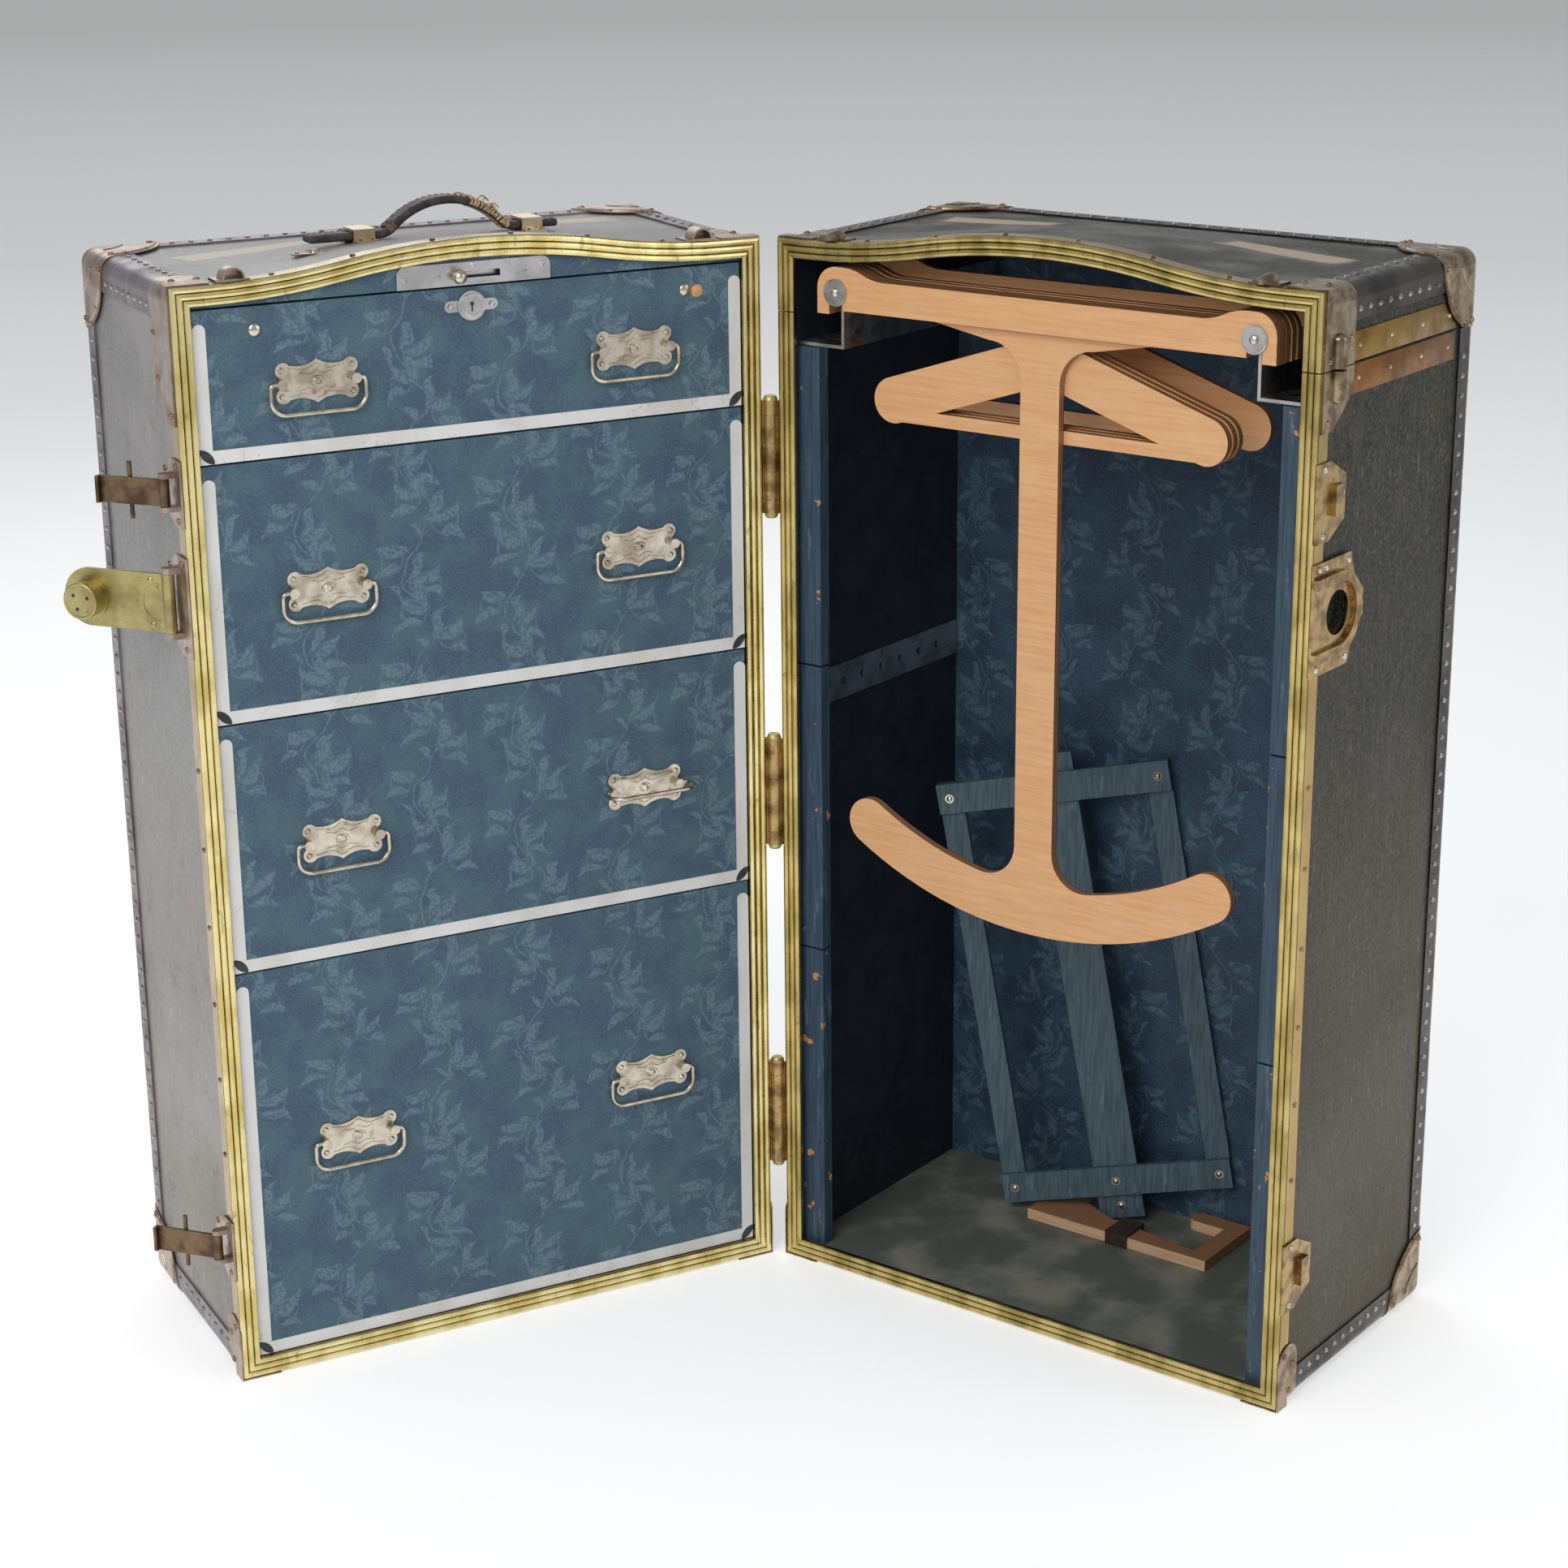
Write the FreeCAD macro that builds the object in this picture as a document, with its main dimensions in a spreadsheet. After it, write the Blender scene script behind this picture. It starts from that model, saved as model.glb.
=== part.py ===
"""Wardrobe trunk, standing open on its end.

A drawer half and a hanger half are joined by three butt hinges.  The drawer half carries four
drawers behind a cambered front edge; the hanger half has a hinged lid, two rails with four
garment hangers, and an anchor-shaped follower that holds the clothes.

Frame: millimetres, +Z up, origin on the floor under the middle of the drawer half.  The drawers
open towards -Y and the hinge side is +X.  Pieces of either half are placed by three distances:
"across" from the half's middle (positive to the hinge side), "deep" from its opening plane
inwards, and "up" from the floor.
"""
import FreeCAD, Part
import math
import os
import Sketcher

Vector = FreeCAD.Vector
doc = FreeCAD.newDocument("WardrobeTrunk")

# --------------------------------------------------------------------------------- sizes

SIZES = [
    # the case
    ("trunk_width", 553, "outer width of both halves, over the edge bindings"),
    ("trunk_height", 1016, "floor to the level part of the top"),
    ("drawer_half_depth", 267, "opening plane to the back of the drawer half"),
    ("hanger_half_depth", 291, "opening plane to the back of the hanger half"),
    ("open_angle", 115.4, "how far the hanger half stands open, in degrees"),
    ("parting_gap", 1, "gap between the two valances when the trunk is shut"),
    ("wall_thickness", 12, "plywood panels with their lining"),
    ("binding_thickness", 2, "edge bindings"),
    ("binding_leg", 31, "width of a binding on each face"),
    ("edge_radius", 13, "outer radius of the bound edges"),
    ("cap_thickness", 1.2, "corner caps over the bindings"),
    ("rear_cap_reach", 72, "radius of the round rear corner caps"),
    ("camber_rise", 21.5, "rise of the front edge of the top at its middle"),
    ("camber_margin", 31.5, "outer face to where the camber starts"),
    # the reeded valance round each opening
    ("valance_width", 18, "face of the valance"),
    ("valance_depth", 5, "valance in front of the panels"),
    ("valance_wrap", 18, "return of the valance on the outer faces"),
    ("reed_count", 3, "reeds on the valance"),
    ("reed_height", 1.8, "reeds over their root"),
    ("reed_shoulder", 0.45, "crest of a reed to its shoulders"),
    ("reed_flank", 1, "root of a reed to its shoulder"),
    # the lid of the hanger half
    ("lid_height", 66.5, "level part of the top to the seam under the lid"),
    ("seam_gap", 1, "gap in the seam"),
    ("lid_hinge_radius", 4, "barrel of the lid hinge"),
    ("lid_hinge_length", 60, "length of each lid hinge"),
    ("lid_hinge_spacing", 150, "middle to each lid hinge"),
    ("lid_leaf_height", 22, "leaf of the lid hinge on each side of its barrel"),
    ("lid_leaf_thickness", 2, "leaf of the lid hinge over the bindings"),
    # fibre runner under the middle of each half
    ("base_runner_width", 60, "runner under the bottom panel"),
    # trunk hinges
    ("hinge_offset", 8.2, "outer face to the axis of the trunk hinges"),
    ("hinge_length", 106, "knuckled length of a hinge"),
    ("hinge_radius", 6.75, "barrel of a hinge"),
    ("hinge_pin_radius", 3, "pin of a hinge"),
    ("hinge_dome", 4.5, "domed ends of a hinge pin"),
    ("hinge_leaf_width", 38, "opening plane to the back edge of a leaf"),
    ("hinge_leaf_thickness", 2, "leaf of a hinge"),
    ("hinge_low", 154, "middle of the lowest hinge"),
    ("hinge_middle", 487, "middle of the middle hinge"),
    ("hinge_high_drop", 203, "level part of the top to the middle of the highest hinge"),
    ("running_clearance", 0.05, "pin to bore"),
    ("slack", 0.3, "gap between parts that pass each other"),
    # drawers
    ("drawer_floor", 20, "floor to the bottom edge of the lowest front"),
    ("drawer_headroom", 22, "top of the top front to the level part of the top"),
    ("drawer_1_share", 131, "share of the fronts that the top drawer has"),
    ("drawer_2_share", 229, "share of the fronts that the second drawer has"),
    ("drawer_3_share", 230, "share of the fronts that the third drawer has"),
    ("drawer_4_share", 378, "share of the fronts that the bottom drawer has"),
    ("drawer_gap", 2, "gap between two fronts"),
    ("drawer_side_gap", 1, "gap from a front to the valance"),
    ("drawer_setback", 6, "opening plane to the face of the fronts"),
    ("drawer_front_thickness", 12, "drawer fronts"),
    ("drawer_board", 8, "drawer sides and backs"),
    ("drawer_bottom_board", 5, "drawer bottoms"),
    ("drawer_length", 226, "drawer box behind its front"),
    ("drawer_box_lift", 14, "bottom edge of a front to the box bottom"),
    ("drawer_box_drop", 4, "top edge of a front to the box top"),
    ("runner_width", 17, "drawer runners on the side panels"),
    ("runner_height", 12, "drawer runners"),
    ("edging_width", 11.5, "enamelled edging on the fronts"),
    ("edging_thickness", 1, "enamelled edging"),
    ("edging_drop", 17, "top edge of a front to the end of the edging"),
    # drawer pulls
    ("pull_left", -150, "left pulls, across from the middle"),
    ("pull_right", 150, "right pulls, across from the middle"),
    ("pull_1_rise", 63, "bottom edge of the top front to its pulls"),
    ("pull_2_rise", 111, "bottom edge of the second front to its pulls"),
    ("pull_3_rise", 111, "bottom edge of the third front to its pulls"),
    ("pull_4_rise", 201, "bottom edge of the bottom front to its pulls"),
    ("pull_plate_thickness", 1.6, "back plate of a pull"),
    ("pull_plate_tip", 19, "middle of a plate to its top and bottom cusps"),
    ("pull_lobe_inner", 25, "middle of a plate to the inner root of a corner lobe, across"),
    ("pull_lobe_outer", 36, "middle of a plate to the outer root of a corner lobe, across"),
    ("pull_lobe_high", 15, "middle of a plate to the inner root of a corner lobe, up"),
    ("pull_lobe_low", 7, "middle of a plate to the outer root of a corner lobe, up"),
    ("pull_hollow", 30, "radius of the long hollows of a plate"),
    ("pull_waist", 9, "radius of the end hollows of a plate"),
    ("post_spacing", 33.5, "middle of a pull to each post"),
    ("post_radius", 4.5, "posts that carry a bail"),
    ("post_reach", 9, "posts in front of the drawer front"),
    ("bail_half_width", 43, "middle of a bail to the middle of its side wire"),
    ("bail_drop", 27, "pivot of a bail to its bottom wire"),
    ("bail_wire", 2, "radius of the bail wire"),
    ("bail_shoulder", 4, "bend of a bail beside its pivot"),
    ("bail_corner", 13, "lower bends of a bail"),
    ("raised_bail_angle", 94, "the one bail that stands up, in degrees"),
    # lock of the top drawer
    ("lock_drop", 16, "top edge of the top front to the middle of its lock"),
    ("lock_across", -5.5, "middle of the lock, across"),
    ("lock_radius", 13, "round of the lock plate"),
    ("lock_ear_reach", 25, "middle of the lock to the end of an ear"),
    ("lock_ear_radius", 5, "round end of an ear"),
    ("lock_thickness", 3, "lock plate"),
    ("plug_radius", 8, "lock plug"),
    ("plug_thickness", 3.6, "lock plug"),
    # fascia and its sliding bolt
    ("fascia_setback", 6, "opening plane to the face of the fascia"),
    ("fascia_thickness", 8, "cambered rail over the drawers"),
    ("bolt_plate_left", -73.5, "left end of the bolt plate, across"),
    ("bolt_plate_length", 144, "bolt plate"),
    ("bolt_plate_height", 20, "bolt plate"),
    ("bolt_plate_thickness", 1.5, "bolt plate"),
    ("bolt_plate_corner", 8, "upper corners of the bolt plate"),
    ("bolt_slot_left", -21, "left end of the slot in the bolt plate, across"),
    ("bolt_slot_length", 44, "slot in the bolt plate"),
    ("bolt_slot_height", 6, "slot in the bolt plate"),
    ("bolt_slot_rise", 9, "bottom of the bolt plate to the middle of its slot"),
    ("bolt_stem_radius", 2.5, "stem of the sliding bolt"),
    ("bolt_knob_radius", 6.5, "knob of the sliding bolt"),
    ("bolt_knob_reach", 8, "stem of the knob in front of the bolt plate"),
    ("bolt_tongue_length", 20, "tongue behind the bolt plate"),
    ("bolt_tongue_thickness", 4, "tongue behind the bolt plate"),
    # carrying handle on the top
    ("handle_deep", 120, "opening plane to the middle of the handle"),
    ("loop_left", -63, "left handle loop, across"),
    ("loop_right", 98.5, "right handle loop, across"),
    ("loop_width", 20, "handle loop along the strap"),
    ("loop_wall", 2.5, "metal of a handle loop"),
    ("loop_foot", 9, "foot of a loop beside the strap"),
    ("loop_foot_thickness", 1.8, "foot of a loop over the highest point under it"),
    ("strap_width", 21, "leather handle"),
    ("strap_thickness", 7, "leather handle"),
    ("strap_crown", 70, "crown radius of the bowed strap, at its underside"),
    ("strap_rise", 26, "rise of the bow over the left loop, at its underside"),
    ("strap_tail_left", 50, "strap beyond the left loop"),
    ("strap_tail_right", 27, "strap beyond the right loop"),
    ("strap_clearance", 0.6, "strap to its loops"),
    ("strap_play", 7, "straight run of the strap between a loop and the bow"),
    ("strap_travel", 6, "how far the strap slides in its loops, each way"),
    # register dowels over the front edge
    ("dowel_inset", 57.5, "outer face to the middle of each dowel"),
    ("dowel_reach", 7, "dowel in front of the opening plane"),
    ("dowel_tip_radius", 5, "dowel at its tip"),
    ("dowel_root_radius", 7, "dowel at its root"),
    ("dowel_cup_bore", 8.5, "hollow of the cup"),
    ("dowel_cup_wall", 1.6, "metal of the cup"),
    ("dowel_length", 16, "cup and dowel behind the opening plane"),
    ("dowel_cup_setback", 2, "opening plane to the mouth of a cup"),
    ("dowel_foot_reach", 15, "middle of a dowel or cup to the edge of its foot"),
    # catches
    ("catch_upper_drop", 176, "level part of the top to the middle of the upper catch"),
    ("catch_lower_height", 132, "middle of the lower catch"),
    ("catch_angle", 47, "how far the catches are swung back from square, in degrees"),
    ("catch_pivot_deep", 20.7, "opening plane to the pivot of a catch"),
    ("catch_pivot_reach", 7.5, "base plate to the pivot of a catch"),
    ("catch_length", 64, "pivot to the end of a catch"),
    ("catch_width", 24, "height of a catch"),
    ("catch_thickness", 3, "strap of a catch"),
    ("catch_lip", 4, "bent end of a catch"),
    ("catch_knuckle_radius", 4.5, "knuckle of a catch"),
    ("catch_pin_radius", 2, "pins of a catch"),
    ("catch_cross_pin", 50, "length of the cross pin"),
    ("catch_cross_place", 34, "pivot to the cross pin"),
    ("catch_base_length", 59, "base of a catch along the edge"),
    ("catch_base_width", 46, "base of a catch from the opening plane"),
    ("latch_plate", 2, "base plates of the latches"),
    ("latch_shoulder", 0.45, "share of a base plate's width where its ends narrow"),
    ("latch_end", 0.22, "share of a base plate's length that its pointed ends take"),
    ("strike_length", 68, "strike of a catch along the edge"),
    ("strike_width", 50, "strike of a catch from the opening plane"),
    ("strike_hook", 26, "height of the hook of a strike"),
    ("strike_hook_reach", 4.5, "hook over its plate"),
    # the hasp lock
    ("hasp_drop", 276, "level part of the top to the middle of the hasp"),
    ("hasp_angle", 48.4, "how far the hasp is swung back from square, in degrees"),
    ("hasp_pivot_deep", 32, "opening plane to the hasp's pivot"),
    ("hasp_pivot_reach", 6.5, "base plate to the hasp's pivot"),
    ("hasp_boss_place", 78, "pivot to the middle of the boss"),
    ("hasp_width", 52, "height of the hasp"),
    ("hasp_thickness", 3, "plate of the hasp"),
    ("hasp_boss_radius", 16.5, "lock boss of the hasp"),
    ("hasp_boss_length", 17.5, "lock boss of the hasp"),
    ("hasp_collar_radius", 20, "collar of the boss"),
    ("hasp_collar_length", 2, "collar of the boss"),
    ("hasp_knuckle_radius", 5.5, "knuckle of the hasp"),
    ("hasp_pin_radius", 2.5, "pin of the hasp"),
    ("hasp_base_length", 90, "base of the hasp along the edge"),
    ("hasp_base_width", 58, "base of the hasp from the opening plane"),
    ("receiver_length", 98, "receiver along the edge"),
    ("receiver_width", 92, "receiver from the opening plane"),
    ("receiver_rim", 4, "raised rim of the receiver over its plate"),
    ("receiver_bore", 19.5, "hole for the boss"),
    ("receiver_margin", 1.8, "hasp to the rim of the receiver"),
    ("receiver_rim_width", 9, "raised rim round the end of the hasp"),
    ("receiver_neck", 0.72, "share of the receiver's width at its two ends"),
    ("receiver_step", 0.8, "share of the receiver's width beside its nose"),
    ("receiver_nose", 0.4, "share of the nose that is flat"),
    ("receiver_block_margin", 15, "bore to the edges of the block behind the receiver"),
    # corner plates
    ("corner_plate_width", 57, "front corner plates on the side walls"),
    ("corner_plate_height", 119, "front corner plates on the side walls"),
    ("corner_plate_neck", 23, "lower end of a front corner plate"),
    ("corner_plate_step", 90, "straight outer edge of a front corner plate"),
    ("corner_plate_top", 38, "front corner plates on the top"),
    ("foot_cap_width", 34, "front foot caps along the side"),
    ("foot_cap_height", 62, "front foot caps up the side"),
    # inside the hanger half
    ("rail_inset", 63.5, "outer face to the web of each rail"),
    ("rail_web", 3, "web of a rail"),
    ("rail_drop", 98, "level part of the top to the underside of a rail"),
    ("rail_height", 49.7, "web of a rail"),
    ("rail_front", 2.5, "opening plane to the front end of a rail"),
    ("rail_rear_gap", 12, "rear end of a rail to the back panel"),
    ("batten_width", 25, "battens beside the opening"),
    ("batten_thickness", 13, "battens beside the opening"),
    ("batten_deep", 12, "opening plane to the battens"),
    ("batten_joint", 2, "gap between two battens"),
    ("batten_break_low", 330, "floor to the lower joint of the battens"),
    ("batten_break_high", 615, "floor to the upper joint of the battens"),
    ("strip_bottom", 565, "floor to the perforated strip"),
    ("strip_height", 35, "perforated strip"),
    ("strip_thickness", 2, "perforated strip"),
    ("strip_front", 42, "opening plane to the perforated strip"),
    ("strip_holes", 6, "holes in the perforated strip"),
    ("strip_pitch", 32, "pitch of the holes"),
    ("strip_hole_radius", 4, "holes in the perforated strip"),
    ("strip_first_hole", 37, "front end of the strip to its first hole"),
    # bars of the follower and hangers
    ("bar_drop", 61, "level part of the top to the underside of a bar"),
    ("bar_height", 29, "straight part of a bar"),
    ("bar_inset", 43, "outer face to the end of a bar"),
    ("bar_ear_rise", 10, "ear of a bar over its straight part"),
    ("bar_ear_corner", 20, "outer corner of an ear"),
    ("bar_ear_flat", 8, "level top of an ear"),
    ("bar_ear_slope", 44, "run from an ear down to the straight part"),
    ("bar_tab_drop", 4, "end tab below the underside of a bar"),
    ("bar_notch", 15, "notch over a rail"),
    ("retainer_deep", 4, "opening plane to the retainer bar"),
    ("retainer_thickness", 8, "retainer bar"),
    ("anchor_thickness", 8, "anchor"),
    ("layer_gap", 0.5, "gap between two pieces that hang one behind the other"),
    ("hanger_thickness", 6.5, "hangers"),
    ("hanger_pitch", 10, "spacing of the front hangers"),
    ("last_hanger_deep", 96, "opening plane to the rearmost hanger"),
    ("washer_radius", 12.5, "washers of the retainer bar"),
    ("washer_thickness", 1.6, "washers of the retainer bar"),
    ("rivet_radius", 3.5, "rivets of the retainer bar"),
    ("rivet_head", 1.6, "rivet heads over the washers"),
    ("washer_drop", 23, "top of an ear to the middle of its washer"),
    # anchor
    ("stem_half_width", 20, "stem of the anchor"),
    ("flare_run", 120, "middle to where the underside of the bar starts to drop"),
    ("flare_drop", 12, "drop of the flare at the stem"),
    ("flare_radius", 33, "fillets between the flare and the stem"),
    ("bow_radius", 350, "middle line of the anchor's bow"),
    ("bow_half_width", 23, "half the width of the bow"),
    ("bow_drop", 534, "underside of a bar to the middle line of the bow"),
    ("bow_tip", 182, "middle to the centre of a tip of the bow"),
    ("bow_fillet", 32, "fillets between the stem and the bow"),
    # hangers
    ("neck_half_width", 30, "neck under the bar of a hanger"),
    ("shoulder_inner", 24, "middle to the inner end of a shoulder"),
    ("shoulder_drop", 34, "underside of a bar to the inner end of a shoulder"),
    ("shoulder_outer", 161, "middle to the outer end of a shoulder"),
    ("shoulder_fall", 45, "fall of a shoulder from its inner to its outer end"),
    ("shoulder_half_width", 21, "half the width of a shoulder"),
    ("trouser_bar_height", 12, "trouser bar"),
    ("trouser_bar_drop", 98, "underside of a bar to the underside of the trouser bar"),
    # slat rack
    ("rack_lean", 4, "lean of the rack from upright, in degrees"),
    ("rack_turn", 11, "turn of the rack in its own plane, in degrees"),
    ("rack_skew", 20, "turn of the rack about the upright, in degrees"),
    ("rack_across", 23, "foot of the middle slat, across"),
    ("rack_height", 484, "middle slat of the rack"),
    ("rack_middle_width", 45, "middle slat of the rack"),
    ("rack_side_width", 24, "outer slats of the rack"),
    ("rack_rail_width", 30, "cross slats of the rack"),
    ("rack_slat_thickness", 6, "slats of the rack"),
    ("rack_rail_length", 235, "cross slats of the rack"),
    ("rack_rail_low", 41, "foot of the rack to its lower cross slat"),
    ("rack_rail_high", 451, "foot of the rack to its upper cross slat"),
    ("rack_tongue", 30, "metal tongue over the middle slat"),
    ("rack_tongue_width", 11, "metal tongue"),
    ("rack_tongue_thickness", 2, "metal tongue"),
    # loose board and its strap
    ("board_thickness", 11, "loose board"),
    ("board_left", -99, "end of the board beside the latches, across"),
    ("board_right", 106, "end of the board beside the hinges, across"),
    ("board_front", 181, "opening plane to the front edge of the board"),
    ("board_rear", 246, "opening plane to the rear edge of the board's wide end"),
    ("board_block", 42, "wide end of the board"),
    ("board_bar", 14, "narrow front bar of the board"),
    ("board_haunch", 37, "length of the slope from the wide end to the front bar"),
    ("board_haunch_height", 16, "height of that slope"),
    ("board_arm", 20, "arms round the cut-out of the board"),
    ("board_arm_rear", 274, "opening plane to the rear edge of the hooked arm"),
    ("board_hook", 62, "length of the hooked arm"),
    ("board_strap_width", 24, "leather strap over the board"),
    ("board_strap_thickness", 3, "leather strap over the board"),
    ("board_strap_across", 1, "middle of the leather strap, across"),
]

sheet = doc.addObject("Spreadsheet::Sheet", "Sizes")
for row, (alias, amount, meaning) in enumerate(SIZES, start=1):
    sheet.set("A%d" % row, alias)
    sheet.set("B%d" % row, str(amount))
    sheet.setAlias("B%d" % row, alias)
    sheet.set("C%d" % row, meaning)
doc.recompute()


# ------------------------------------------------------------------- numbers tied to the sheet

class Size:
    """A number together with the expression that ties it to the sheet."""

    def __init__(self, value, text):
        self.value = float(value)
        self.text = text

    def __add__(self, other):
        other = as_size(other)
        return Size(self.value + other.value, "(%s + %s)" % (self.text, other.text))

    def __sub__(self, other):
        other = as_size(other)
        return Size(self.value - other.value, "(%s - %s)" % (self.text, other.text))

    def __mul__(self, other):
        other = as_size(other)
        return Size(self.value * other.value, "(%s * %s)" % (self.text, other.text))

    def __truediv__(self, other):
        other = as_size(other)
        return Size(self.value / other.value, "(%s / %s)" % (self.text, other.text))

    def __radd__(self, other):
        return as_size(other) + self

    def __rsub__(self, other):
        return as_size(other) - self

    def __rmul__(self, other):
        return as_size(other) * self

    def __neg__(self):
        return Size(-self.value, "(-%s)" % self.text)


def as_size(amount):
    """A plain number as a Size, or a Size as it is."""
    if isinstance(amount, Size):
        return amount
    return Size(amount, "(%r)" % float(amount))


def root(size):
    return Size(math.sqrt(size.value), "sqrt(%s)" % size.text)


def sine(degrees):
    return Size(math.sin(math.radians(degrees.value)), "sin(%s * 1 deg)" % degrees.text)


def cosine(degrees):
    return Size(math.cos(math.radians(degrees.value)), "cos(%s * 1 deg)" % degrees.text)


class Sheet:
    """Each alias of the sheet as a Size: size.trunk_width and so on."""


size = Sheet()
for alias, amount, meaning in SIZES:
    setattr(size, alias, Size(amount, "Sizes." + alias))


# places that follow the trunk when its height or width changes
size.seam_height = size.trunk_height - size.lid_height
size.hinge_high = size.trunk_height - size.hinge_high_drop
size.catch_upper_height = size.trunk_height - size.catch_upper_drop
size.hasp_height = size.trunk_height - size.hasp_drop
size.rail_bottom = size.trunk_height - size.rail_drop
size.bar_bottom = size.trunk_height - size.bar_drop
size.bow_low = size.bar_bottom - size.bow_drop
size.shoulder_top = size.bar_bottom - size.shoulder_drop
size.shoulder_low = size.shoulder_top - size.shoulder_fall
size.trouser_bar_low = size.bar_bottom - size.trouser_bar_drop
size.camber_foot = size.trunk_width / 2 - size.camber_margin
size.dowel_across = size.trunk_width / 2 - size.dowel_inset
size.rail_spacing = size.trunk_width / 2 - size.rail_inset
size.bar_half_length = size.trunk_width / 2 - size.bar_inset


def bind(thing, name, amount):
    thing.setExpression(name, as_size(amount).text)


def place(thing, x, y, z):
    bind(thing, "Placement.Base.x", x)
    bind(thing, "Placement.Base.y", y)
    bind(thing, "Placement.Base.z", z)


# ------------------------------------------------------------------------ building blocks

def box(name, x, y, z, length, width, height):
    """A box from its low corner."""
    solid = doc.addObject("Part::Box", name)
    bind(solid, "Length", length)
    bind(solid, "Width", width)
    bind(solid, "Height", height)
    place(solid, x, y, z)
    return solid


ALONG = {
    "x": FreeCAD.Rotation(Vector(0, 1, 0), 90),
    "y": FreeCAD.Rotation(Vector(1, 0, 0), -90),
    "z": FreeCAD.Rotation(),
}


def rod(name, axis, x, y, z, radius, length):
    """A cylinder from the middle of its low end, along one axis."""
    solid = doc.addObject("Part::Cylinder", name)
    solid.Placement = FreeCAD.Placement(Vector(), ALONG[axis])
    bind(solid, "Radius", radius)
    bind(solid, "Height", length)
    place(solid, x, y, z)
    return solid


def taper(name, axis, x, y, z, low_radius, high_radius, length):
    """A cone from the middle of its low end, along one axis."""
    solid = doc.addObject("Part::Cone", name)
    solid.Placement = FreeCAD.Placement(Vector(), ALONG[axis])
    bind(solid, "Radius1", low_radius)
    bind(solid, "Radius2", high_radius)
    bind(solid, "Height", length)
    place(solid, x, y, z)
    return solid


def ball(name, x, y, z, radius):
    solid = doc.addObject("Part::Sphere", name)
    bind(solid, "Radius", radius)
    place(solid, x, y, z)
    return solid


def fuse(name, *pieces):
    solid = doc.addObject("Part::MultiFuse", name)
    solid.Shapes = list(pieces)
    return solid


def common(name, *pieces):
    solid = doc.addObject("Part::MultiCommon", name)
    solid.Shapes = list(pieces)
    return solid


def cut(name, base, *tools):
    """base less each tool in turn."""
    for number, tool in enumerate(tools, start=1):
        solid = doc.addObject("Part::Cut", "%s_%d" % (name, number))
        solid.Base = base
        solid.Tool = tool
        base = solid
    return base


def group(name, pieces):
    """Several solids kept side by side."""
    whole = doc.addObject("Part::Compound", name)
    whole.Links = list(pieces)
    return whole


def rounded(name, base, radius, creases):
    """base with a fillet on each straight edge that lies in both planes of a crease."""
    doc.recompute()
    picks = []
    for number, edge in enumerate(base.Shape.Edges, start=1):
        ends = [vertex.Point for vertex in edge.Vertexes]
        for crease in creases:
            planes = [(axis, as_size(level).value) for axis, level in crease]
            if all(abs(getattr(end, axis) - level) < 1e-4 for end in ends for axis, level in planes):
                picks.append((number, radius.value, radius.value))
    solid = doc.addObject("Part::Fillet", name)
    solid.Base = base
    solid.Edges = picks
    return solid


PLANES = {
    "XY": (FreeCAD.Rotation(), Vector(0, 0, 1)),
    "XZ": (FreeCAD.Rotation(Vector(1, 0, 0), 90), Vector(0, 1, 0)),
    "YZ": (FreeCAD.Rotation(Vector(1, 1, 1), 120), Vector(1, 0, 0)),
}
HALF_ROUND = "half round"


def signed_area(points):
    total = 0.0
    for here, after in zip(points, points[1:] + points[:1]):
        total += here.x * after.y - after.x * here.y
    return total / 2


def sketch_arc(start, end, bulge, turn):
    """The arc from start to end, and whether the sketch runs it from its start.

    bulge is a radius, positive where the arc swells out of an outline that turns by turn.
    """
    chord = end - start
    middle = (start + end) / 2
    outward = Vector(chord.y, -chord.x, 0) * turn
    if bulge == HALF_ROUND:
        radius, inset = chord.Length / 2, 0.0
    else:
        radius = abs(bulge.value)
        inset = math.sqrt(max(radius ** 2 - chord.Length ** 2 / 4, 0.0))
        if bulge.value < 0:
            outward = -outward
    outward.normalize()
    centre = middle - outward * inset
    anticlockwise = (start - centre).cross(outward).z > 0
    first, last = (start, end) if anticlockwise else (end, start)
    angles = [math.atan2(p.y - centre.y, p.x - centre.x) for p in (first, last)]
    arc = Part.ArcOfCircle(Part.Circle(centre, Vector(0, 0, 1), radius), angles[0], angles[1])
    return arc, anticlockwise, outward


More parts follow.
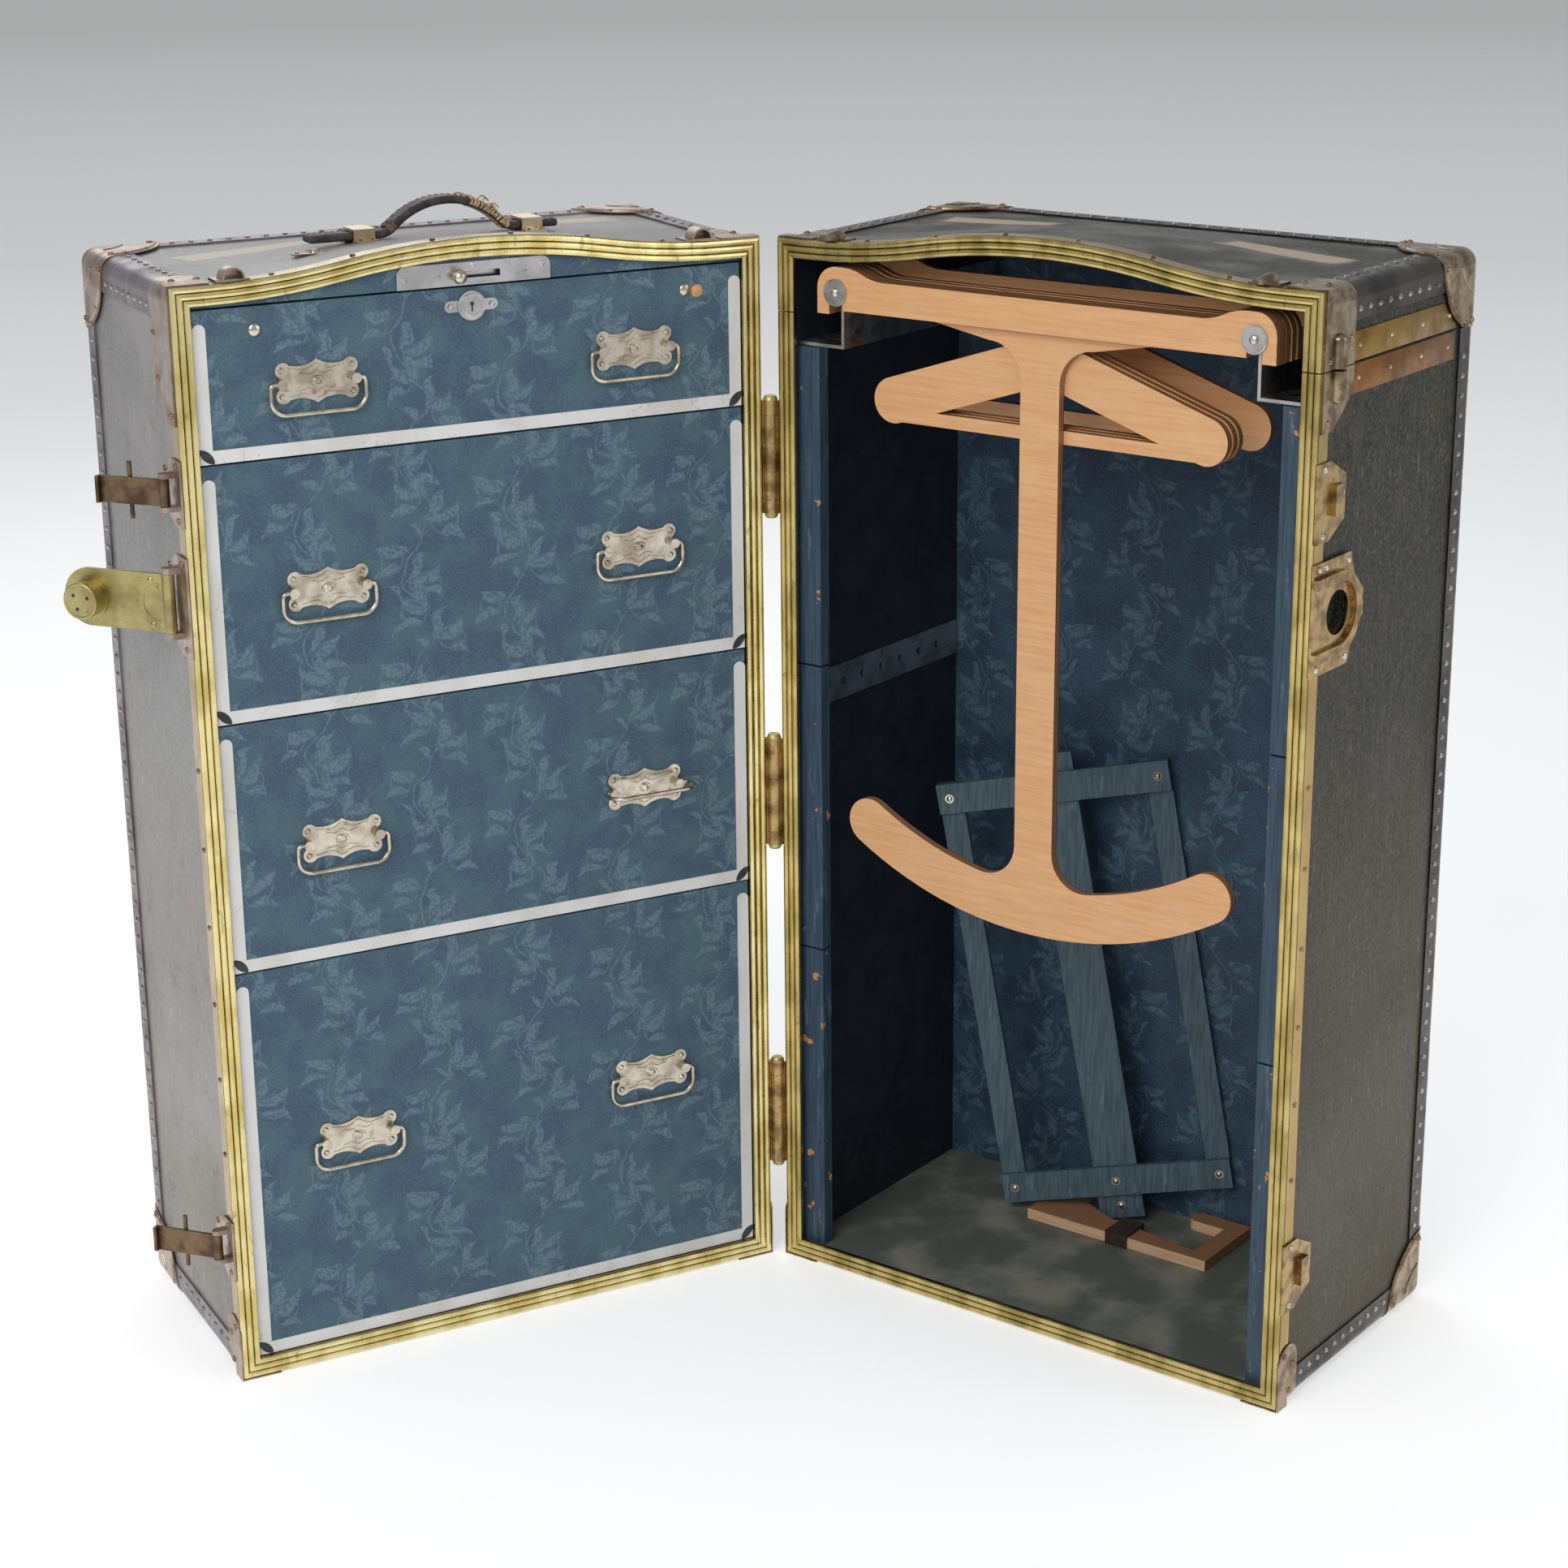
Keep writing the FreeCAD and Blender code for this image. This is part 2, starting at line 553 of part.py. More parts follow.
def outline(name, plane, corners, level, closed=True):
    """A sketch through corners (a, b) or (a, b, bulge) in a plane that lies at level.

    A corner with a bulge starts an arc of that radius to the next corner: positive swells
    outwards, negative is hollow, and HALF_ROUND is a half circle.
    """
    sketch = doc.addObject("Sketcher::SketchObject", name)
    rotation, normal = PLANES[plane]
    sketch.Placement = FreeCAD.Placement(Vector(), rotation)
    bind(sketch, "Placement.Base." + {"XY": "z", "XZ": "y", "YZ": "x"}[plane], level)
    points = [Vector(as_size(c[0]).value, as_size(c[1]).value, 0) for c in corners]
    turn = 1 if signed_area(points) > 0 else -1
    count = len(corners) if closed else len(corners) - 1
    ends = []
    for index in range(count):
        start, end = points[index], points[(index + 1) % len(points)]
        if len(corners[index]) > 2:
            arc, forward, outward = sketch_arc(start, end, corners[index][2], turn)
            sketch.addGeometry(arc)
            ends.append((1, 2) if forward else (2, 1))
        else:
            sketch.addGeometry(Part.LineSegment(start, end))
            ends.append((1, 2))
    for index in range(count):
        after = (index + 1) % count
        if closed or after:
            link = (index, ends[index][1], after, ends[after][0])
            sketch.addConstraint(Sketcher.Constraint("Coincident", *link))
    for index in range(len(corners)):
        owner = (index, ends[index][0]) if index < count else (count - 1, ends[count - 1][1])
        for kind, amount in zip(("DistanceX", "DistanceY"), corners[index][:2]):
            amount = as_size(amount)
            rule = Sketcher.Constraint(kind, -1, 1, owner[0], owner[1], amount.value)
            sketch.setExpression("Constraints[%d]" % sketch.addConstraint(rule), amount.text)
    for index in range(count):
        if len(corners[index]) < 3:
            continue
        bulge = corners[index][2]
        if bulge == HALF_ROUND:
            after = corners[(index + 1) % len(corners)]
            chord = points[(index + 1) % len(points)] - points[index]
            axis = 0 if abs(chord.y) > abs(chord.x) else 1
            middle = (as_size(corners[index][axis]) + after[axis]) / 2
            kind = ("DistanceX", "DistanceY")[axis]
            rule = Sketcher.Constraint(kind, -1, 1, index, 3, middle.value)
        else:
            middle = bulge if bulge.value > 0 else -bulge
            rule = Sketcher.Constraint("Radius", index, middle.value)
        sketch.setExpression("Constraints[%d]" % sketch.addConstraint(rule), middle.text)
    return sketch


def prism(name, plane, corners, level, length):
    """The outline through corners, drawn out from level by length."""
    solid = doc.addObject("Part::Extrusion", name)
    solid.Base = outline(name + "_outline", plane, corners, level)
    solid.DirMode = "Custom"
    solid.Dir = PLANES[plane][1]
    solid.Solid = True
    bind(solid, "LengthFwd", length)
    return solid


def backwards(line):
    """A run of corners from its far end, with its arcs swelling the other way."""
    turned = []
    for index in range(len(line) - 1, -1, -1):
        corner = tuple(line[index][:2])
        if index > 0 and len(line[index - 1]) > 2:
            corner += (-line[index - 1][2],)
        turned.append(corner)
    return turned


def backwards_plain(line):
    """A run of corners from its far end, with its arcs as they are."""
    turned = []
    for index in range(len(line) - 1, -1, -1):
        corner = tuple(line[index][:2])
        if index > 0 and len(line[index - 1]) > 2:
            corner += (line[index - 1][2],)
        turned.append(corner)
    return turned


class Half:
    """One half of the trunk: its middle, its opening plane and the way into it."""

    def __init__(self, middle, opening, inward, depth):
        self.middle = middle
        self.opening = opening
        self.inward = inward
        self.depth = depth

    def x(self, across):
        return self.middle + across

    def y(self, deep):
        return self.opening + as_size(deep) * self.inward

    def low_y(self, front, rear):
        return self.y(front) if self.inward > 0 else self.y(rear)

    def box(self, name, left, right, front, rear, low, high):
        return box(name, self.x(left), self.low_y(front, rear), as_size(low),
                   as_size(right) - left, as_size(rear) - front, as_size(high) - low)

    def rod_across(self, name, left, deep, up, radius, length):
        return rod(name, "x", self.x(left), self.y(deep), up, radius, length)

    def rod_deep(self, name, across, front, up, radius, length):
        low = self.low_y(front, as_size(front) + length)
        return rod(name, "y", self.x(across), low, up, radius, length)

    def rod_up(self, name, across, deep, low, radius, length):
        return rod(name, "z", self.x(across), self.y(deep), low, radius, length)

    def front_prism(self, name, corners, front, rear):
        """An outline in (across, up), drawn out from front to rear."""
        turned = [(self.x(c[0]), c[1]) + tuple(c[2:]) for c in corners]
        return prism(name, "XZ", turned, self.low_y(front, rear), as_size(rear) - front)

    def side_prism(self, name, corners, left, right):
        """An outline in (deep, up), drawn out from left to right."""
        turned = [(self.y(c[0]), c[1]) + tuple(c[2:]) for c in corners]
        return prism(name, "YZ", turned, self.x(left), as_size(right) - left)

    def floor_prism(self, name, corners, low, high):
        """An outline in (across, deep), drawn out from low to high."""
        turned = [(self.x(c[0]), self.y(c[1])) + tuple(c[2:]) for c in corners]
        return prism(name, "XY", turned, as_size(low), as_size(high) - low)


half_width = size.trunk_width / 2
hinge_x = half_width + size.hinge_offset
hinge_y = -(size.drawer_half_depth + size.parting_gap) / 2
drawer_half = Half(as_size(0), -size.drawer_half_depth / 2, 1, size.drawer_half_depth)
# the hanger half is drawn shut, in a frame on the hinge axis, and then swung open
hanger_half = Half(-hinge_x, -size.parting_gap / 2, -1, size.hanger_half_depth)
SWUNG = "placement(vector(%s; %s; 0); rotation(vector(0; 0; 1); Sizes.open_angle))" % (
    hinge_x.text, hinge_y.text)

parts = []


def part(name, pieces, swung=False):
    """A finished sub-part: its solids side by side under the name of its file."""
    whole = group(name, pieces)
    whole.Label = name
    if swung:
        whole.setExpression("Placement", SWUNG)
    parts.append(whole)
    return whole


SIDES = (("hinge_side", 1), ("latch_side", -1))


def span(side, inner, outer):
    """A stretch from inner to outer, measured from the middle to one side."""
    return (inner, outer) if side > 0 else (-outer, -inner)


# ------------------------------------------------------------------------------ the case

floor_of_bindings = size.cap_thickness
floor_of_panels = size.cap_thickness + size.binding_thickness
top_of_panels = size.trunk_height - size.binding_thickness
outside = half_width - size.binding_thickness
inside = outside - size.wall_thickness
floor_inside = floor_of_panels + size.wall_thickness
camber_radius = (size.camber_foot * size.camber_foot
                 + size.camber_rise * size.camber_rise) / (size.camber_rise * 4)


def camber(half_length, level, inset=0):
    """The cambered line from left to right, moved inwards by inset from level."""
    inset = as_size(inset)
    slope_run = size.camber_foot / (camber_radius * 2)
    slope_rise = 1 - size.camber_rise / (camber_radius * 2)
    knee = size.camber_foot / 2 - inset * slope_run
    knee_level = level + size.camber_rise / 2 - inset * slope_rise
    low = level - inset
    return [
        (-half_length, low),
        (-size.camber_foot, low, -(camber_radius + inset)),
        (-knee, knee_level, camber_radius - inset),
        (knee, knee_level, -(camber_radius + inset)),
        (size.camber_foot, low),
        (half_length, low),
    ]


def level_line(half_length, level):
    """A straight line with the same corners as the cambered one."""
    places = (-half_length, -size.camber_foot, -size.camber_foot / 2,
              size.camber_foot / 2, size.camber_foot, half_length)
    return [(across, level) for across in places]


def side_panels(half, name, low, high, rounded_low, rounded_high):
    """Both side panels, rounded along their outer edges."""
    radius = size.edge_radius - size.binding_thickness
    rear = half.depth - size.binding_thickness
    panels = []
    for label, side in SIDES:
        left, right = span(side, inside, outside)
        block = half.box("%s_%s_block" % (name, label), left, right,
                         size.valance_depth, rear, low, high)
        face = ("x", half.x(outside * side))
        back = ("y", half.y(rear))
        creases = [(face, back)]
        if rounded_low:
            creases += [(face, ("z", low)), (back, ("z", low))]
        if rounded_high:
            creases += [(face, ("z", high)), (back, ("z", high))]
        panels.append(rounded("%s_%s" % (name, label), block, radius, creases))
    return panels


def back_panel(half, name, low, high, rounded_low, rounded_high):
    """The back panel between the side panels."""
    radius = size.edge_radius - size.binding_thickness
    rear = half.depth - size.binding_thickness
    block = half.box(name + "_block", -inside, inside, rear - size.wall_thickness, rear, low, high)
    back = ("y", half.y(rear))
    creases = []
    if rounded_low:
        creases.append((back, ("z", low)))
    if rounded_high:
        creases.append((back, ("z", high)))
    return rounded(name, block, radius, creases) if creases else block


def bottom_panel(half, name):
    rear = half.depth - size.binding_thickness - size.wall_thickness
    return half.box(name, -inside, inside, size.valance_depth, rear, floor_of_panels, floor_inside)


def base_runner(half, name):
    """A fibre runner under the middle of the bottom, level with the corner caps."""
    reach = size.base_runner_width / 2
    return half.box(name, -reach, reach, size.valance_wrap + size.slack,
                    half.depth - size.binding_leg - size.slack, 0, floor_of_panels)


def top_panel(half, name):
    """The top, cambered along its front edge and level under the rear binding."""
    crest = half.depth - size.binding_leg
    rear = half.depth - size.binding_thickness - size.wall_thickness
    under = top_of_panels - size.wall_thickness
    sections = []
    for label, deep, line in (("front", size.valance_depth, camber),
                              ("crest", crest, level_line)):
        corners = line(inside, top_of_panels) + backwards(line(inside, under))
        turned = [(half.x(c[0]), c[1]) + tuple(c[2:]) for c in corners]
        sections.append(outline("%s_%s" % (name, label), "XZ", turned, half.y(deep)))
    loft = doc.addObject("Part::Loft", name + "_slope")
    loft.Sections = sections
    loft.Solid = True
    loft.Ruled = True
    level = half.box(name + "_level", -inside, inside, crest, rear, under, top_of_panels)
    return fuse(name, loft, level)


def angle_corners(corner, leg, radius, thickness):
    """A rounded angle section on an outer corner: corner is ((a, way in), (b, way in))."""
    (a, a_in), (b, b_in) = corner
    a_leg, b_leg = leg
    inner = radius - thickness
    return [
        (a + a_leg * a_in, b), (a + radius * a_in, b, radius),
        (a, b + radius * b_in), (a, b + b_leg * b_in),
        (a + thickness * a_in, b + b_leg * b_in),
        (a + thickness * a_in, b + radius * b_in, -inner),
        (a + radius * a_in, b + thickness * b_in), (a + a_leg * a_in, b + thickness * b_in),
    ]


def upright_bindings(half, name, low, high):
    """Bindings on the two rear upright edges."""
    legs = (size.binding_leg, size.binding_leg)
    strips = []
    for label, side in SIDES:
        corners = angle_corners(((half_width * side, -side), (half.depth, -1)), legs,
                                size.edge_radius, size.binding_thickness)
        strips.append(half.floor_prism("%s_%s_upright" % (name, label), corners, low, high))
    return strips


def level_bindings(half, name, level, way_in):
    """Bindings on the side edges and rear edge at one level."""
    legs = (size.binding_leg, size.binding_leg)
    rear = half.depth - size.binding_leg
    strips = []
    for label, side in SIDES:
        corners = angle_corners(((half_width * side, -side), (level, way_in)), legs,
                                size.edge_radius, size.binding_thickness)
        strips.append(half.front_prism("%s_%s_edge" % (name, label), corners,
                                       size.valance_wrap, rear))
    corners = angle_corners(((half.depth, -1), (level, way_in)), legs,
                            size.edge_radius, size.binding_thickness)
    reach = half_width - size.binding_leg
    strips.append(half.side_prism(name + "_rear_edge", corners, -reach, reach))
    return strips


def valance(half, name):
    """The reeded valance: one section swept round the opening, mitred at its four corners."""
    top = camber(half_width, size.trunk_height)
    route = [(as_size(0), floor_of_bindings), (-half_width, floor_of_bindings)] + top
    route += [(half_width, floor_of_bindings)]
    turned = [(half.x(c[0]), c[1]) + tuple(c[2:]) for c in route]
    spine = outline(name + "_route", "XZ", turned, half.y(0))
    reeds = int(size.reed_count.value)
    pitch = size.valance_width / reeds
    section = [(size.valance_wrap, as_size(0)), (size.reed_height, as_size(0))]
    for reed in range(reeds):
        foot = pitch * reed
        section += [(size.reed_shoulder, foot + size.reed_flank),
                    (as_size(0), foot + pitch / 2),
                    (size.reed_shoulder, foot + pitch - size.reed_flank),
                    (size.reed_height, foot + pitch)]
    section += [(size.valance_depth, size.valance_width),
                (size.valance_depth, size.binding_thickness),
                (size.valance_wrap, size.binding_thickness)]
    turned = [(half.y(deep), floor_of_bindings + inwards) for deep, inwards in section]
    profile = outline(name + "_section", "YZ", turned, half.x(0))
    sweep = doc.addObject("Part::Sweep", name)
    sweep.Sections = [profile]
    sweep.Spine = (spine, [])
    sweep.Solid = True
    sweep.Frenet = False
    sweep.Transition = "Right corner"
    return sweep


def rear_cap(half, name, side, level, way_in):
    """A round cap of sheet metal over one rear corner."""
    reach = size.rear_cap_reach + size.cap_thickness
    skins = []
    for label, grow in (("outer", size.cap_thickness), ("inner", as_size(0))):
        left, right = span(side, half_width - reach, half_width + grow)
        edge = level - grow * way_in
        low, high = (edge, level + reach) if way_in > 0 else (level - reach, edge)
        rear = half.depth + grow
        block = half.box("%s_%s_block" % (name, label), left, right,
                         half.depth - reach, rear, low, high)
        face = ("x", half.x((half_width + grow) * side))
        back = ("y", half.y(rear))
        floor = ("z", edge)
        skins.append(rounded("%s_%s" % (name, label), block, size.edge_radius + grow,
                             [(face, back), (face, floor), (back, floor)]))
    skin = cut(name + "_skin", skins[0], skins[1])
    round_edge = ball(name + "_round", half.x(half_width * side), half.y(half.depth),
                      as_size(level), size.rear_cap_reach)
    return common(name, skin, round_edge)


def cap_skin(half, name, corner, legs, front, rear):
    """Sheet metal over an outer edge: square over the valance, then round over the binding."""
    (a, a_in), (b, b_in) = corner
    a_leg, b_leg = legs
    thick = size.cap_thickness
    square = [(a + a_leg * a_in, b), (a, b), (a, b + b_leg * b_in),
              (a + thick * a_in, b + b_leg * b_in), (a + thick * a_in, b + thick * b_in),
              (a + a_leg * a_in, b + thick * b_in)]
    round_corner = angle_corners(corner, legs, size.edge_radius + thick, thick)
    return fuse(name, half.front_prism(name + "_square", square, front, size.valance_wrap),
                half.front_prism(name + "_round", round_corner, size.valance_wrap, rear))


def foot_cap(half, name, side):
    """A cap under one front bottom corner, with a round head on the side wall."""
    corner = ((half_width + size.cap_thickness) * side, -side)
    skin = cap_skin(half, name + "_skin", (corner, (as_size(0), 1)),
                    (size.corner_plate_top, size.foot_cap_height), 0, size.foot_cap_width)
    shoulder = size.foot_cap_height - size.foot_cap_width / 2
    shape = [(as_size(0), as_size(0)), (size.foot_cap_width, as_size(0)),
             (size.foot_cap_width, shoulder, HALF_ROUND), (as_size(0), shoulder)]
    left, right = span(side, half_width - size.corner_plate_top,
                       half_width + size.cap_thickness)
    return common(name, skin, half.side_prism(name + "_shape", shape, left, right))


def corner_plate(half, name, side):
    """A plate over one front top corner, stepped in to a neck down the side wall."""
    top = size.trunk_height + size.cap_thickness
    corner = ((half_width + size.cap_thickness) * side, -side)
    skin = cap_skin(half, name + "_skin", (corner, (top, -1)),
                    (size.corner_plate_top, size.corner_plate_height),
                    size.valance_depth, size.corner_plate_width)
    neck = size.corner_plate_neck
    foot = top - size.corner_plate_height
    step = top - size.corner_plate_step
    half_way = (step + foot) / 2
    shape = [(as_size(0), top), (size.corner_plate_width, top),
             (size.corner_plate_width, step),
             ((size.corner_plate_width + neck) / 2, half_way), (neck, foot),
             (as_size(0), foot)]
    left, right = span(side, half_width - size.corner_plate_top,
                       half_width + size.cap_thickness)
    return common(name, skin, half.side_prism(name + "_shape", shape, left, right))


def above_seam(half, name):
    """A block that holds everything over the seam."""
    margin = size.rear_cap_reach
    return half.box(name, -half_width - margin, half_width + margin, -margin,
                    half.depth + margin, size.seam_height - size.seam_gap / 2,
                    size.trunk_height + margin)


def below_seam(half, name):
    """A block that holds everything under the seam."""
    margin = size.rear_cap_reach
    return half.box(name, -half_width - margin, half_width + margin, -margin,
                    half.depth + margin, -margin, size.seam_height + size.seam_gap / 2)


def build_drawer_half_case():
    half = drawer_half
    part("drawer_half_walls",
         side_panels(half, "drawer_half_side", floor_of_panels, top_of_panels, True, True)
         + [back_panel(half, "drawer_half_back", floor_of_panels, top_of_panels, True, True),
            bottom_panel(half, "drawer_half_bottom"),
            base_runner(half, "drawer_half_runner")])
    part("drawer_half_top", [top_panel(half, "drawer_half_top_panel")])
    low = floor_of_bindings + size.binding_leg
    high = size.trunk_height - size.binding_leg
    part("drawer_half_binding",
         upright_bindings(half, "drawer_half", low, high)
         + level_bindings(half, "drawer_half_low", floor_of_bindings, 1)
         + level_bindings(half, "drawer_half_high", size.trunk_height, -1))
    part("drawer_half_valance", [valance(half, "drawer_half_valance_sweep")])
    caps = []
    for label, side in SIDES:
        stem = "drawer_half_%s" % label
        caps.append(rear_cap(half, stem + "_low_cap", side, floor_of_bindings, 1))
        caps.append(rear_cap(half, stem + "_high_cap", side, size.trunk_height, -1))
        caps.append(foot_cap(half, stem + "_foot_cap", side))
        caps.append(corner_plate(half, stem + "_corner_plate", side))
    part("drawer_half_corner_caps", caps)


def receiver_pocket():
    """The blind bore in the block behind the receiver, for the boss of the hasp."""
    left = -outside - size.slack
    length = receiver_floor_depth() + size.slack
    return hanger_half.rod_across("receiver_pocket", left, boss_deep, size.hasp_height,
                                  size.receiver_bore, length)


def receiver_notch(name, gap):
    """The notch in the latch-side wall for the hardwood block behind the receiver."""
    reach = size.receiver_bore + size.receiver_block_margin - gap
    return hanger_half.box(name, -outside - size.slack, size.slack - inside, -size.slack,
                           boss_deep + reach, size.hasp_height - reach,
                           size.hasp_height + reach)


def receiver_floor_depth():
    """Outer face of the side panel to the bottom of the receiver's bore."""
    boss_in = size.hasp_boss_length + size.hasp_thickness / 2 - size.hasp_pivot_reach
    return boss_in - size.latch_plate - size.binding_thickness + size.slack * 2


boss_deep = size.hasp_boss_place - size.hasp_pivot_deep - size.parting_gap


def build_hanger_half_case():
    half = hanger_half
    rim = size.seam_height - size.seam_gap / 2
    panels = side_panels(half, "hanger_half_side", floor_of_panels, rim, True, False)
    notch = receiver_notch("receiver_notch", as_size(0))
    block = common("receiver_block_blank", panels[1], receiver_notch("receiver_block", size.slack))
    block = cut("receiver_block_bored", block, receiver_pocket())
    panels[1] = cut("hanger_half_latch_wall", panels[1], notch)
    part("hanger_half_walls", panels + [block]
         + [back_panel(half, "hanger_half_back", floor_of_panels, rim, True, False),
            bottom_panel(half, "hanger_half_bottom"),
            base_runner(half, "hanger_half_runner")], swung=True)
    low = floor_of_bindings + size.binding_leg
    part("hanger_half_binding",
         upright_bindings(half, "hanger_half", low, rim)
         + level_bindings(half, "hanger_half_low", floor_of_bindings, 1), swung=True)
    frame = valance(half, "hanger_half_valance_sweep")
    part("hanger_half_valance",
         [cut("hanger_half_valance_low", frame, above_seam(half, "over_lower_valance"))],
         swung=True)
    caps = []
    lid_plates = []
    for label, side in SIDES:
        stem = "hanger_half_%s" % label
        caps.append(rear_cap(half, stem + "_low_cap", side, floor_of_bindings, 1))
        caps.append(foot_cap(half, stem + "_foot_cap", side))
        plate = corner_plate(half, stem + "_corner_plate", side)
        caps.append(cut(stem + "_plate_neck", plate, above_seam(half, stem + "_over_neck")))
        lid_plates.append(cut(stem + "_plate_head", plate, below_seam(half, stem + "_under_head")))
        caps.append(lid_hinge_leaf(stem + "_lower_leaf", side, upper=False))
    part("hanger_half_fittings", caps, swung=True)
    build_lid(frame, lid_plates)


def build_lid(frame, plates):
    half = hanger_half
    rim = size.seam_height + size.seam_gap / 2
    part("lid_shell",
         side_panels(half, "lid_side", rim, top_of_panels, False, True)
         + [back_panel(half, "lid_back", rim, top_of_panels, False, True),
            top_panel(half, "lid_top")], swung=True)
    part("lid_binding",
         upright_bindings(half, "lid", rim, size.trunk_height - size.binding_leg)
         + level_bindings(half, "lid_high", size.trunk_height, -1), swung=True)
    part("lid_valance",
         [cut("lid_valance_head", frame, below_seam(half, "under_lid_valance"))], swung=True)
    pieces = list(plates)
    room = over_valance(half, "over_lid_valance")
    for label, side in SIDES:
        cap = rear_cap(half, "lid_%s_cap" % label, side, size.trunk_height, -1)
        pieces.append(cut("lid_%s_cap_trimmed" % label, cap,
                          below_seam(half, "lid_%s_under_cap" % label)))
        pieces.append(dowel("lid_%s_dowel" % label, side, room))
        pieces.append(lid_hinge_leaf("lid_%s_leaf" % label, side, upper=True))
    part("lid_fittings", pieces, swung=True)


def lid_hinge_leaf(name, side, upper):
    """One leaf of a lid hinge on the back: the lower leaf has the outer knuckles."""
    half = hanger_half
    radius = size.lid_hinge_radius
    axis_deep = half.depth + radius + size.slack
    left = size.lid_hinge_spacing * side - size.lid_hinge_length / 2
    third = size.lid_hinge_length / 3
    leaf_face = half.depth + size.lid_leaf_thickness
    axis_up = size.seam_height
    if upper:
        low, high = axis_up + radius + size.slack, axis_up + size.lid_leaf_height
        knuckles = [(left + third + size.slack, third - size.slack * 2)]
        neck = (axis_up, low + size.slack)
    else:
        low, high = axis_up - size.lid_leaf_height, axis_up - radius - size.slack
        knuckles = [(left, third), (left + third * 2, third)]
        neck = (high - size.slack, axis_up)
    # the bindings stop short of the leaf, so it lies on the back panel's own face
    pieces = [half.box(name + "_plate", left, left + size.lid_hinge_length,
                       half.depth - size.binding_thickness, leaf_face, low, high)]
    for number, (start, length) in enumerate(knuckles, start=1):
        pieces.append(half.rod_across("%s_knuckle_%d" % (name, number), start, axis_deep,
                                      axis_up, radius, length))
        pieces.append(half.box("%s_neck_%d" % (name, number), start, start + length,
                               half.depth + size.slack, leaf_face + size.slack, neck[0], neck[1]))
    return fuse(name, *pieces)


dowel_inner = size.dowel_across - size.dowel_foot_reach
dowel_run = size.camber_foot - dowel_inner
dowel_level = (size.trunk_height + size.cap_thickness + camber_radius
               - root(camber_radius * camber_radius - dowel_run * dowel_run))


def over_valance(half, name):
    """The room over the valance's return on the top, up to the feet of the dowels or cups."""
    line = camber(half_width, size.trunk_height)
    return half.front_prism(name, line + [(half_width, dowel_level), (-half_width, dowel_level)],
                            size.valance_depth, size.valance_wrap)


def dowel_foot(half, name, side, rear, room):
    """The foot of a dowel or cup: it lies on the valance's return and reaches on behind it."""
    left, right = span(side, dowel_inner, size.dowel_across + size.dowel_foot_reach)
    front = half.box(name + "_front", left, right, size.valance_depth, size.valance_wrap,
                     top_of_panels, dowel_level)
    behind = half.box(name + "_behind", left, right, size.valance_wrap, rear,
                      dowel_level - size.cap_thickness - size.binding_thickness / 2, dowel_level)
    return fuse(name, common(name + "_over", front, room), behind)


def dowel(name, side, room):
    """A register dowel on the lid: a half-round tapered nose with a round tail."""
    half = hanger_half
    length = size.dowel_reach + size.dowel_length
    across = half.x(size.dowel_across * side)
    nose = taper(name + "_nose", "y", across, half.y(size.dowel_length),
                 dowel_level, size.dowel_root_radius, size.dowel_tip_radius, length)
    tail = ball(name + "_tail", across, half.y(size.dowel_length), dowel_level,
                size.dowel_root_radius)
    reach = size.dowel_root_radius * 2
    under = half.box(name + "_under", size.dowel_across * side - reach,
                     size.dowel_across * side + reach, -reach, size.dowel_length + reach,
                     dowel_level - reach, dowel_level)
    rear = size.dowel_length + size.dowel_root_radius
    return fuse(name, cut(name + "_round", fuse(name + "_whole", nose, tail), under),
                dowel_foot(half, name + "_foot", side, rear, room))


def dowel_cup(name, side, room):
    """A half-round hood over the front edge of the drawer half, open to the front."""
    half = drawer_half
    outer = size.dowel_cup_bore + size.dowel_cup_wall
    across = size.dowel_across * side
    setback = size.dowel_cup_setback
    hood = half.rod_deep(name + "_hood", across, setback, dowel_level, outer, size.dowel_length)
    bore = half.rod_deep(name + "_bore", across, 0, dowel_level, size.dowel_cup_bore,
                         size.dowel_length + setback - size.dowel_cup_wall)
    under = half.box(name + "_under", across - outer * 2, across + outer * 2, -outer,
                     size.dowel_length + outer, dowel_level - outer * 2, dowel_level)
    rear = size.dowel_length + outer
    return fuse(name, cut(name + "_shell", hood, bore, under),
                dowel_foot(half, name + "_foot", side, rear, room))


# ---------------------------------------------------------------------------- trunk hinges

hinge_heights = (size.hinge_low, size.hinge_middle, size.hinge_high)
KNUCKLES = 5


def knuckle_spans(middle):
    """The five knuckles of a hinge: (bottom, height), with the end ones half as long."""
    share = size.hinge_length / (KNUCKLES - 1)
    low = middle - size.hinge_length / 2
    spans = []
    for number in range(KNUCKLES):
        height = share if 0 < number < KNUCKLES - 1 else share / 2
        spans.append((low, height))
        low = low + height
    return spans


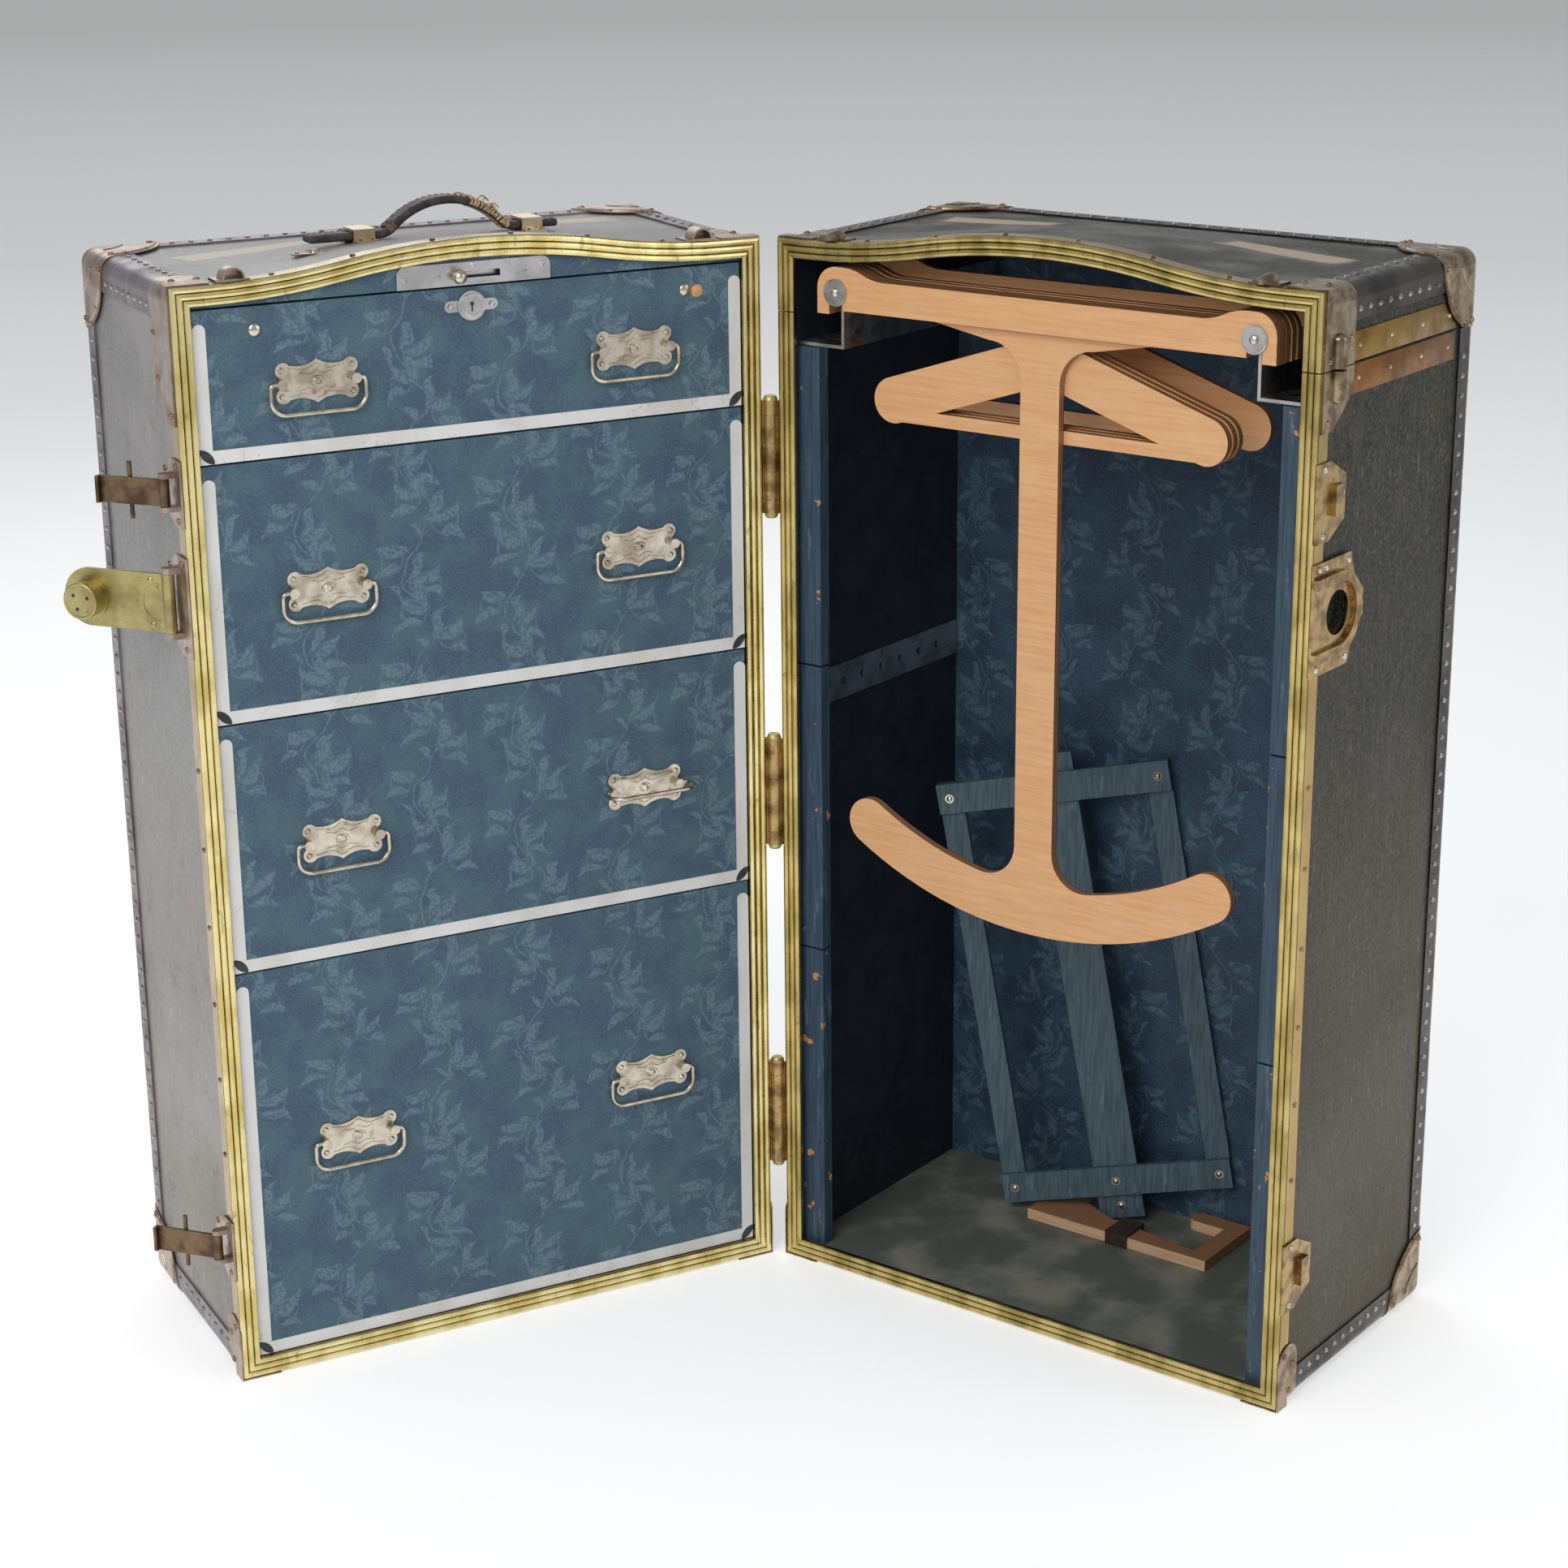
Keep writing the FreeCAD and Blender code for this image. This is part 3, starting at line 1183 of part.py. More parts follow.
def hinge_leaf(half, name, middle, owned):
    """One leaf with its knuckles; owned holds the numbers of its own knuckles."""
    axis_deep = -size.parting_gap / 2
    axis_across = half_width + size.hinge_offset
    low = middle - size.hinge_length / 2
    plate = half.box(name + "_plate", half_width, half_width + size.hinge_leaf_thickness,
                     size.slack, size.hinge_leaf_width, low, low + size.hinge_length)
    solids = [plate]
    tools = [half.rod_up(name + "_bore", axis_across, axis_deep, low - size.slack,
                         size.hinge_pin_radius + size.running_clearance,
                         size.hinge_length + size.slack * 2)]
    for number, (start, height) in enumerate(knuckle_spans(middle)):
        label = "%s_%d" % (name, number)
        if number in owned:
            start, height = start + size.slack / 2, height - size.slack
            solids.append(half.rod_up(label + "_knuckle", axis_across, axis_deep, start,
                                      size.hinge_radius, height))
            solids.append(half.box(label + "_neck", half_width, axis_across - size.hinge_offset / 2,
                                   size.slack, size.hinge_radius, start, start + height))
        else:
            tools.append(half.rod_up(label + "_notch", axis_across, axis_deep,
                                     start - size.slack / 2, size.hinge_radius + size.slack,
                                     height + size.slack))
    return cut(name, fuse(name + "_whole", *solids), *tools)


def hinge_pin(name, middle):
    """A pin with a domed head at each end."""
    half = drawer_half
    across, deep = half_width + size.hinge_offset, -size.parting_gap / 2
    low = middle - size.hinge_length / 2
    pieces = [half.rod_up(name + "_shaft", across, deep, low, size.hinge_pin_radius,
                          size.hinge_length)]
    for label, level, way in (("foot", low, -1), ("head", low + size.hinge_length, 1)):
        dome = ball("%s_%s_dome" % (name, label), half.x(across), half.y(deep), level,
                    size.hinge_radius)
        reach = size.hinge_radius * 2
        dome_high = size.hinge_dome
        keep_low, keep_high = (level, level + dome_high) if way > 0 else (level - dome_high, level)
        keep = half.box("%s_%s_keep" % (name, label), across - reach, across + reach,
                        deep - reach, deep + reach, keep_low, keep_high)
        pieces.append(common("%s_%s" % (name, label), dome, keep))
    return fuse(name, *pieces)


def build_trunk_hinges():
    leaves, far_leaves, pins = [], [], []
    for number, middle in enumerate(hinge_heights, start=1):
        leaves.append(hinge_leaf(drawer_half, "near_leaf_%d" % number, middle, (0, 2, 4)))
        far_leaves.append(hinge_leaf(hanger_half, "far_leaf_%d" % number, middle, (1, 3)))
        pins.append(hinge_pin("hinge_pin_%d" % number, middle))
    part("drawer_half_hinge_leaves", leaves)
    part("hinge_pins", pins)
    part("hanger_half_hinge_leaves", far_leaves, swung=True)


# --------------------------------------------------------------------------------- drawers

drawer_shares = (size.drawer_1_share, size.drawer_2_share,
                 size.drawer_3_share, size.drawer_4_share)
all_shares = drawer_shares[0] + drawer_shares[1] + drawer_shares[2] + drawer_shares[3]
fronts_height = (size.trunk_height - size.drawer_headroom - size.drawer_floor
                 - size.drawer_gap * 3)
drawer_heights = [fronts_height * share / all_shares for share in drawer_shares]
pull_rises = (size.pull_1_rise, size.pull_2_rise, size.pull_3_rise, size.pull_4_rise)
front_half_width = half_width - size.valance_width - size.drawer_side_gap
front_face = size.drawer_setback
front_back = size.drawer_setback + size.drawer_front_thickness


def drawer_bottom_edge(number):
    """Floor to the bottom edge of a drawer front; drawer 4 is the lowest."""
    level = size.drawer_floor
    for lower in range(4, number, -1):
        level = level + drawer_heights[lower - 1] + size.drawer_gap
    return level


def drawer_box(number):
    """A front with an open box behind it."""
    half = drawer_half
    name = "drawer_%d" % number
    low = drawer_bottom_edge(number)
    high = low + drawer_heights[number - 1]
    box_low = low + size.drawer_box_lift
    box_high = high - size.drawer_box_drop
    rear = front_back + size.drawer_length
    boards = [half.box(name + "_front", -front_half_width, front_half_width,
                       front_face, front_back, low, high)]
    for label, side in SIDES:
        left, right = span(side, front_half_width - size.drawer_board, front_half_width)
        boards.append(half.box("%s_%s" % (name, label), left, right, front_back, rear,
                               box_low, box_high))
    room = front_half_width - size.drawer_board
    boards.append(half.box(name + "_rear", -room, room, rear - size.drawer_board, rear,
                           box_low, box_high))
    boards.append(half.box(name + "_bottom", -room, room, front_back,
                           rear - size.drawer_board, box_low,
                           box_low + size.drawer_bottom_board))
    part(name, boards)


def edging(number):
    """The enamelled strip along the sides and bottom of a front, with round upper ends."""
    low = drawer_bottom_edge(number)
    end = low + drawer_heights[number - 1] - size.edging_drop
    outer, inner = front_half_width, front_half_width - size.edging_width
    shape = [(-outer, low), (outer, low), (outer, end, HALF_ROUND), (inner, end),
             (inner, low + size.edging_width), (-inner, low + size.edging_width),
             (-inner, end, HALF_ROUND), (-outer, end)]
    return drawer_half.front_prism("drawer_%d_edging" % number, shape,
                                   front_face - size.edging_thickness, front_face)


def pull_plate(name, across, up):
    """A scalloped back plate with two bored posts for a bail."""
    half = drawer_half
    quarter = [(as_size(0), size.pull_plate_tip, -size.pull_hollow),
               (size.pull_lobe_inner, size.pull_lobe_high, HALF_ROUND),
               (size.pull_lobe_outer, size.pull_lobe_low, -size.pull_waist)]
    right = quarter + [(c[0], -c[1]) + tuple(c[2:]) for c in backwards_plain(quarter)]
    left = [(-c[0], c[1]) + tuple(c[2:]) for c in backwards_plain(right)]
    shape = [(c[0] + across, c[1] + up) + tuple(c[2:]) for c in right[:-1] + left[:-1]]
    plate = half.front_prism(name + "_plate", shape, front_face - size.pull_plate_thickness,
                             front_face)
    pieces = [plate]
    for label, side in (("left", -1), ("right", 1)):
        place_across = across + size.post_spacing * side
        pieces.append(half.rod_deep("%s_%s_post" % (name, label), place_across,
                                    front_face - size.post_reach, up, size.post_radius,
                                    size.post_reach))
    reach = size.post_spacing + size.post_radius * 2
    bore = half.rod_across(name + "_bore", across - reach, bail_deep, up,
                           size.bail_wire + size.running_clearance, reach * 2)
    return cut(name, fuse(name + "_whole", *pieces), bore)


bail_deep = front_face - size.post_reach + size.post_radius


def bend(name, x, z, radius, wire, quarter):
    """A quarter bend of wire in the XZ plane, from +X down to -Z, turned on by quarters."""
    solid = doc.addObject("Part::Torus", name)
    turned = ALONG["y"].multiply(FreeCAD.Rotation(Vector(0, 0, 1), 90 * quarter))
    solid.Placement = FreeCAD.Placement(Vector(), turned)
    solid.Angle3 = 90
    bind(solid, "Radius1", radius)
    bind(solid, "Radius2", wire)
    place(solid, x, 0, z)
    return solid


def bail(name, across, up, lift):
    """A wire bail, drawn hanging from its pivot and lifted by an angle about it."""
    inner = size.post_spacing - size.post_radius + size.slack * 2
    side, wire = size.bail_half_width, size.bail_wire
    shoulder, corner, drop = size.bail_shoulder, size.bail_corner, size.bail_drop
    low, high = side - corner, side - shoulder
    pieces = [
        rod(name + "_grip", "x", -low, 0, -drop, wire, low * 2),
        bend(name + "_corner_right", low, corner - drop, corner, wire, 0),
        bend(name + "_corner_left", -low, corner - drop, corner, wire, 1),
        bend(name + "_shoulder_left", -high, -shoulder, shoulder, wire, 2),
        bend(name + "_shoulder_right", high, -shoulder, shoulder, wire, 3),
    ]
    for label, x in (("right", side), ("left", -side)):
        pieces.append(rod("%s_%s_arm" % (name, label), "z", x, 0, corner - drop, wire,
                          drop - corner - shoulder))
    for label, x in (("right", inner), ("left", -high)):
        pieces.append(rod("%s_%s_end" % (name, label), "x", x, 0, 0, wire, high - inner))
    whole = part(name, [fuse(name + "_wire", *pieces)])
    whole.setExpression("Placement", "placement(vector(%s; %s; %s); rotation(vector(-1; 0; 0); %s))"
                        % (drawer_half.x(across).text, drawer_half.y(bail_deep).text,
                           up.text, as_size(lift).text))


def build_drawers():
    for number, rise in enumerate(pull_rises, start=1):
        up = drawer_bottom_edge(number) + rise
        drawer_box(number)
        plates = [pull_plate("drawer_%d_pull_%s" % (number, label), across, up)
                  for label, across in (("left", size.pull_left), ("right", size.pull_right))]
        part("drawer_%d_metalwork" % number, [edging(number)] + plates)
        bail("drawer_%d_bail_left" % number, size.pull_left, up, 0)
        lift = size.raised_bail_angle if number == 3 else 0
        bail("drawer_%d_bail_right" % number, size.pull_right, up, lift)
    runners = []
    rear = drawer_half.depth - size.binding_thickness - size.wall_thickness
    for number in range(1, 5):
        high = drawer_bottom_edge(number) + size.drawer_box_lift - size.slack
        for label, side in SIDES:
            left, right = span(side, inside - size.runner_width, inside)
            runners.append(drawer_half.box("drawer_%d_%s_runner" % (number, label), left, right,
                                           front_back + size.slack * 4, rear,
                                           high - size.runner_height, high))
    part("drawer_runners", runners)


def build_drawer_lock():
    half = drawer_half
    across = size.lock_across
    up = drawer_bottom_edge(1) + drawer_heights[0] - size.lock_drop
    front = front_face - size.lock_thickness
    ear = size.lock_ear_radius
    reach = size.lock_ear_reach - ear
    shape = [(across - reach, up - ear), (across + reach, up - ear, HALF_ROUND),
             (across + reach, up + ear), (across - reach, up + ear, HALF_ROUND)]
    plate = fuse("lock_plate",
                 half.front_prism("lock_ears", shape, front_face - size.lock_thickness / 2,
                                  front_face),
                 half.rod_deep("lock_round", across, front, up, size.lock_radius,
                               size.lock_thickness))
    bore = half.rod_deep("lock_bore", across, front - size.slack, up,
                         size.plug_radius + size.running_clearance,
                         size.lock_thickness + size.slack)
    part("drawer_lock", [cut("lock_body", plate, bore)])
    part("lock_plug", [half.rod_deep("lock_plug_round", across,
                                     front_face - size.running_clearance - size.plug_thickness,
                                     up, size.plug_radius, size.plug_thickness)])


# -------------------------------------------------------------------- fascia and its bolt

def build_fascia():
    half = drawer_half
    low = drawer_bottom_edge(1) + drawer_heights[0] + size.drawer_gap
    rear = size.fascia_setback + size.fascia_thickness
    # the top falls towards the back, so the board stays under its lower rear edge
    fall = size.camber_rise * (rear - size.valance_depth) / (
        half.depth - size.binding_leg - size.valance_depth)
    line = camber(inside, top_of_panels, size.wall_thickness + size.slack + fall)
    board = half.front_prism("fascia_board", [(-inside, low), (inside, low)] + line[::-1][:1]
                             + backwards_plain(line)[1:], size.fascia_setback, rear)
    slot_low = low + size.bolt_slot_rise - size.bolt_slot_height / 2
    left = size.bolt_slot_left
    pocket_left = left - size.bolt_tongue_length / 2
    pocket = half.box("fascia_pocket", pocket_left,
                      pocket_left + size.bolt_slot_length + size.bolt_tongue_length,
                      size.fascia_setback - size.slack, rear + size.slack,
                      slot_low - size.slack, slot_low + size.bolt_slot_height + size.slack)
    part("drawer_fascia", [cut("fascia", board, pocket)])

    plate_left = size.bolt_plate_left
    plate_right = plate_left + size.bolt_plate_length
    plate_high = low + size.bolt_plate_height
    corner = size.bolt_plate_corner
    face = size.fascia_setback - size.bolt_plate_thickness
    shape = [(plate_left, low), (plate_right, low), (plate_right, plate_high - corner, corner),
             (plate_right - corner, plate_high), (plate_left + corner, plate_high, corner),
             (plate_left, plate_high - corner)]
    plate = half.front_prism("bolt_plate_blank", shape, face, size.fascia_setback)
    slot = half.box("bolt_slot", left, left + size.bolt_slot_length, face - size.slack,
                    size.fascia_setback + size.slack, slot_low,
                    slot_low + size.bolt_slot_height)
    part("bolt_plate", [cut("bolt_plate_slotted", plate, slot)])

    knob_across = left + size.bolt_stem_radius + size.slack
    knob_up = low + size.bolt_slot_rise
    knob_front = face - size.bolt_knob_reach
    stem = half.rod_deep("bolt_stem", knob_across, knob_front, knob_up, size.bolt_stem_radius,
                         size.bolt_knob_reach + size.bolt_plate_thickness + size.slack * 2)
    knob = ball("bolt_knob", half.x(knob_across), half.y(knob_front), knob_up,
                size.bolt_knob_radius)
    tongue_left = knob_across - size.bolt_stem_radius - size.slack
    tongue_front = size.fascia_setback + size.slack
    tongue = half.box("bolt_tongue", tongue_left - size.bolt_tongue_length / 2 + size.slack,
                      tongue_left + size.bolt_tongue_length / 2 + size.bolt_stem_radius,
                      tongue_front, tongue_front + size.bolt_tongue_thickness,
                      slot_low + size.slack, slot_low + size.bolt_slot_height - size.slack)
    part("drawer_bolt", [fuse("bolt", stem, knob, tongue)])


# ------------------------------------------------------------------------- carrying handle

def top_level(across, deep):
    """Floor to the top panel at a place over the crown of the camber."""
    crest = drawer_half.depth - size.binding_leg
    share = (crest - deep) / (crest - size.valance_depth)
    crown = root(camber_radius * camber_radius - across * across) - camber_radius
    return top_of_panels + (size.camber_rise + crown) * share


def build_handle():
    """A leather strap bowed between two loops, with its tails flat on the top."""
    half = drawer_half
    deep = size.handle_deep
    half_strap = size.strap_width / 2
    gap = half_strap + size.strap_clearance
    outer = gap + size.loop_wall
    top = doc.getObject("drawer_half_top_panel")
    loops, levels = [], []
    straight = size.loop_width / 2 + size.strap_play + size.strap_travel
    for label, across, inner in (("left", size.loop_left, size.loop_left + straight),
                                 ("right", size.loop_right, size.loop_right - straight)):
        name = "handle_loop_" + label
        left, right = across - size.loop_width / 2, across + size.loop_width / 2
        # the front edge of a foot lies on the highest ground under it
        seat = top_level(across, deep - outer - size.loop_foot)
        low = top_level(inner, deep - half_strap) + size.strap_clearance
        levels.append(low)
        roof = low + size.strap_thickness + size.strap_clearance
        buried = top_level(across, deep) - size.wall_thickness / 2
        bridge = half.box(name + "_bridge", left, right, deep - outer, deep + outer,
                          buried, roof + size.loop_wall)
        hollow = half.box(name + "_hollow", left - size.slack, right + size.slack,
                          deep - gap, deep + gap, buried - size.slack, roof)
        foot = half.box(name + "_foot", left, right, deep - outer - size.loop_foot,
                        deep + outer + size.loop_foot, buried,
                        seat + size.loop_foot_thickness)
        loops.append(cut(name, fuse(name + "_whole", bridge, foot), hollow, top))
    part("handle_loops", loops)

    left_loop, right_loop = size.loop_left, size.loop_right
    left_low, right_low = levels
    left_end = left_loop - size.strap_tail_left
    right_end = right_loop + size.strap_tail_right
    bow_left = left_loop + size.loop_width / 2 + size.strap_play
    bow_right = right_loop - size.loop_width / 2 - size.strap_play
    thick, crown = size.strap_thickness, size.strap_crown
    middle, foot = (bow_left + bow_right) / 2, (bow_right - bow_left) / 2
    apex = left_low + size.strap_rise
    knees = {}
    for label, side, low in (("left", -1, left_low), ("right", 1, right_low)):
        # the crown and the hollow beside it meet on one tangent
        rise = apex - low
        both = (foot * foot + rise * rise) / (rise * 2)
        for line, grow in (("under", as_size(0)), ("over", thick)):
            knees[label, line] = (middle + (crown + grow) * foot / both * side,
                                  apex - crown + (crown + grow) * (1 - rise / both),
                                  both - crown - grow)
    left_knee, right_knee = knees["left", "under"], knees["right", "under"]
    over_left, over_right = knees["left", "over"], knees["right", "over"]
    shape = [(left_end, left_low), (bow_left, left_low, left_knee[2]),
             left_knee[:2] + (-crown,), right_knee,
             (bow_right, right_low), (right_end, right_low),
             (right_end, right_low + thick), (bow_right, right_low + thick, -over_right[2]),
             over_right[:2] + (crown + thick,), over_left[:2] + (-over_left[2],),
             (bow_left, left_low + thick), (left_end, left_low + thick)]
    part("carry_handle", [half.front_prism("strap", shape, deep - half_strap,
                                           deep + half_strap)])
    room = over_valance(half, "over_drawer_valance")
    part("dowel_cups", [dowel_cup("%s_dowel_cup" % label, side, room)
                        for label, side in SIDES])


# --------------------------------------------------------------------------------- latches

latch_face = -half_width - size.latch_plate


def turned_part(name, solids, across, deep, up, back_angle):
    """Solids drawn with their pivot at the origin and pointing to -X, swung back by an angle."""
    whole = part(name, solids)
    whole.setExpression("Placement", "placement(vector(%s; %s; %s); rotation(vector(0; 0; -1); %s))"
                        % (drawer_half.x(across).text, drawer_half.y(deep).text,
                           as_size(up).text, back_angle.text))


def lobed_base(half, name, up, length, width):
    """A base plate with pointed ends, on the latch-side wall."""
    low, high = up - length / 2, up + length / 2
    shoulder, end = width * size.latch_shoulder, length * size.latch_end
    shape = [(as_size(0), low), (shoulder, low), (width, low + end),
             (width, high - end), (shoulder, high), (as_size(0), high)]
    return half.side_prism(name, shape, latch_face, -half_width)


def pivot_lugs(name, deep, reach, up, inner, radius, pin_radius, height):
    """Two lugs that hold a pin on a base plate, above and below the moving knuckle."""
    half = drawer_half
    pieces = []
    for label, low in (("low", up - inner / 2 - size.slack - height),
                       ("high", up + inner / 2 + size.slack)):
        pieces.append(half.rod_up("%s_%s_lug" % (name, label), latch_face - reach, deep, low,
                                  radius, height))
        pieces.append(half.box("%s_%s_web" % (name, label), latch_face - reach, latch_face,
                               deep - radius, deep + radius, low, low + height))
    pieces.append(half.rod_up(name + "_pin", latch_face - reach, deep,
                              up - inner / 2 - size.slack - height / 2, pin_radius,
                              inner + size.slack * 2 + height))
    return pieces


def build_catch(name, up):
    """A spring catch: a strap on a knuckle, with a cross pin and a lip at its end."""
    inner = size.catch_width - size.slack * 2
    reach = size.catch_pivot_reach
    base = fuse(name + "_base",
                lobed_base(drawer_half, name + "_base_plate", up, size.catch_base_length,
                           size.catch_base_width),
                *pivot_lugs(name, size.catch_pivot_deep, reach, up, size.catch_width,
                            size.catch_knuckle_radius, size.catch_pin_radius,
                            size.catch_knuckle_radius))
    # drawn on the pivot: x runs out along the strap, y is its latched outer side
    bore = rod(name + "_bore", "z", 0, 0, -inner, size.catch_pin_radius + size.running_clearance,
               inner * 2)
    knuckle = rod(name + "_knuckle", "z", 0, 0, -inner / 2, size.catch_knuckle_radius, inner)
    strap = box(name + "_strap", -size.catch_length, -size.catch_thickness / 2, -inner / 2,
                size.catch_length, size.catch_thickness, inner)
    lip = box(name + "_lip", -size.catch_length, -size.catch_thickness / 2 - size.catch_lip,
              -inner / 2, size.catch_thickness, size.catch_lip, inner)
    cross = rod(name + "_cross", "z", -size.catch_cross_place,
                size.catch_thickness / 2 + size.catch_pin_radius / 2,
                -size.catch_cross_pin / 2, size.catch_pin_radius, size.catch_cross_pin)
    solid = cut(name + "_lever", fuse(name + "_whole", knuckle, strap, lip, cross), bore)
    turned_part(name, [solid], latch_face - reach, size.catch_pivot_deep, up, size.catch_angle)
    return base


def build_hasp():
    """The hasp: a round-ended plate with a lock boss that enters the receiver."""
    inner = size.hasp_width
    reach = size.hasp_pivot_reach
    up = size.hasp_height
    pieces = pivot_lugs("hasp", size.hasp_pivot_deep, reach, up, inner,
                        size.hasp_knuckle_radius, size.hasp_pin_radius,
                        size.hasp_knuckle_radius)
    base = fuse("hasp_base", lobed_base(drawer_half, "hasp_base_plate", up,
                                        size.hasp_base_length, size.hasp_base_width), *pieces)
    end = -size.hasp_boss_place
    radius = inner / 2
    plate = prism("hasp_plate", "XZ",
                  [(0, -radius), (0, radius), (end, radius, HALF_ROUND), (end, -radius)],
                  -size.hasp_thickness / 2, size.hasp_thickness)
    knuckle = rod("hasp_knuckle", "z", 0, 0, -inner / 2, size.hasp_knuckle_radius, inner)
    collar = rod("hasp_collar", "y", end, -size.hasp_thickness / 2 - size.hasp_collar_length, 0,
                 size.hasp_boss_radius + size.hasp_collar_length, size.hasp_collar_length)
    boss = rod("hasp_boss", "y", end, -size.hasp_thickness / 2 - size.hasp_boss_length, 0,
               size.hasp_boss_radius, size.hasp_boss_length)
    bore = rod("hasp_bore", "z", 0, 0, -inner, size.hasp_pin_radius + size.running_clearance,
               inner * 2)
    solid = cut("hasp_lever", fuse("hasp_whole", plate, knuckle, collar, boss), bore)
    turned_part("hasp", [solid], latch_face - reach, size.hasp_pivot_deep, up, size.hasp_angle)
    return base


def strike(name, up):
    """A strike on the hanger half: a lobed plate with a square hook."""
    half = hanger_half
    plate = lobed_base(half, name + "_plate", up, size.strike_length, size.strike_width)
    tip = size.catch_length - size.catch_pivot_deep - size.parting_gap
    rear = tip - size.catch_thickness - size.slack * 4
    hook = half.box(name + "_hook", latch_face - size.strike_hook_reach, latch_face,
                    rear - size.strike_hook / 2, rear, up - size.strike_hook / 2,
                    up + size.strike_hook / 2)
    return fuse(name, plate, hook)


def receiver():
    """The hasp's receiver: a plate with a raised rim round a D-shaped recess and a bore."""
    half = hanger_half
    up = size.hasp_height
    low, high = up - size.receiver_length / 2, up + size.receiver_length / 2
    width = size.receiver_width
    nose = size.hasp_width / 2 + size.receiver_margin
    neck, step = width * size.receiver_neck, width * size.receiver_step
    flat = nose * size.receiver_nose
    shape = [(as_size(0), low), (neck, low), (step, up - nose), (width, up - flat),
             (width, up + flat), (step, up + nose), (neck, high), (as_size(0), high)]
    plate = half.side_prism("receiver_plate", shape, latch_face, -half_width)
    edge = nose + size.receiver_rim_width
    rim_shape = [(as_size(0), up - edge), (boss_deep, up - edge, HALF_ROUND),
                 (boss_deep, up + edge), (as_size(0), up + edge)]
    rim = half.side_prism("receiver_rim_block", rim_shape, latch_face - size.receiver_rim,
                          latch_face)
    recess_shape = [(-size.slack, up - nose), (boss_deep, up - nose, HALF_ROUND),
                    (boss_deep, up + nose), (-size.slack, up + nose)]
    recess = half.side_prism("receiver_recess", recess_shape,
                             latch_face - size.receiver_rim - size.slack, latch_face)
    bore = half.rod_across("receiver_hole", latch_face - size.slack, boss_deep, up,
                           size.receiver_bore, size.latch_plate + size.slack * 2)
    return cut("receiver", fuse("receiver_whole", plate, rim), recess, bore)


def build_latches():
    bases = [build_catch("upper_catch", size.catch_upper_height), build_hasp(),
             build_catch("lower_catch", size.catch_lower_height)]
    part("latch_bases", bases)
    part("catch_strikes", [strike("upper_strike", size.catch_upper_height),
                           strike("lower_strike", size.catch_lower_height)], swung=True)
    part("hasp_receiver", [receiver()], swung=True)


# ------------------------------------------------------------- inside the hanger half

def build_rails():
    """Two angle rails: an upright web with a foot that reaches the side wall."""
    half = hanger_half
    rear = half.depth - size.binding_thickness - size.wall_thickness - size.rail_rear_gap
    front = size.retainer_deep + size.retainer_thickness + size.rail_front
    rails = []
    for label, side in SIDES:
        web = span(side, size.rail_spacing - size.rail_web / 2,
                   size.rail_spacing + size.rail_web / 2)
        foot = span(side, size.rail_spacing - size.rail_web / 2, inside)
        name = "rail_" + label
        rails.append(fuse(name,
                          half.box(name + "_web", web[0], web[1], front, rear, size.rail_bottom,
                                   size.rail_bottom + size.rail_height),
                          half.box(name + "_foot", foot[0], foot[1], front, rear,
                                   size.rail_bottom, size.rail_bottom + size.rail_web)))
    part("hanger_rails", rails, swung=True)


def build_battens():
    half = hanger_half
    levels = (floor_inside, size.batten_break_low, size.batten_break_high, size.rail_bottom)
    battens = []
    for label, side in SIDES:
        left, right = span(side, inside - size.batten_width, inside)
        for number in range(3):
            high = levels[number + 1] - size.batten_joint / 2
            low = levels[number] + (size.batten_joint / 2 if number else 0)
            battens.append(half.box("%s_batten_%d" % (label, number + 1), left, right,
                                    size.batten_deep, size.batten_deep + size.batten_thickness,
                                    low, high))
    part("corner_battens", battens, swung=True)

    count = int(size.strip_holes.value)
    length = size.strip_first_hole * 2 + size.strip_pitch * (count - 1)
    plate = half.box("strip_plate", inside - size.strip_thickness, inside, size.strip_front,
                     size.strip_front + length, size.strip_bottom,
                     size.strip_bottom + size.strip_height)
    holes = [half.rod_across("strip_hole_%d" % (number + 1),
                             inside - size.strip_thickness * 2,
                             size.strip_front + size.strip_first_hole + size.strip_pitch * number,
                             size.strip_bottom + size.strip_height / 2,
                             size.strip_hole_radius, size.strip_thickness * 3)
             for number in range(count)]
    part("perforated_strip", [cut("strip", plate, *holes)], swung=True)


def bar_top():
    """The upper line of a bar from left to right, with an ear at each end."""
    top = size.bar_bottom + size.bar_height
    ear = top + size.bar_ear_rise
    end = size.bar_half_length
    flat = end - size.bar_ear_corner
    slope = flat - size.bar_ear_flat
    level = slope - size.bar_ear_slope
    bend = (size.bar_ear_slope * size.bar_ear_slope + size.bar_ear_rise * size.bar_ear_rise) / (
        size.bar_ear_rise * 4)
    knee = ((slope + level) / 2, top + size.bar_ear_rise / 2)
    right = [(level, top, -bend), (knee[0], knee[1], bend), (slope, ear),
             (flat, ear, size.bar_ear_corner), (end, ear - size.bar_ear_corner)]
    return [(-c[0],) + tuple(c[1:]) for c in backwards_plain(right)] + right


def bar_foot():
    """The right half of a bar's underside, from its end to the inner edge of the notch."""
    low = size.bar_bottom
    notch_top = size.rail_bottom + size.rail_height + size.slack
    outer = size.rail_spacing + size.bar_notch / 2
    inner = size.rail_spacing - size.bar_notch / 2
    return [(size.bar_half_length, low - size.bar_tab_drop), (outer, low - size.bar_tab_drop),
            (outer, notch_top), (inner, notch_top), (inner, low)]


def bar_shape(underside):
    """A whole bar; underside is the right half of its middle part, from the notch inwards."""
    right = bar_foot() + underside
    left = [(-c[0],) + tuple(c[1:]) for c in backwards_plain(right)]
    return bar_top() + right + left


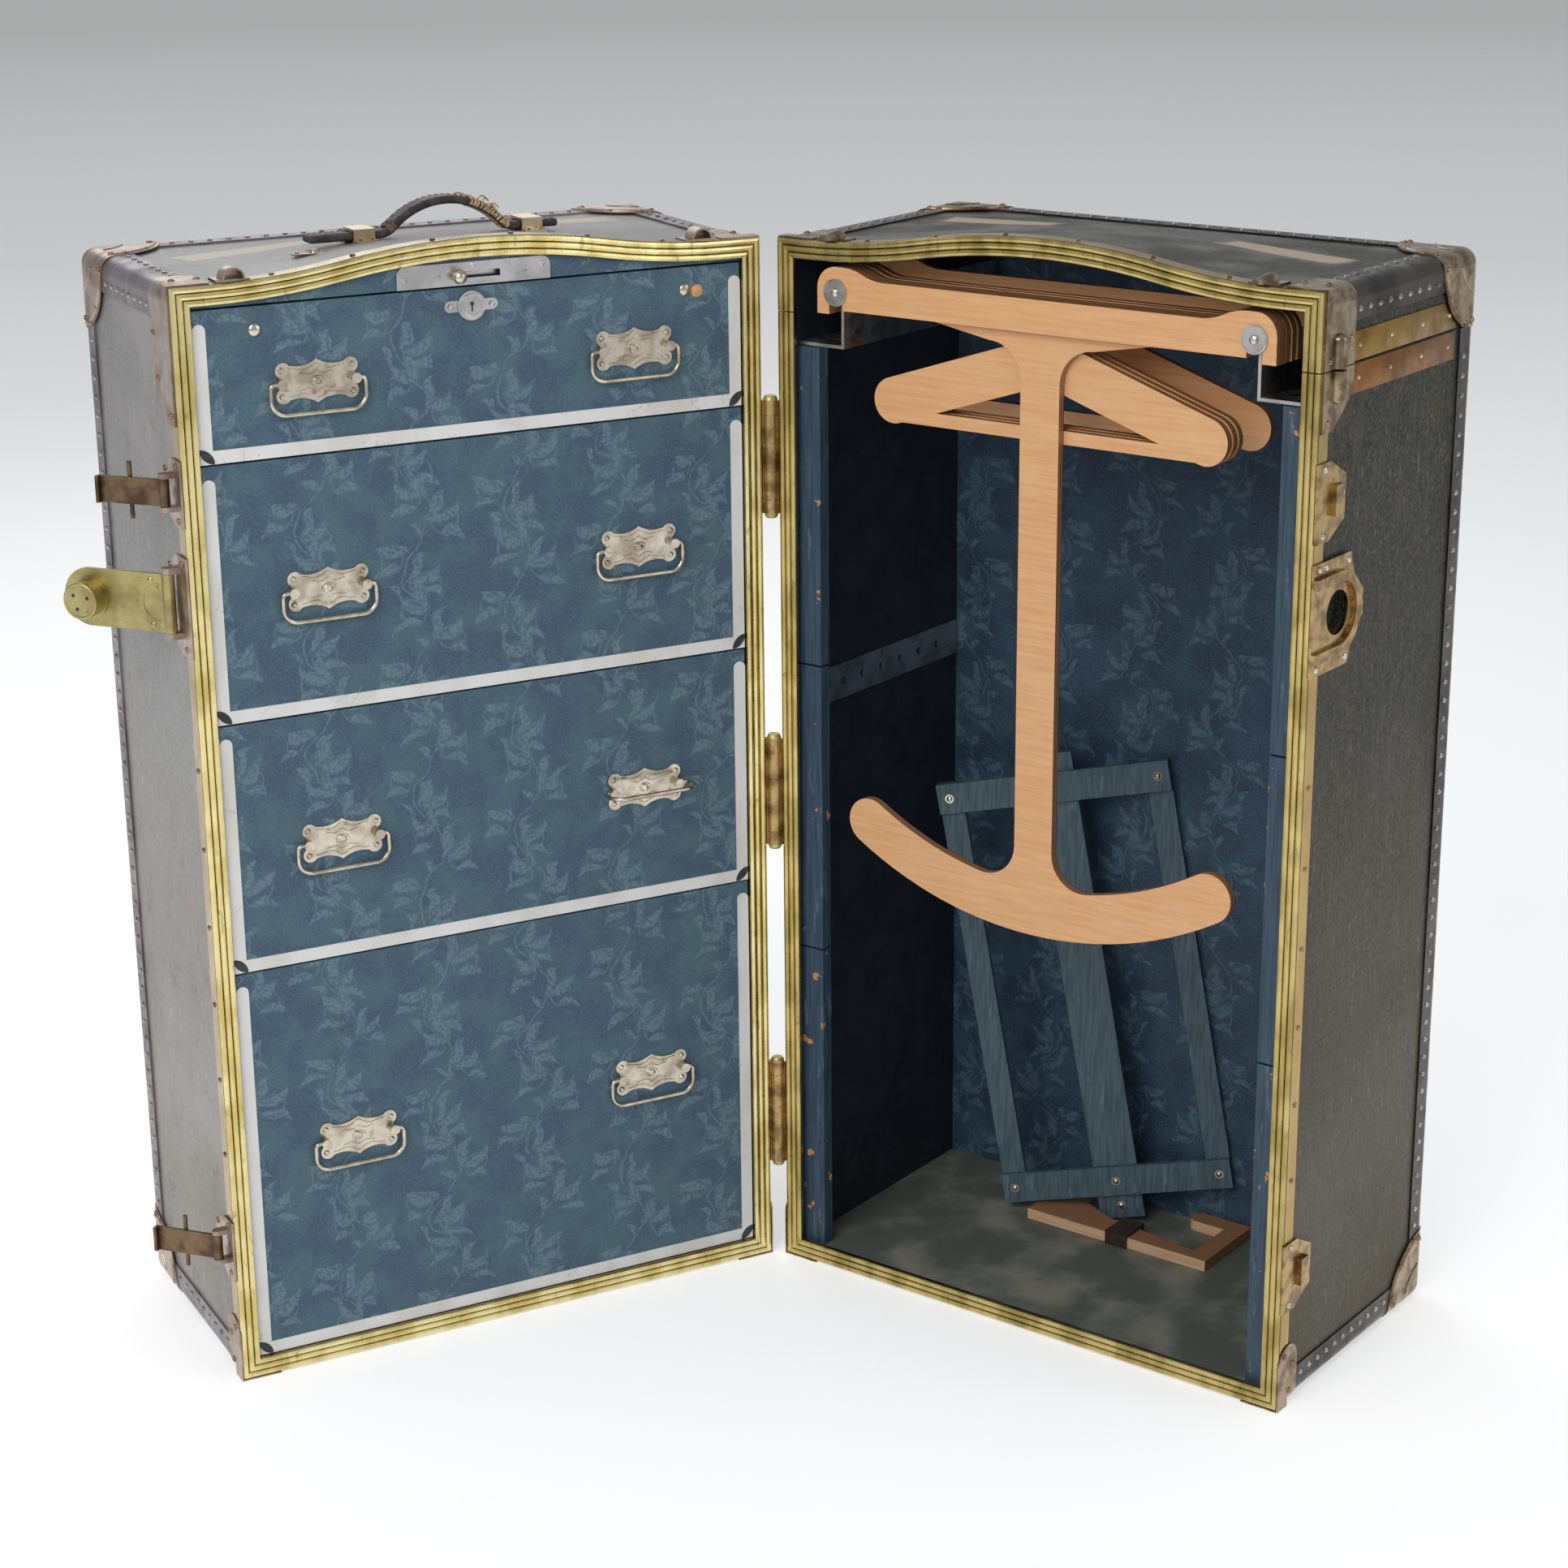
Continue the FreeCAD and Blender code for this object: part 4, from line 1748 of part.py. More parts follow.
def anchor_underside():
    """The right side of the anchor: flare, stem and bow, ending at the middle of the bow."""
    low = size.bar_bottom
    stem, fillet, flare = size.stem_half_width, size.bow_fillet, size.flare_radius
    centre = size.bow_low + size.bow_radius
    upper = size.bow_radius - size.bow_half_width
    lower = size.bow_radius + size.bow_half_width
    fillet_across = stem + fillet
    fillet_drop = root((upper - fillet) * (upper - fillet) - fillet_across * fillet_across)
    ratio = upper / (upper - fillet)
    tip_drop = root(size.bow_radius * size.bow_radius - size.bow_tip * size.bow_tip)
    inner_tip = (size.bow_tip * upper / size.bow_radius,
                 centre - tip_drop * upper / size.bow_radius)
    outer_tip = (size.bow_tip * lower / size.bow_radius,
                 centre - tip_drop * lower / size.bow_radius)
    return [
        (size.flare_run, low), (stem + flare, low - size.flare_drop, -flare),
        (stem, low - size.flare_drop - flare), (stem, centre - fillet_drop, -fillet),
        (fillet_across * ratio, centre - fillet_drop * ratio, -upper),
        inner_tip + (HALF_ROUND,), outer_tip + (lower,), (as_size(0), centre - lower, lower),
    ]


def build_follower():
    """The retainer bar, its washers and the anchor, which slide along the rails together."""
    half = hanger_half
    front = size.retainer_deep
    rear = front + size.retainer_thickness
    straight = half.front_prism("retainer", bar_shape([]), front, rear)
    part("retainer_bar", [straight], swung=True)
    washers = []
    up = size.bar_bottom + size.bar_height + size.bar_ear_rise - size.washer_drop
    for label, side in SIDES:
        across = size.rail_spacing * side
        washer = half.rod_deep("washer_" + label, across, front - size.washer_thickness, up,
                               size.washer_radius, size.washer_thickness)
        rivet = half.rod_deep("rivet_" + label, across,
                              front - size.washer_thickness - size.rivet_head, up,
                              size.rivet_radius, size.rivet_head)
        washers.append(fuse("washers_" + label, washer, rivet))
    part("retainer_washers", washers, swung=True)
    right = bar_foot() + anchor_underside()
    left = [(-c[0],) + tuple(c[1:]) for c in backwards_plain(right)]
    shape = bar_top() + right[:-1] + left
    part("garment_anchor", [half.front_prism("anchor", shape, rear,
                                             rear + size.anchor_thickness)], swung=True)


def shoulder(name, side, front, rear):
    """One sloping arm of a hanger with round ends."""
    run = size.shoulder_outer - size.shoulder_inner
    fall = size.shoulder_top - size.shoulder_low
    length = root(run * run + fall * fall)
    out = size.shoulder_half_width * fall / length
    rise = size.shoulder_half_width * run / length
    shape = [((size.shoulder_inner + out) * side, size.shoulder_top + rise),
             ((size.shoulder_outer + out) * side, size.shoulder_low + rise, HALF_ROUND),
             ((size.shoulder_outer - out) * side, size.shoulder_low - rise),
             ((size.shoulder_inner - out) * side, size.shoulder_top - rise, HALF_ROUND)]
    return hanger_half.front_prism(name, shape, front, rear)


def build_hanger(number, front):
    """A hanger: bar, neck, two shoulders and a trouser bar."""
    half = hanger_half
    name = "hanger_%d" % number
    rear = front + size.hanger_thickness
    neck = half.box(name + "_neck", -size.neck_half_width, size.neck_half_width, front, rear,
                    size.shoulder_top, size.bar_bottom + size.slack)
    trouser = half.box(name + "_trouser", -size.shoulder_outer, size.shoulder_outer,
                       front, rear, size.trouser_bar_low,
                       size.trouser_bar_low + size.trouser_bar_height)
    arms = [shoulder("%s_%s" % (name, label), side, front, rear) for label, side in SIDES]
    bar = half.front_prism(name + "_bar", bar_shape([]), front, rear)
    part(name, [fuse(name + "_whole", bar, neck, trouser, *arms)], swung=True)


def build_hangers():
    front = size.retainer_deep + size.retainer_thickness + size.anchor_thickness + size.layer_gap
    for number in range(1, 4):
        build_hanger(number, front + size.hanger_pitch * (number - 1))
    build_hanger(4, size.last_hanger_deep)


def build_rack():
    """A slat rack that stands loose in the hanger half, leaning on its back wall."""
    half = hanger_half
    thick, rail = size.rack_slat_thickness, size.rack_rail_width
    reach = size.rack_rail_length / 2
    side_low = size.rack_rail_low - rail / 2
    side_length = size.rack_rail_high - size.rack_rail_low + rail
    slats = [box("rack_slat_middle", -size.rack_middle_width / 2, -thick, 0,
                 size.rack_middle_width, thick, size.rack_height),
             box("rack_slat_left", -reach, -thick, side_low, size.rack_side_width, thick,
                 side_length),
             box("rack_slat_right", reach - size.rack_side_width, -thick, side_low,
                 size.rack_side_width, thick, side_length)]
    for label, up in (("low", size.rack_rail_low), ("high", size.rack_rail_high)):
        slats.append(box("rack_rail_" + label, -reach, 0, up - rail / 2,
                         size.rack_rail_length, thick, rail))
    tongue_width, tongue = size.rack_tongue_width, size.rack_tongue_thickness
    slats.append(box("rack_tongue", -tongue_width / 2, -thick / 2 - tongue / 2, size.rack_height,
                     tongue_width, tongue, size.rack_tongue))
    # the rear edge of one outer slat stands against the back wall, all the way up
    turned = reach * cosine(size.rack_turn) - side_low * sine(size.rack_turn)
    leant = (side_low * cosine(size.rack_turn) + reach * sine(size.rack_turn)
             ) * sine(size.rack_lean) + thick * cosine(size.rack_lean)
    foot_deep = (half.depth - size.binding_thickness - size.wall_thickness - size.slack
                 - turned * sine(size.rack_skew) - leant * cosine(size.rack_skew))
    foot_height = (floor_inside + size.slack + thick * sine(size.rack_lean)
                   + size.rack_middle_width / 2 * sine(size.rack_turn))
    rack = group("rack_slats", slats)
    rack.setExpression("Placement", (
        "placement(vector(%s; %s; %s); rotation(vector(0; 0; 1); %s))"
        " * placement(vector(0; 0; 0); rotation(vector(1; 0; 0); %s))"
        " * placement(vector(0; 0; 0); rotation(vector(0; 1; 0); %s))") % (
        half.x(size.rack_across).text, half.y(foot_deep).text,
        foot_height.text,
        size.rack_skew.text, size.rack_lean.text, size.rack_turn.text))
    part("slat_rack", [rack], swung=True)


def build_board():
    """A loose board on the floor, with a cut-out in its rear edge and a leather strap."""
    half = hanger_half
    low = floor_inside + size.slack
    high = low + size.board_thickness
    left, right = size.board_left, size.board_right
    front, rear = size.board_front, size.board_rear
    arm, hook = size.board_arm, size.board_arm_rear
    block = right - size.board_block
    bar = front + size.board_bar
    haunch = block - size.board_haunch
    tip, corner = left + size.board_hook, arm / 2
    shape = [(left, hook), (left, front), (right, front), (right, rear - corner, corner),
             (right - corner, rear), (block + corner, rear, corner), (block, rear - corner),
             (block, bar + size.board_haunch_height * 2),
             (haunch, bar + size.board_haunch_height), (left + arm, bar),
             (left + arm, hook - arm), (tip - corner, hook - arm, corner),
             (tip, hook - corner, corner), (tip - corner, hook)]
    part("loose_board", [half.floor_prism("board", shape, low, high)], swung=True)
    middle, reach = size.board_strap_across, size.board_strap_width / 2
    deep = bar + size.board_haunch_height
    over = half.box("board_strap_over", middle - reach, middle + reach,
                    front - size.board_strap_thickness, deep + size.board_strap_thickness,
                    high, high + size.board_strap_thickness)
    nose = half.box("board_strap_nose", middle - reach, middle + reach,
                    front - size.board_strap_thickness, front, low, high)
    tail = half.box("board_strap_tail", middle - reach, middle + reach,
                    deep, deep + size.board_strap_thickness, low, high)
    part("board_strap", [fuse("board_strap_whole", over, nose, tail)], swung=True)


# ------------------------------------------------------------------------- build and write

def check_and_write():
    doc.recompute()
    for thing in doc.Objects:
        if "Invalid" in thing.State or "Error" in thing.State:
            raise RuntimeError("%s failed: %s" % (thing.Name, thing.State))
    for whole in parts:
        if whole.Shape.isNull() or not whole.Shape.isValid() or not whole.Shape.Solids:
            raise RuntimeError("%s has no valid shape" % whole.Label)
    os.makedirs("parts", exist_ok=True)
    triangles = 0
    for whole in parts:
        whole.Shape.exportStep(os.path.join("parts", whole.Label + ".step"))
        facets = len(whole.Shape.tessellate(0.5)[1])
        triangles += facets
        extent = whole.Shape.BoundBox
        print("%-26s %2d solids %6d triangles  x %7.1f..%7.1f  y %7.1f..%7.1f  z %7.1f..%7.1f" % (
            whole.Label, len(whole.Shape.Solids), facets, extent.XMin, extent.XMax,
            extent.YMin, extent.YMax, extent.ZMin, extent.ZMax))
    print("%d sub-parts, %d triangles" % (len(parts), triangles))


build_drawer_half_case()
build_hanger_half_case()
build_trunk_hinges()
build_drawers()
build_drawer_lock()
build_fascia()
build_handle()
build_latches()
build_rails()
build_battens()
build_follower()
build_hangers()
build_rack()
build_board()
check_and_write()
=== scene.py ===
"""Looks of the wardrobe trunk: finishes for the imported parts, the small metalwork, and the stage.

Lengths in this file are millimetres in the trunk's own terms.  A place on either half is given
as across (from the middle, positive to the hinge side), deep (from the opening plane inwards)
and up (from the floor); DRAWER_HALF and HANGER_HALF turn it into the frame, in metres.
"""
import math
import random

import bmesh
import bpy
from mathutils import Matrix, Vector


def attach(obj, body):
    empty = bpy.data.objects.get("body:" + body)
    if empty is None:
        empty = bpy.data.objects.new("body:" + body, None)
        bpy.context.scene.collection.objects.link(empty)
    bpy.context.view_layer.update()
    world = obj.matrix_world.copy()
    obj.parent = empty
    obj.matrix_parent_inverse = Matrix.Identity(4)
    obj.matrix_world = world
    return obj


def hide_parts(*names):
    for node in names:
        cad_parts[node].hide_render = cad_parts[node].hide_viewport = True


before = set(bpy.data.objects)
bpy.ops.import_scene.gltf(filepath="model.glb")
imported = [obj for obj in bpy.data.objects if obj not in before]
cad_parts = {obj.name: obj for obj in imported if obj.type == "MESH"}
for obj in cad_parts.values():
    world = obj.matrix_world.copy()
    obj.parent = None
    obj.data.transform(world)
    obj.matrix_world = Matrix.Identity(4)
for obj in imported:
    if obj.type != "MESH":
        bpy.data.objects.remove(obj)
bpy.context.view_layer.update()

bl_info = {
    "name": "Wardrobe Trunk Looks",
    "version": (1, 0, 0),
    "blender": (4, 5, 0),
    "location": "3D View > Sidebar > Trunk",
    "description": "Finishes, nails, bands and small metalwork for a standing wardrobe trunk",
    "category": "Object",
}

# ------------------------------------------------------------------------ places and sizes

MM = 0.001
HINGE_AXIS = Vector((284.7, -134.0, 0.0))
OPEN_ANGLE = math.radians(115.4)
OPENING = 133.5                  # middle of the drawer half to its opening plane
PARTING = 1.0                    # gap between the halves when shut
SIDE = 276.5                     # outer face of the bindings, across
TOP, FLOOR = 1016.0, 1.2         # faces of the level bindings
DRAWER_DEPTH, HANGER_DEPTH = 267.0, 291.0
SEAM = 949.5
CAP = 1.2                        # thickness of caps and corner plates
CAMBER_FOOT, CAMBER_RISE = 245.0, 21.5
CAMBER_RADIUS = CAMBER_FOOT ** 2 / (4 * CAMBER_RISE) + CAMBER_RISE / 4
FRONT_FACE = 6.0                 # drawer fronts behind the opening plane
PULLS = {1: 926.0, 2: 743.0, 3: 511.0, 4: 221.0}
FRONTS = {1: (863.0, 994.0), 2: (632.0, 861.0), 3: (400.0, 630.0), 4: (20.0, 398.0)}
NAIL_INSET = 22.0                # outer edge of a binding to its nails
ROW_END = 80.0                   # outer corner to where a row of nails ends
CATCH_LEVELS, HASP_LEVEL = (840.0, 132.0), 740.0


def half_matrix(swung):
    """From across, deep and up in millimetres to the frame in metres."""
    if swung:
        shut = Matrix.Translation((0, -OPENING - PARTING, 0)) @ Matrix.Diagonal((1, -1, 1, 1))
        turn = (Matrix.Translation(HINGE_AXIS) @ Matrix.Rotation(OPEN_ANGLE, 4, "Z")
                @ Matrix.Translation(-HINGE_AXIS))
        placed = turn @ shut
    else:
        placed = Matrix.Translation((0, -OPENING, 0))
    return Matrix.Scale(MM, 4) @ placed


DRAWER_HALF, HANGER_HALF = half_matrix(False), half_matrix(True)
SWUNG_BODIES = ("hanger_half", "lid", "slat_rack", "follower")


def camber(across):
    """Rise of the front edge of the top over its level part."""
    x = abs(across)
    if x >= CAMBER_FOOT:
        return 0.0
    if x > CAMBER_FOOT / 2:
        return CAMBER_RADIUS - math.sqrt(CAMBER_RADIUS ** 2 - (CAMBER_FOOT - x) ** 2)
    return CAMBER_RISE - CAMBER_RADIUS + math.sqrt(CAMBER_RADIUS ** 2 - x ** 2)


# --------------------------------------------------------------------------------- meshes

def turned(profile, segments):
    """A round solid from its (radius, height) profile, which starts and ends on the axis."""
    bm = bmesh.new()
    verts = [bm.verts.new((radius, 0, height)) for radius, height in profile]
    edges = [bm.edges.new(pair) for pair in zip(verts, verts[1:])]
    bmesh.ops.spin(bm, geom=verts + edges, cent=(0, 0, 0), axis=(0, 0, 1), angle=math.tau,
                   steps=segments, use_merge=True)
    bmesh.ops.remove_doubles(bm, verts=bm.verts, dist=1e-4)
    bmesh.ops.recalc_face_normals(bm, faces=bm.faces)
    return bm


def eased(bm, edges, offset, segments):
    """Rounds edges over."""
    bmesh.ops.bevel(bm, geom=edges, offset=offset, offset_type="OFFSET", affect="EDGES",
                    segments=segments, profile=0.5, material=-1)
    return bm


def slab(low, high, bevel=0.3, segments=2):
    """A block between two corners with eased edges."""
    low, high = Vector(low), Vector(high)
    bm = bmesh.new()
    bmesh.ops.create_cube(bm, size=1, matrix=Matrix.LocRotScale(
        (low + high) / 2, None, high - low))
    return eased(bm, bm.edges[:], bevel, segments)


def cut_plate(corners, thickness, bevel):
    """A flat plate from its outline in x and y, rising from z 0 to an eased rim."""
    bm = bmesh.new()
    face = bm.faces.new([bm.verts.new((x, y, 0)) for x, y in corners])
    made = bmesh.ops.extrude_face_region(bm, geom=[face])
    rim = [v for v in made["geom"] if isinstance(v, bmesh.types.BMVert)]
    bmesh.ops.translate(bm, verts=rim, vec=(0, 0, thickness))
    bmesh.ops.recalc_face_normals(bm, faces=bm.faces)
    return eased(bm, [e for e in bm.edges if all(v in rim for v in e.verts)], bevel, 1)


def cut_across(bm, x):
    """New edges round a solid where the plane at x meets it."""
    bmesh.ops.bisect_plane(bm, geom=bm.verts[:] + bm.edges[:] + bm.faces[:],
                           plane_co=(x, 0, 0), plane_no=(1, 0, 0))


def merged(shapes):
    """Several bmeshes in one."""
    whole = bmesh.new()
    carrier = bpy.data.meshes.new("carrier")
    for shape in shapes:
        shape.to_mesh(carrier)
        whole.from_mesh(carrier)
        shape.free()
    bpy.data.meshes.remove(carrier)
    return whole


def stamped(pattern, matrices):
    """One copy of a small bmesh at each matrix."""
    whole = merged(placed(pattern.copy(), matrix) for matrix in matrices)
    pattern.free()
    return whole


def placed(bm, matrix):
    """The same bmesh, moved."""
    bmesh.ops.transform(bm, matrix=matrix, verts=bm.verts)
    return bm


def facing(point, direction, spin=0.0):
    """Turns +Z to a direction at a point."""
    turn = Vector((0, 0, 1)).rotation_difference(Vector(direction)).to_matrix().to_4x4()
    return Matrix.Translation(point) @ turn @ Matrix.Rotation(spin, 4, "Z")


def add_object(name, data):
    """A new object in the scene."""
    thing = bpy.data.objects.new(name, data)
    bpy.context.scene.collection.objects.link(thing)
    return thing


def piece(name, bm, body, finish_name, crease=35.0, half=None):
    """Hands a bmesh over as a finished piece that rides on a body."""
    if half is None:
        half = HANGER_HALF if body in SWUNG_BODIES else DRAWER_HALF
    placed(bm, half)
    bmesh.ops.recalc_face_normals(bm, faces=bm.faces)
    mesh = bpy.data.meshes.new(name)
    bm.to_mesh(mesh)
    bm.free()
    mesh.shade_smooth()
    mesh.set_sharp_from_angle(angle=math.radians(crease))
    mesh.materials.append(finish(finish_name))
    thing = add_object(name, mesh)
    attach(thing, body)
    return thing


def heads(name, profile, segments, spots, body, finish_name, seat=Matrix()):
    """One piece with a round head at each (place, way out) of its spots."""
    stamps = [seat @ facing(place, out) for place, out in spots]
    return piece(name, stamped(turned(profile, segments), stamps), body, finish_name)


def row(start, end, pitch):
    """Places at an even pitch from start to end."""
    start, end = Vector(start), Vector(end)
    steps = max(1, round((end - start).length / pitch))
    return [start.lerp(end, step / steps) for step in range(steps + 1)]


# --------------------------------------------------------------------------------- colours

def rgb(red, green, blue):
    """A screen colour as a linear one."""
    linear = [c / 255 / 12.92 if c <= 10 else ((c / 255 + 0.055) / 1.055) ** 2.4
              for c in (red, green, blue)]
    return (*linear, 1.0)


class Surface:
    """A material, with short ways to add to its node tree."""

    def __init__(self, name, rough):
        self.material = bpy.data.materials.new(name)
        self.material.use_nodes = True
        self.tree = self.material.node_tree
        self.shader = self.tree.nodes["Principled BSDF"]
        self.set("Roughness", rough)

    def set(self, name, value):
        self.feed(self.shader.inputs[name], value)

    def node(self, kind, links=None, **settings):
        made = self.tree.nodes.new("ShaderNode" + kind)
        for key, value in settings.items():
            setattr(made, key, value)
        for key, value in (links or {}).items():
            self.feed(made.inputs[key], value)
        return made

    def feed(self, socket, value):
        if isinstance(value, bpy.types.NodeSocket):
            self.tree.links.new(value, socket)
        else:
            socket.default_value = value

    def math(self, operation, *values):
        made = self.node("Math", operation=operation)
        for socket, value in zip(made.inputs, values):
            self.feed(socket, value)
        return made.outputs[0]

    def ease(self, value, low, high, bottom=0.0, top=1.0, how="SMOOTHSTEP"):
        """Rises from bottom to top as value goes from low to high."""
        return self.node("MapRange", {"Value": value, "From Min": low, "From Max": high,
                                      "To Min": bottom, "To Max": top},
                         interpolation_type=how).outputs["Result"]

    def blend(self, share, first, second):
        return self.node("Mix", {0: share, 6: first, 7: second}, data_type="RGBA").outputs[2]

    def done(self, colour, rough=None):
        self.set("Base Color", colour)
        if rough is not None:
            self.set("Roughness", rough)
        return self.material


class Finish(Surface):
    """A material built on the millimetres of one half of the trunk."""

    def __init__(self, name, swung=False, rough=0.5, metal=0.0, coat=0.0):
        super().__init__(name, rough)
        self.set("Metallic", metal)
        if coat:
            self.set("Coat Weight", coat)
            self.set("Coat Roughness", 0.2)
        self.coords = self.node("TexCoord")
        local = self.node("Mapping", {"Vector": self.coords.outputs["Object"],
                                      "Location": HINGE_AXIS * MM,
                                      "Rotation": (0, 0, OPEN_ANGLE if swung else 0),
                                      "Scale": (MM, MM, MM)}, vector_type="TEXTURE")
        self.place = local.outputs["Vector"]
        apart = self.node("SeparateXYZ", {"Vector": self.place})
        self.across = self.math("ADD", apart.outputs["X"], HINGE_AXIS.x)
        self.deep = self.math("SUBTRACT", self.math("ABSOLUTE", apart.outputs["Y"]), PARTING / 2)
        self.up = apart.outputs["Z"]
        self.swung = swung

    def noise(self, size, detail=3.0, rough=0.5):
        """Noise whose marks have a size along across, deep and up."""
        size = size if isinstance(size, tuple) else (size, size, size)
        scaled = self.node("Mapping", {"Vector": self.place,
                                       "Scale": tuple(1 / s for s in size)})
        return self.node("TexNoise", {"Vector": scaled.outputs["Vector"], "Scale": 1.0,
                                      "Detail": detail, "Roughness": rough}).outputs["Fac"]

    def patchy(self, size, detail, low, high, bottom=0.0, top=1.0, rough=0.5):
        """Noise of a size, eased from bottom to top."""
        return self.ease(self.noise(size, detail, rough), low, high, bottom, top)

    def fitted(self, spot, middle, turn, reach):
        """A place as x and y in a frame with its own middle, turn and reach."""
        frame_at = self.node("Mapping", {"Vector": spot, "Location": (*middle, 0),
                                         "Rotation": (0, 0, math.radians(turn)),
                                         "Scale": (*reach, 1)}, vector_type="TEXTURE")
        return self.node("SeparateXYZ", {"Vector": frame_at.outputs["Vector"]}).outputs

    def patch(self, middle, reach, turn=0.0, ragged=0.35):
        """1 inside a ragged patch on a level face and 0 round it."""
        spot = self.node("CombineXYZ", {"X": self.across, "Y": self.deep})
        apart = self.fitted(spot.outputs[0], middle, turn, reach)
        far = self.math("MAXIMUM", self.math("ABSOLUTE", apart["X"]),
                        self.math("ABSOLUTE", apart["Y"]))
        edge = self.math("ADD", far, self.math("MULTIPLY", self.noise(14), ragged))
        return self.ease(edge, 1.05, 1.25, 1.0, 0.0)

    def face_turn(self):
        """Size of the normal's parts along across, deep and up."""
        turned_back = self.node("VectorRotate", {"Vector": self.coords.outputs["Normal"],
                                                 "Angle": -OPEN_ANGLE if self.swung else 0.0},
                                rotation_type="Z_AXIS")
        apart = self.node("SeparateXYZ", {"Vector": turned_back.outputs["Vector"]})
        return [self.math("ABSOLUTE", apart.outputs[axis]) for axis in "XYZ"]

    def bump(self, height, depth, strength=1.0):
        made = self.node("Bump", {"Height": height, "Distance": depth * MM,
                                  "Strength": strength})
        self.set("Normal", made.outputs["Normal"])


def fibre(name, swung, dark, light, scuff, low):
    """Varnished fibre sheet: cloudy, scratched, turning to its low colour towards its foot, with
    rubbed places and a painted lighter sheen on its level faces.
    """
    f = Finish(name, swung, coat=0.0 if swung else 0.12)
    f.set("Specular IOR Level", 0.12 if swung else 0.5)
    cloud = f.noise(150, 4)
    grain = f.noise((2, 2, 45), 3)
    colour = f.blend(f.ease(cloud, 0.35, 0.65), dark, light)
    # from 760 mm down to 160 mm the colour turns towards the low colour
    colour = f.blend(f.ease(f.up, 760, 160, 0.0, 0.8), colour, low)
    colour = f.blend(f.ease(grain, 0.52, 0.8, 0.0, 0.3), colour, scuff)
    nicks = f.math("MULTIPLY", f.patchy((6, 6, 15), 1, 0.66, 0.76, 0.0, 0.6),
                   f.patchy(130, 2, 0.46, 0.6))
    colour = f.blend(nicks, colour, scuff)
    colour = f.blend(f.patchy(34, 4, 0.5, 0.72, 0.0, 0.5, 0.65), colour, rgb(84, 70, 58))
    colour = f.blend(f.patchy((1.6, 1.6, 3), 2, 0.3, 0.75, 0.0, 0.35), colour, scuff)
    level = f.ease(f.face_turn()[2], 0.8, 0.95)
    rubbed = f.math("MAXIMUM", f.patch((-150, 170), (66, 17), 8),
                    f.patch((160, 196), (58, 16), -4))
    rubbed = f.math("MULTIPLY", f.math("MULTIPLY", rubbed, level), 0.85)
    # painted sheen: level faces turn lighter grey, standing in for the bright reflection on the
    # varnished top
    colour = f.blend(f.math("MULTIPLY", level, f.patchy(60, 4, 0.4, 0.66, 0.1, 0.75)),
                     colour, rgb(126, 124, 120))
    colour = f.blend(rubbed, colour, rgb(200, 182, 154))
    f.bump(f.math("ADD", f.math("MULTIPLY", f.noise(2.5, 2), 0.5), grain), 0.25, 0.6)
    return f.done(colour, f.ease(cloud, 0.3, 0.7, 0.3, 0.5))


def tarnished(name, swung, bright, dull, spot, rough, size, metal=1.0):
    """Plated metal, unevenly tarnished, with fine marks."""
    f = Finish(name, swung, metal=metal)
    colour = f.blend(f.patchy(size, 4, 0.38, 0.66), bright, dull)
    colour = f.blend(f.patchy(7, 3, 0.64, 0.74, 0.0, 0.6), colour, spot)
    f.bump(f.math("ADD", f.noise((1.2, 1.2, 9), 2), f.noise(5, 2)), 0.12, 0.5)
    return f.done(colour, f.patchy(12, 3, 0.3, 0.7, rough - 0.08, rough + 0.12))


def reeded(name, swung, bright, dull, wrapped):
    """Golden reeds with dark green tarnish in their grooves, copper where the plating is gone."""
    f = Finish(name, swung, metal=1.0)
    colour = f.blend(f.patchy((30, 30, 60), 4, 0.4, 0.66), bright, dull)
    groove = f.math("MULTIPLY", f.ease(f.deep, 0.95, 1.75), f.ease(f.deep, 2.1, 3.0, 1.0, 0.0))
    grime = f.math("MULTIPLY", groove, f.patchy(16, 3, 0.25, 0.6, 0.66, 0.95))
    colour = f.blend(grime, colour, rgb(74, 60, 28))
    colour = f.blend(f.patchy((9, 9, 26), 3, 0.62, 0.72, 0.0, 0.45), colour, rgb(120, 118, 60))
    colour = f.blend(f.patchy((7, 7, 18), 3, 0.7, 0.76, 0.0, 0.8), colour, rgb(138, 72, 40))
    colour = f.blend(f.math("MULTIPLY", f.ease(f.deep, 2.6, 4.0), 0.75), colour, wrapped)
    f.bump(f.noise((1.5, 1.5, 12), 2), 0.15, 0.5)
    return f.done(colour, f.patchy(20, 3, 0.3, 0.7, 0.17, 0.32))


def leaf(f, spot, middle, angle, length, width, curl):
    """1 on one curved, pointed leaf and 0 round it."""
    apart = f.fitted(spot, middle, angle, (length, width))
    along = f.math("MULTIPLY", apart["X"], apart["X"])
    aside = f.math("MULTIPLY_ADD", along, -curl, apart["Y"])
    return f.ease(f.math("ADD", along, f.math("ABSOLUTE", aside)), 0.55, 1.15, 1.0, 0.0)


PAPER_WIDTH, PAPER_REPEAT, STEM_SWAY = 96.0, 104.0, 15.0
# leaves at each joint of a stem: reach aside, lift, lean in degrees, length, width and curl
SPRAY = ((19, 7, 30, 17, 6.0, 1.3), (9, 17, 70, 15, 5.0, 1.0), (23, -6, -16, 13, 4.5, -1.2),
         (-8, 1, 128, 9, 3.6, 0.9))
JOINTS = 4


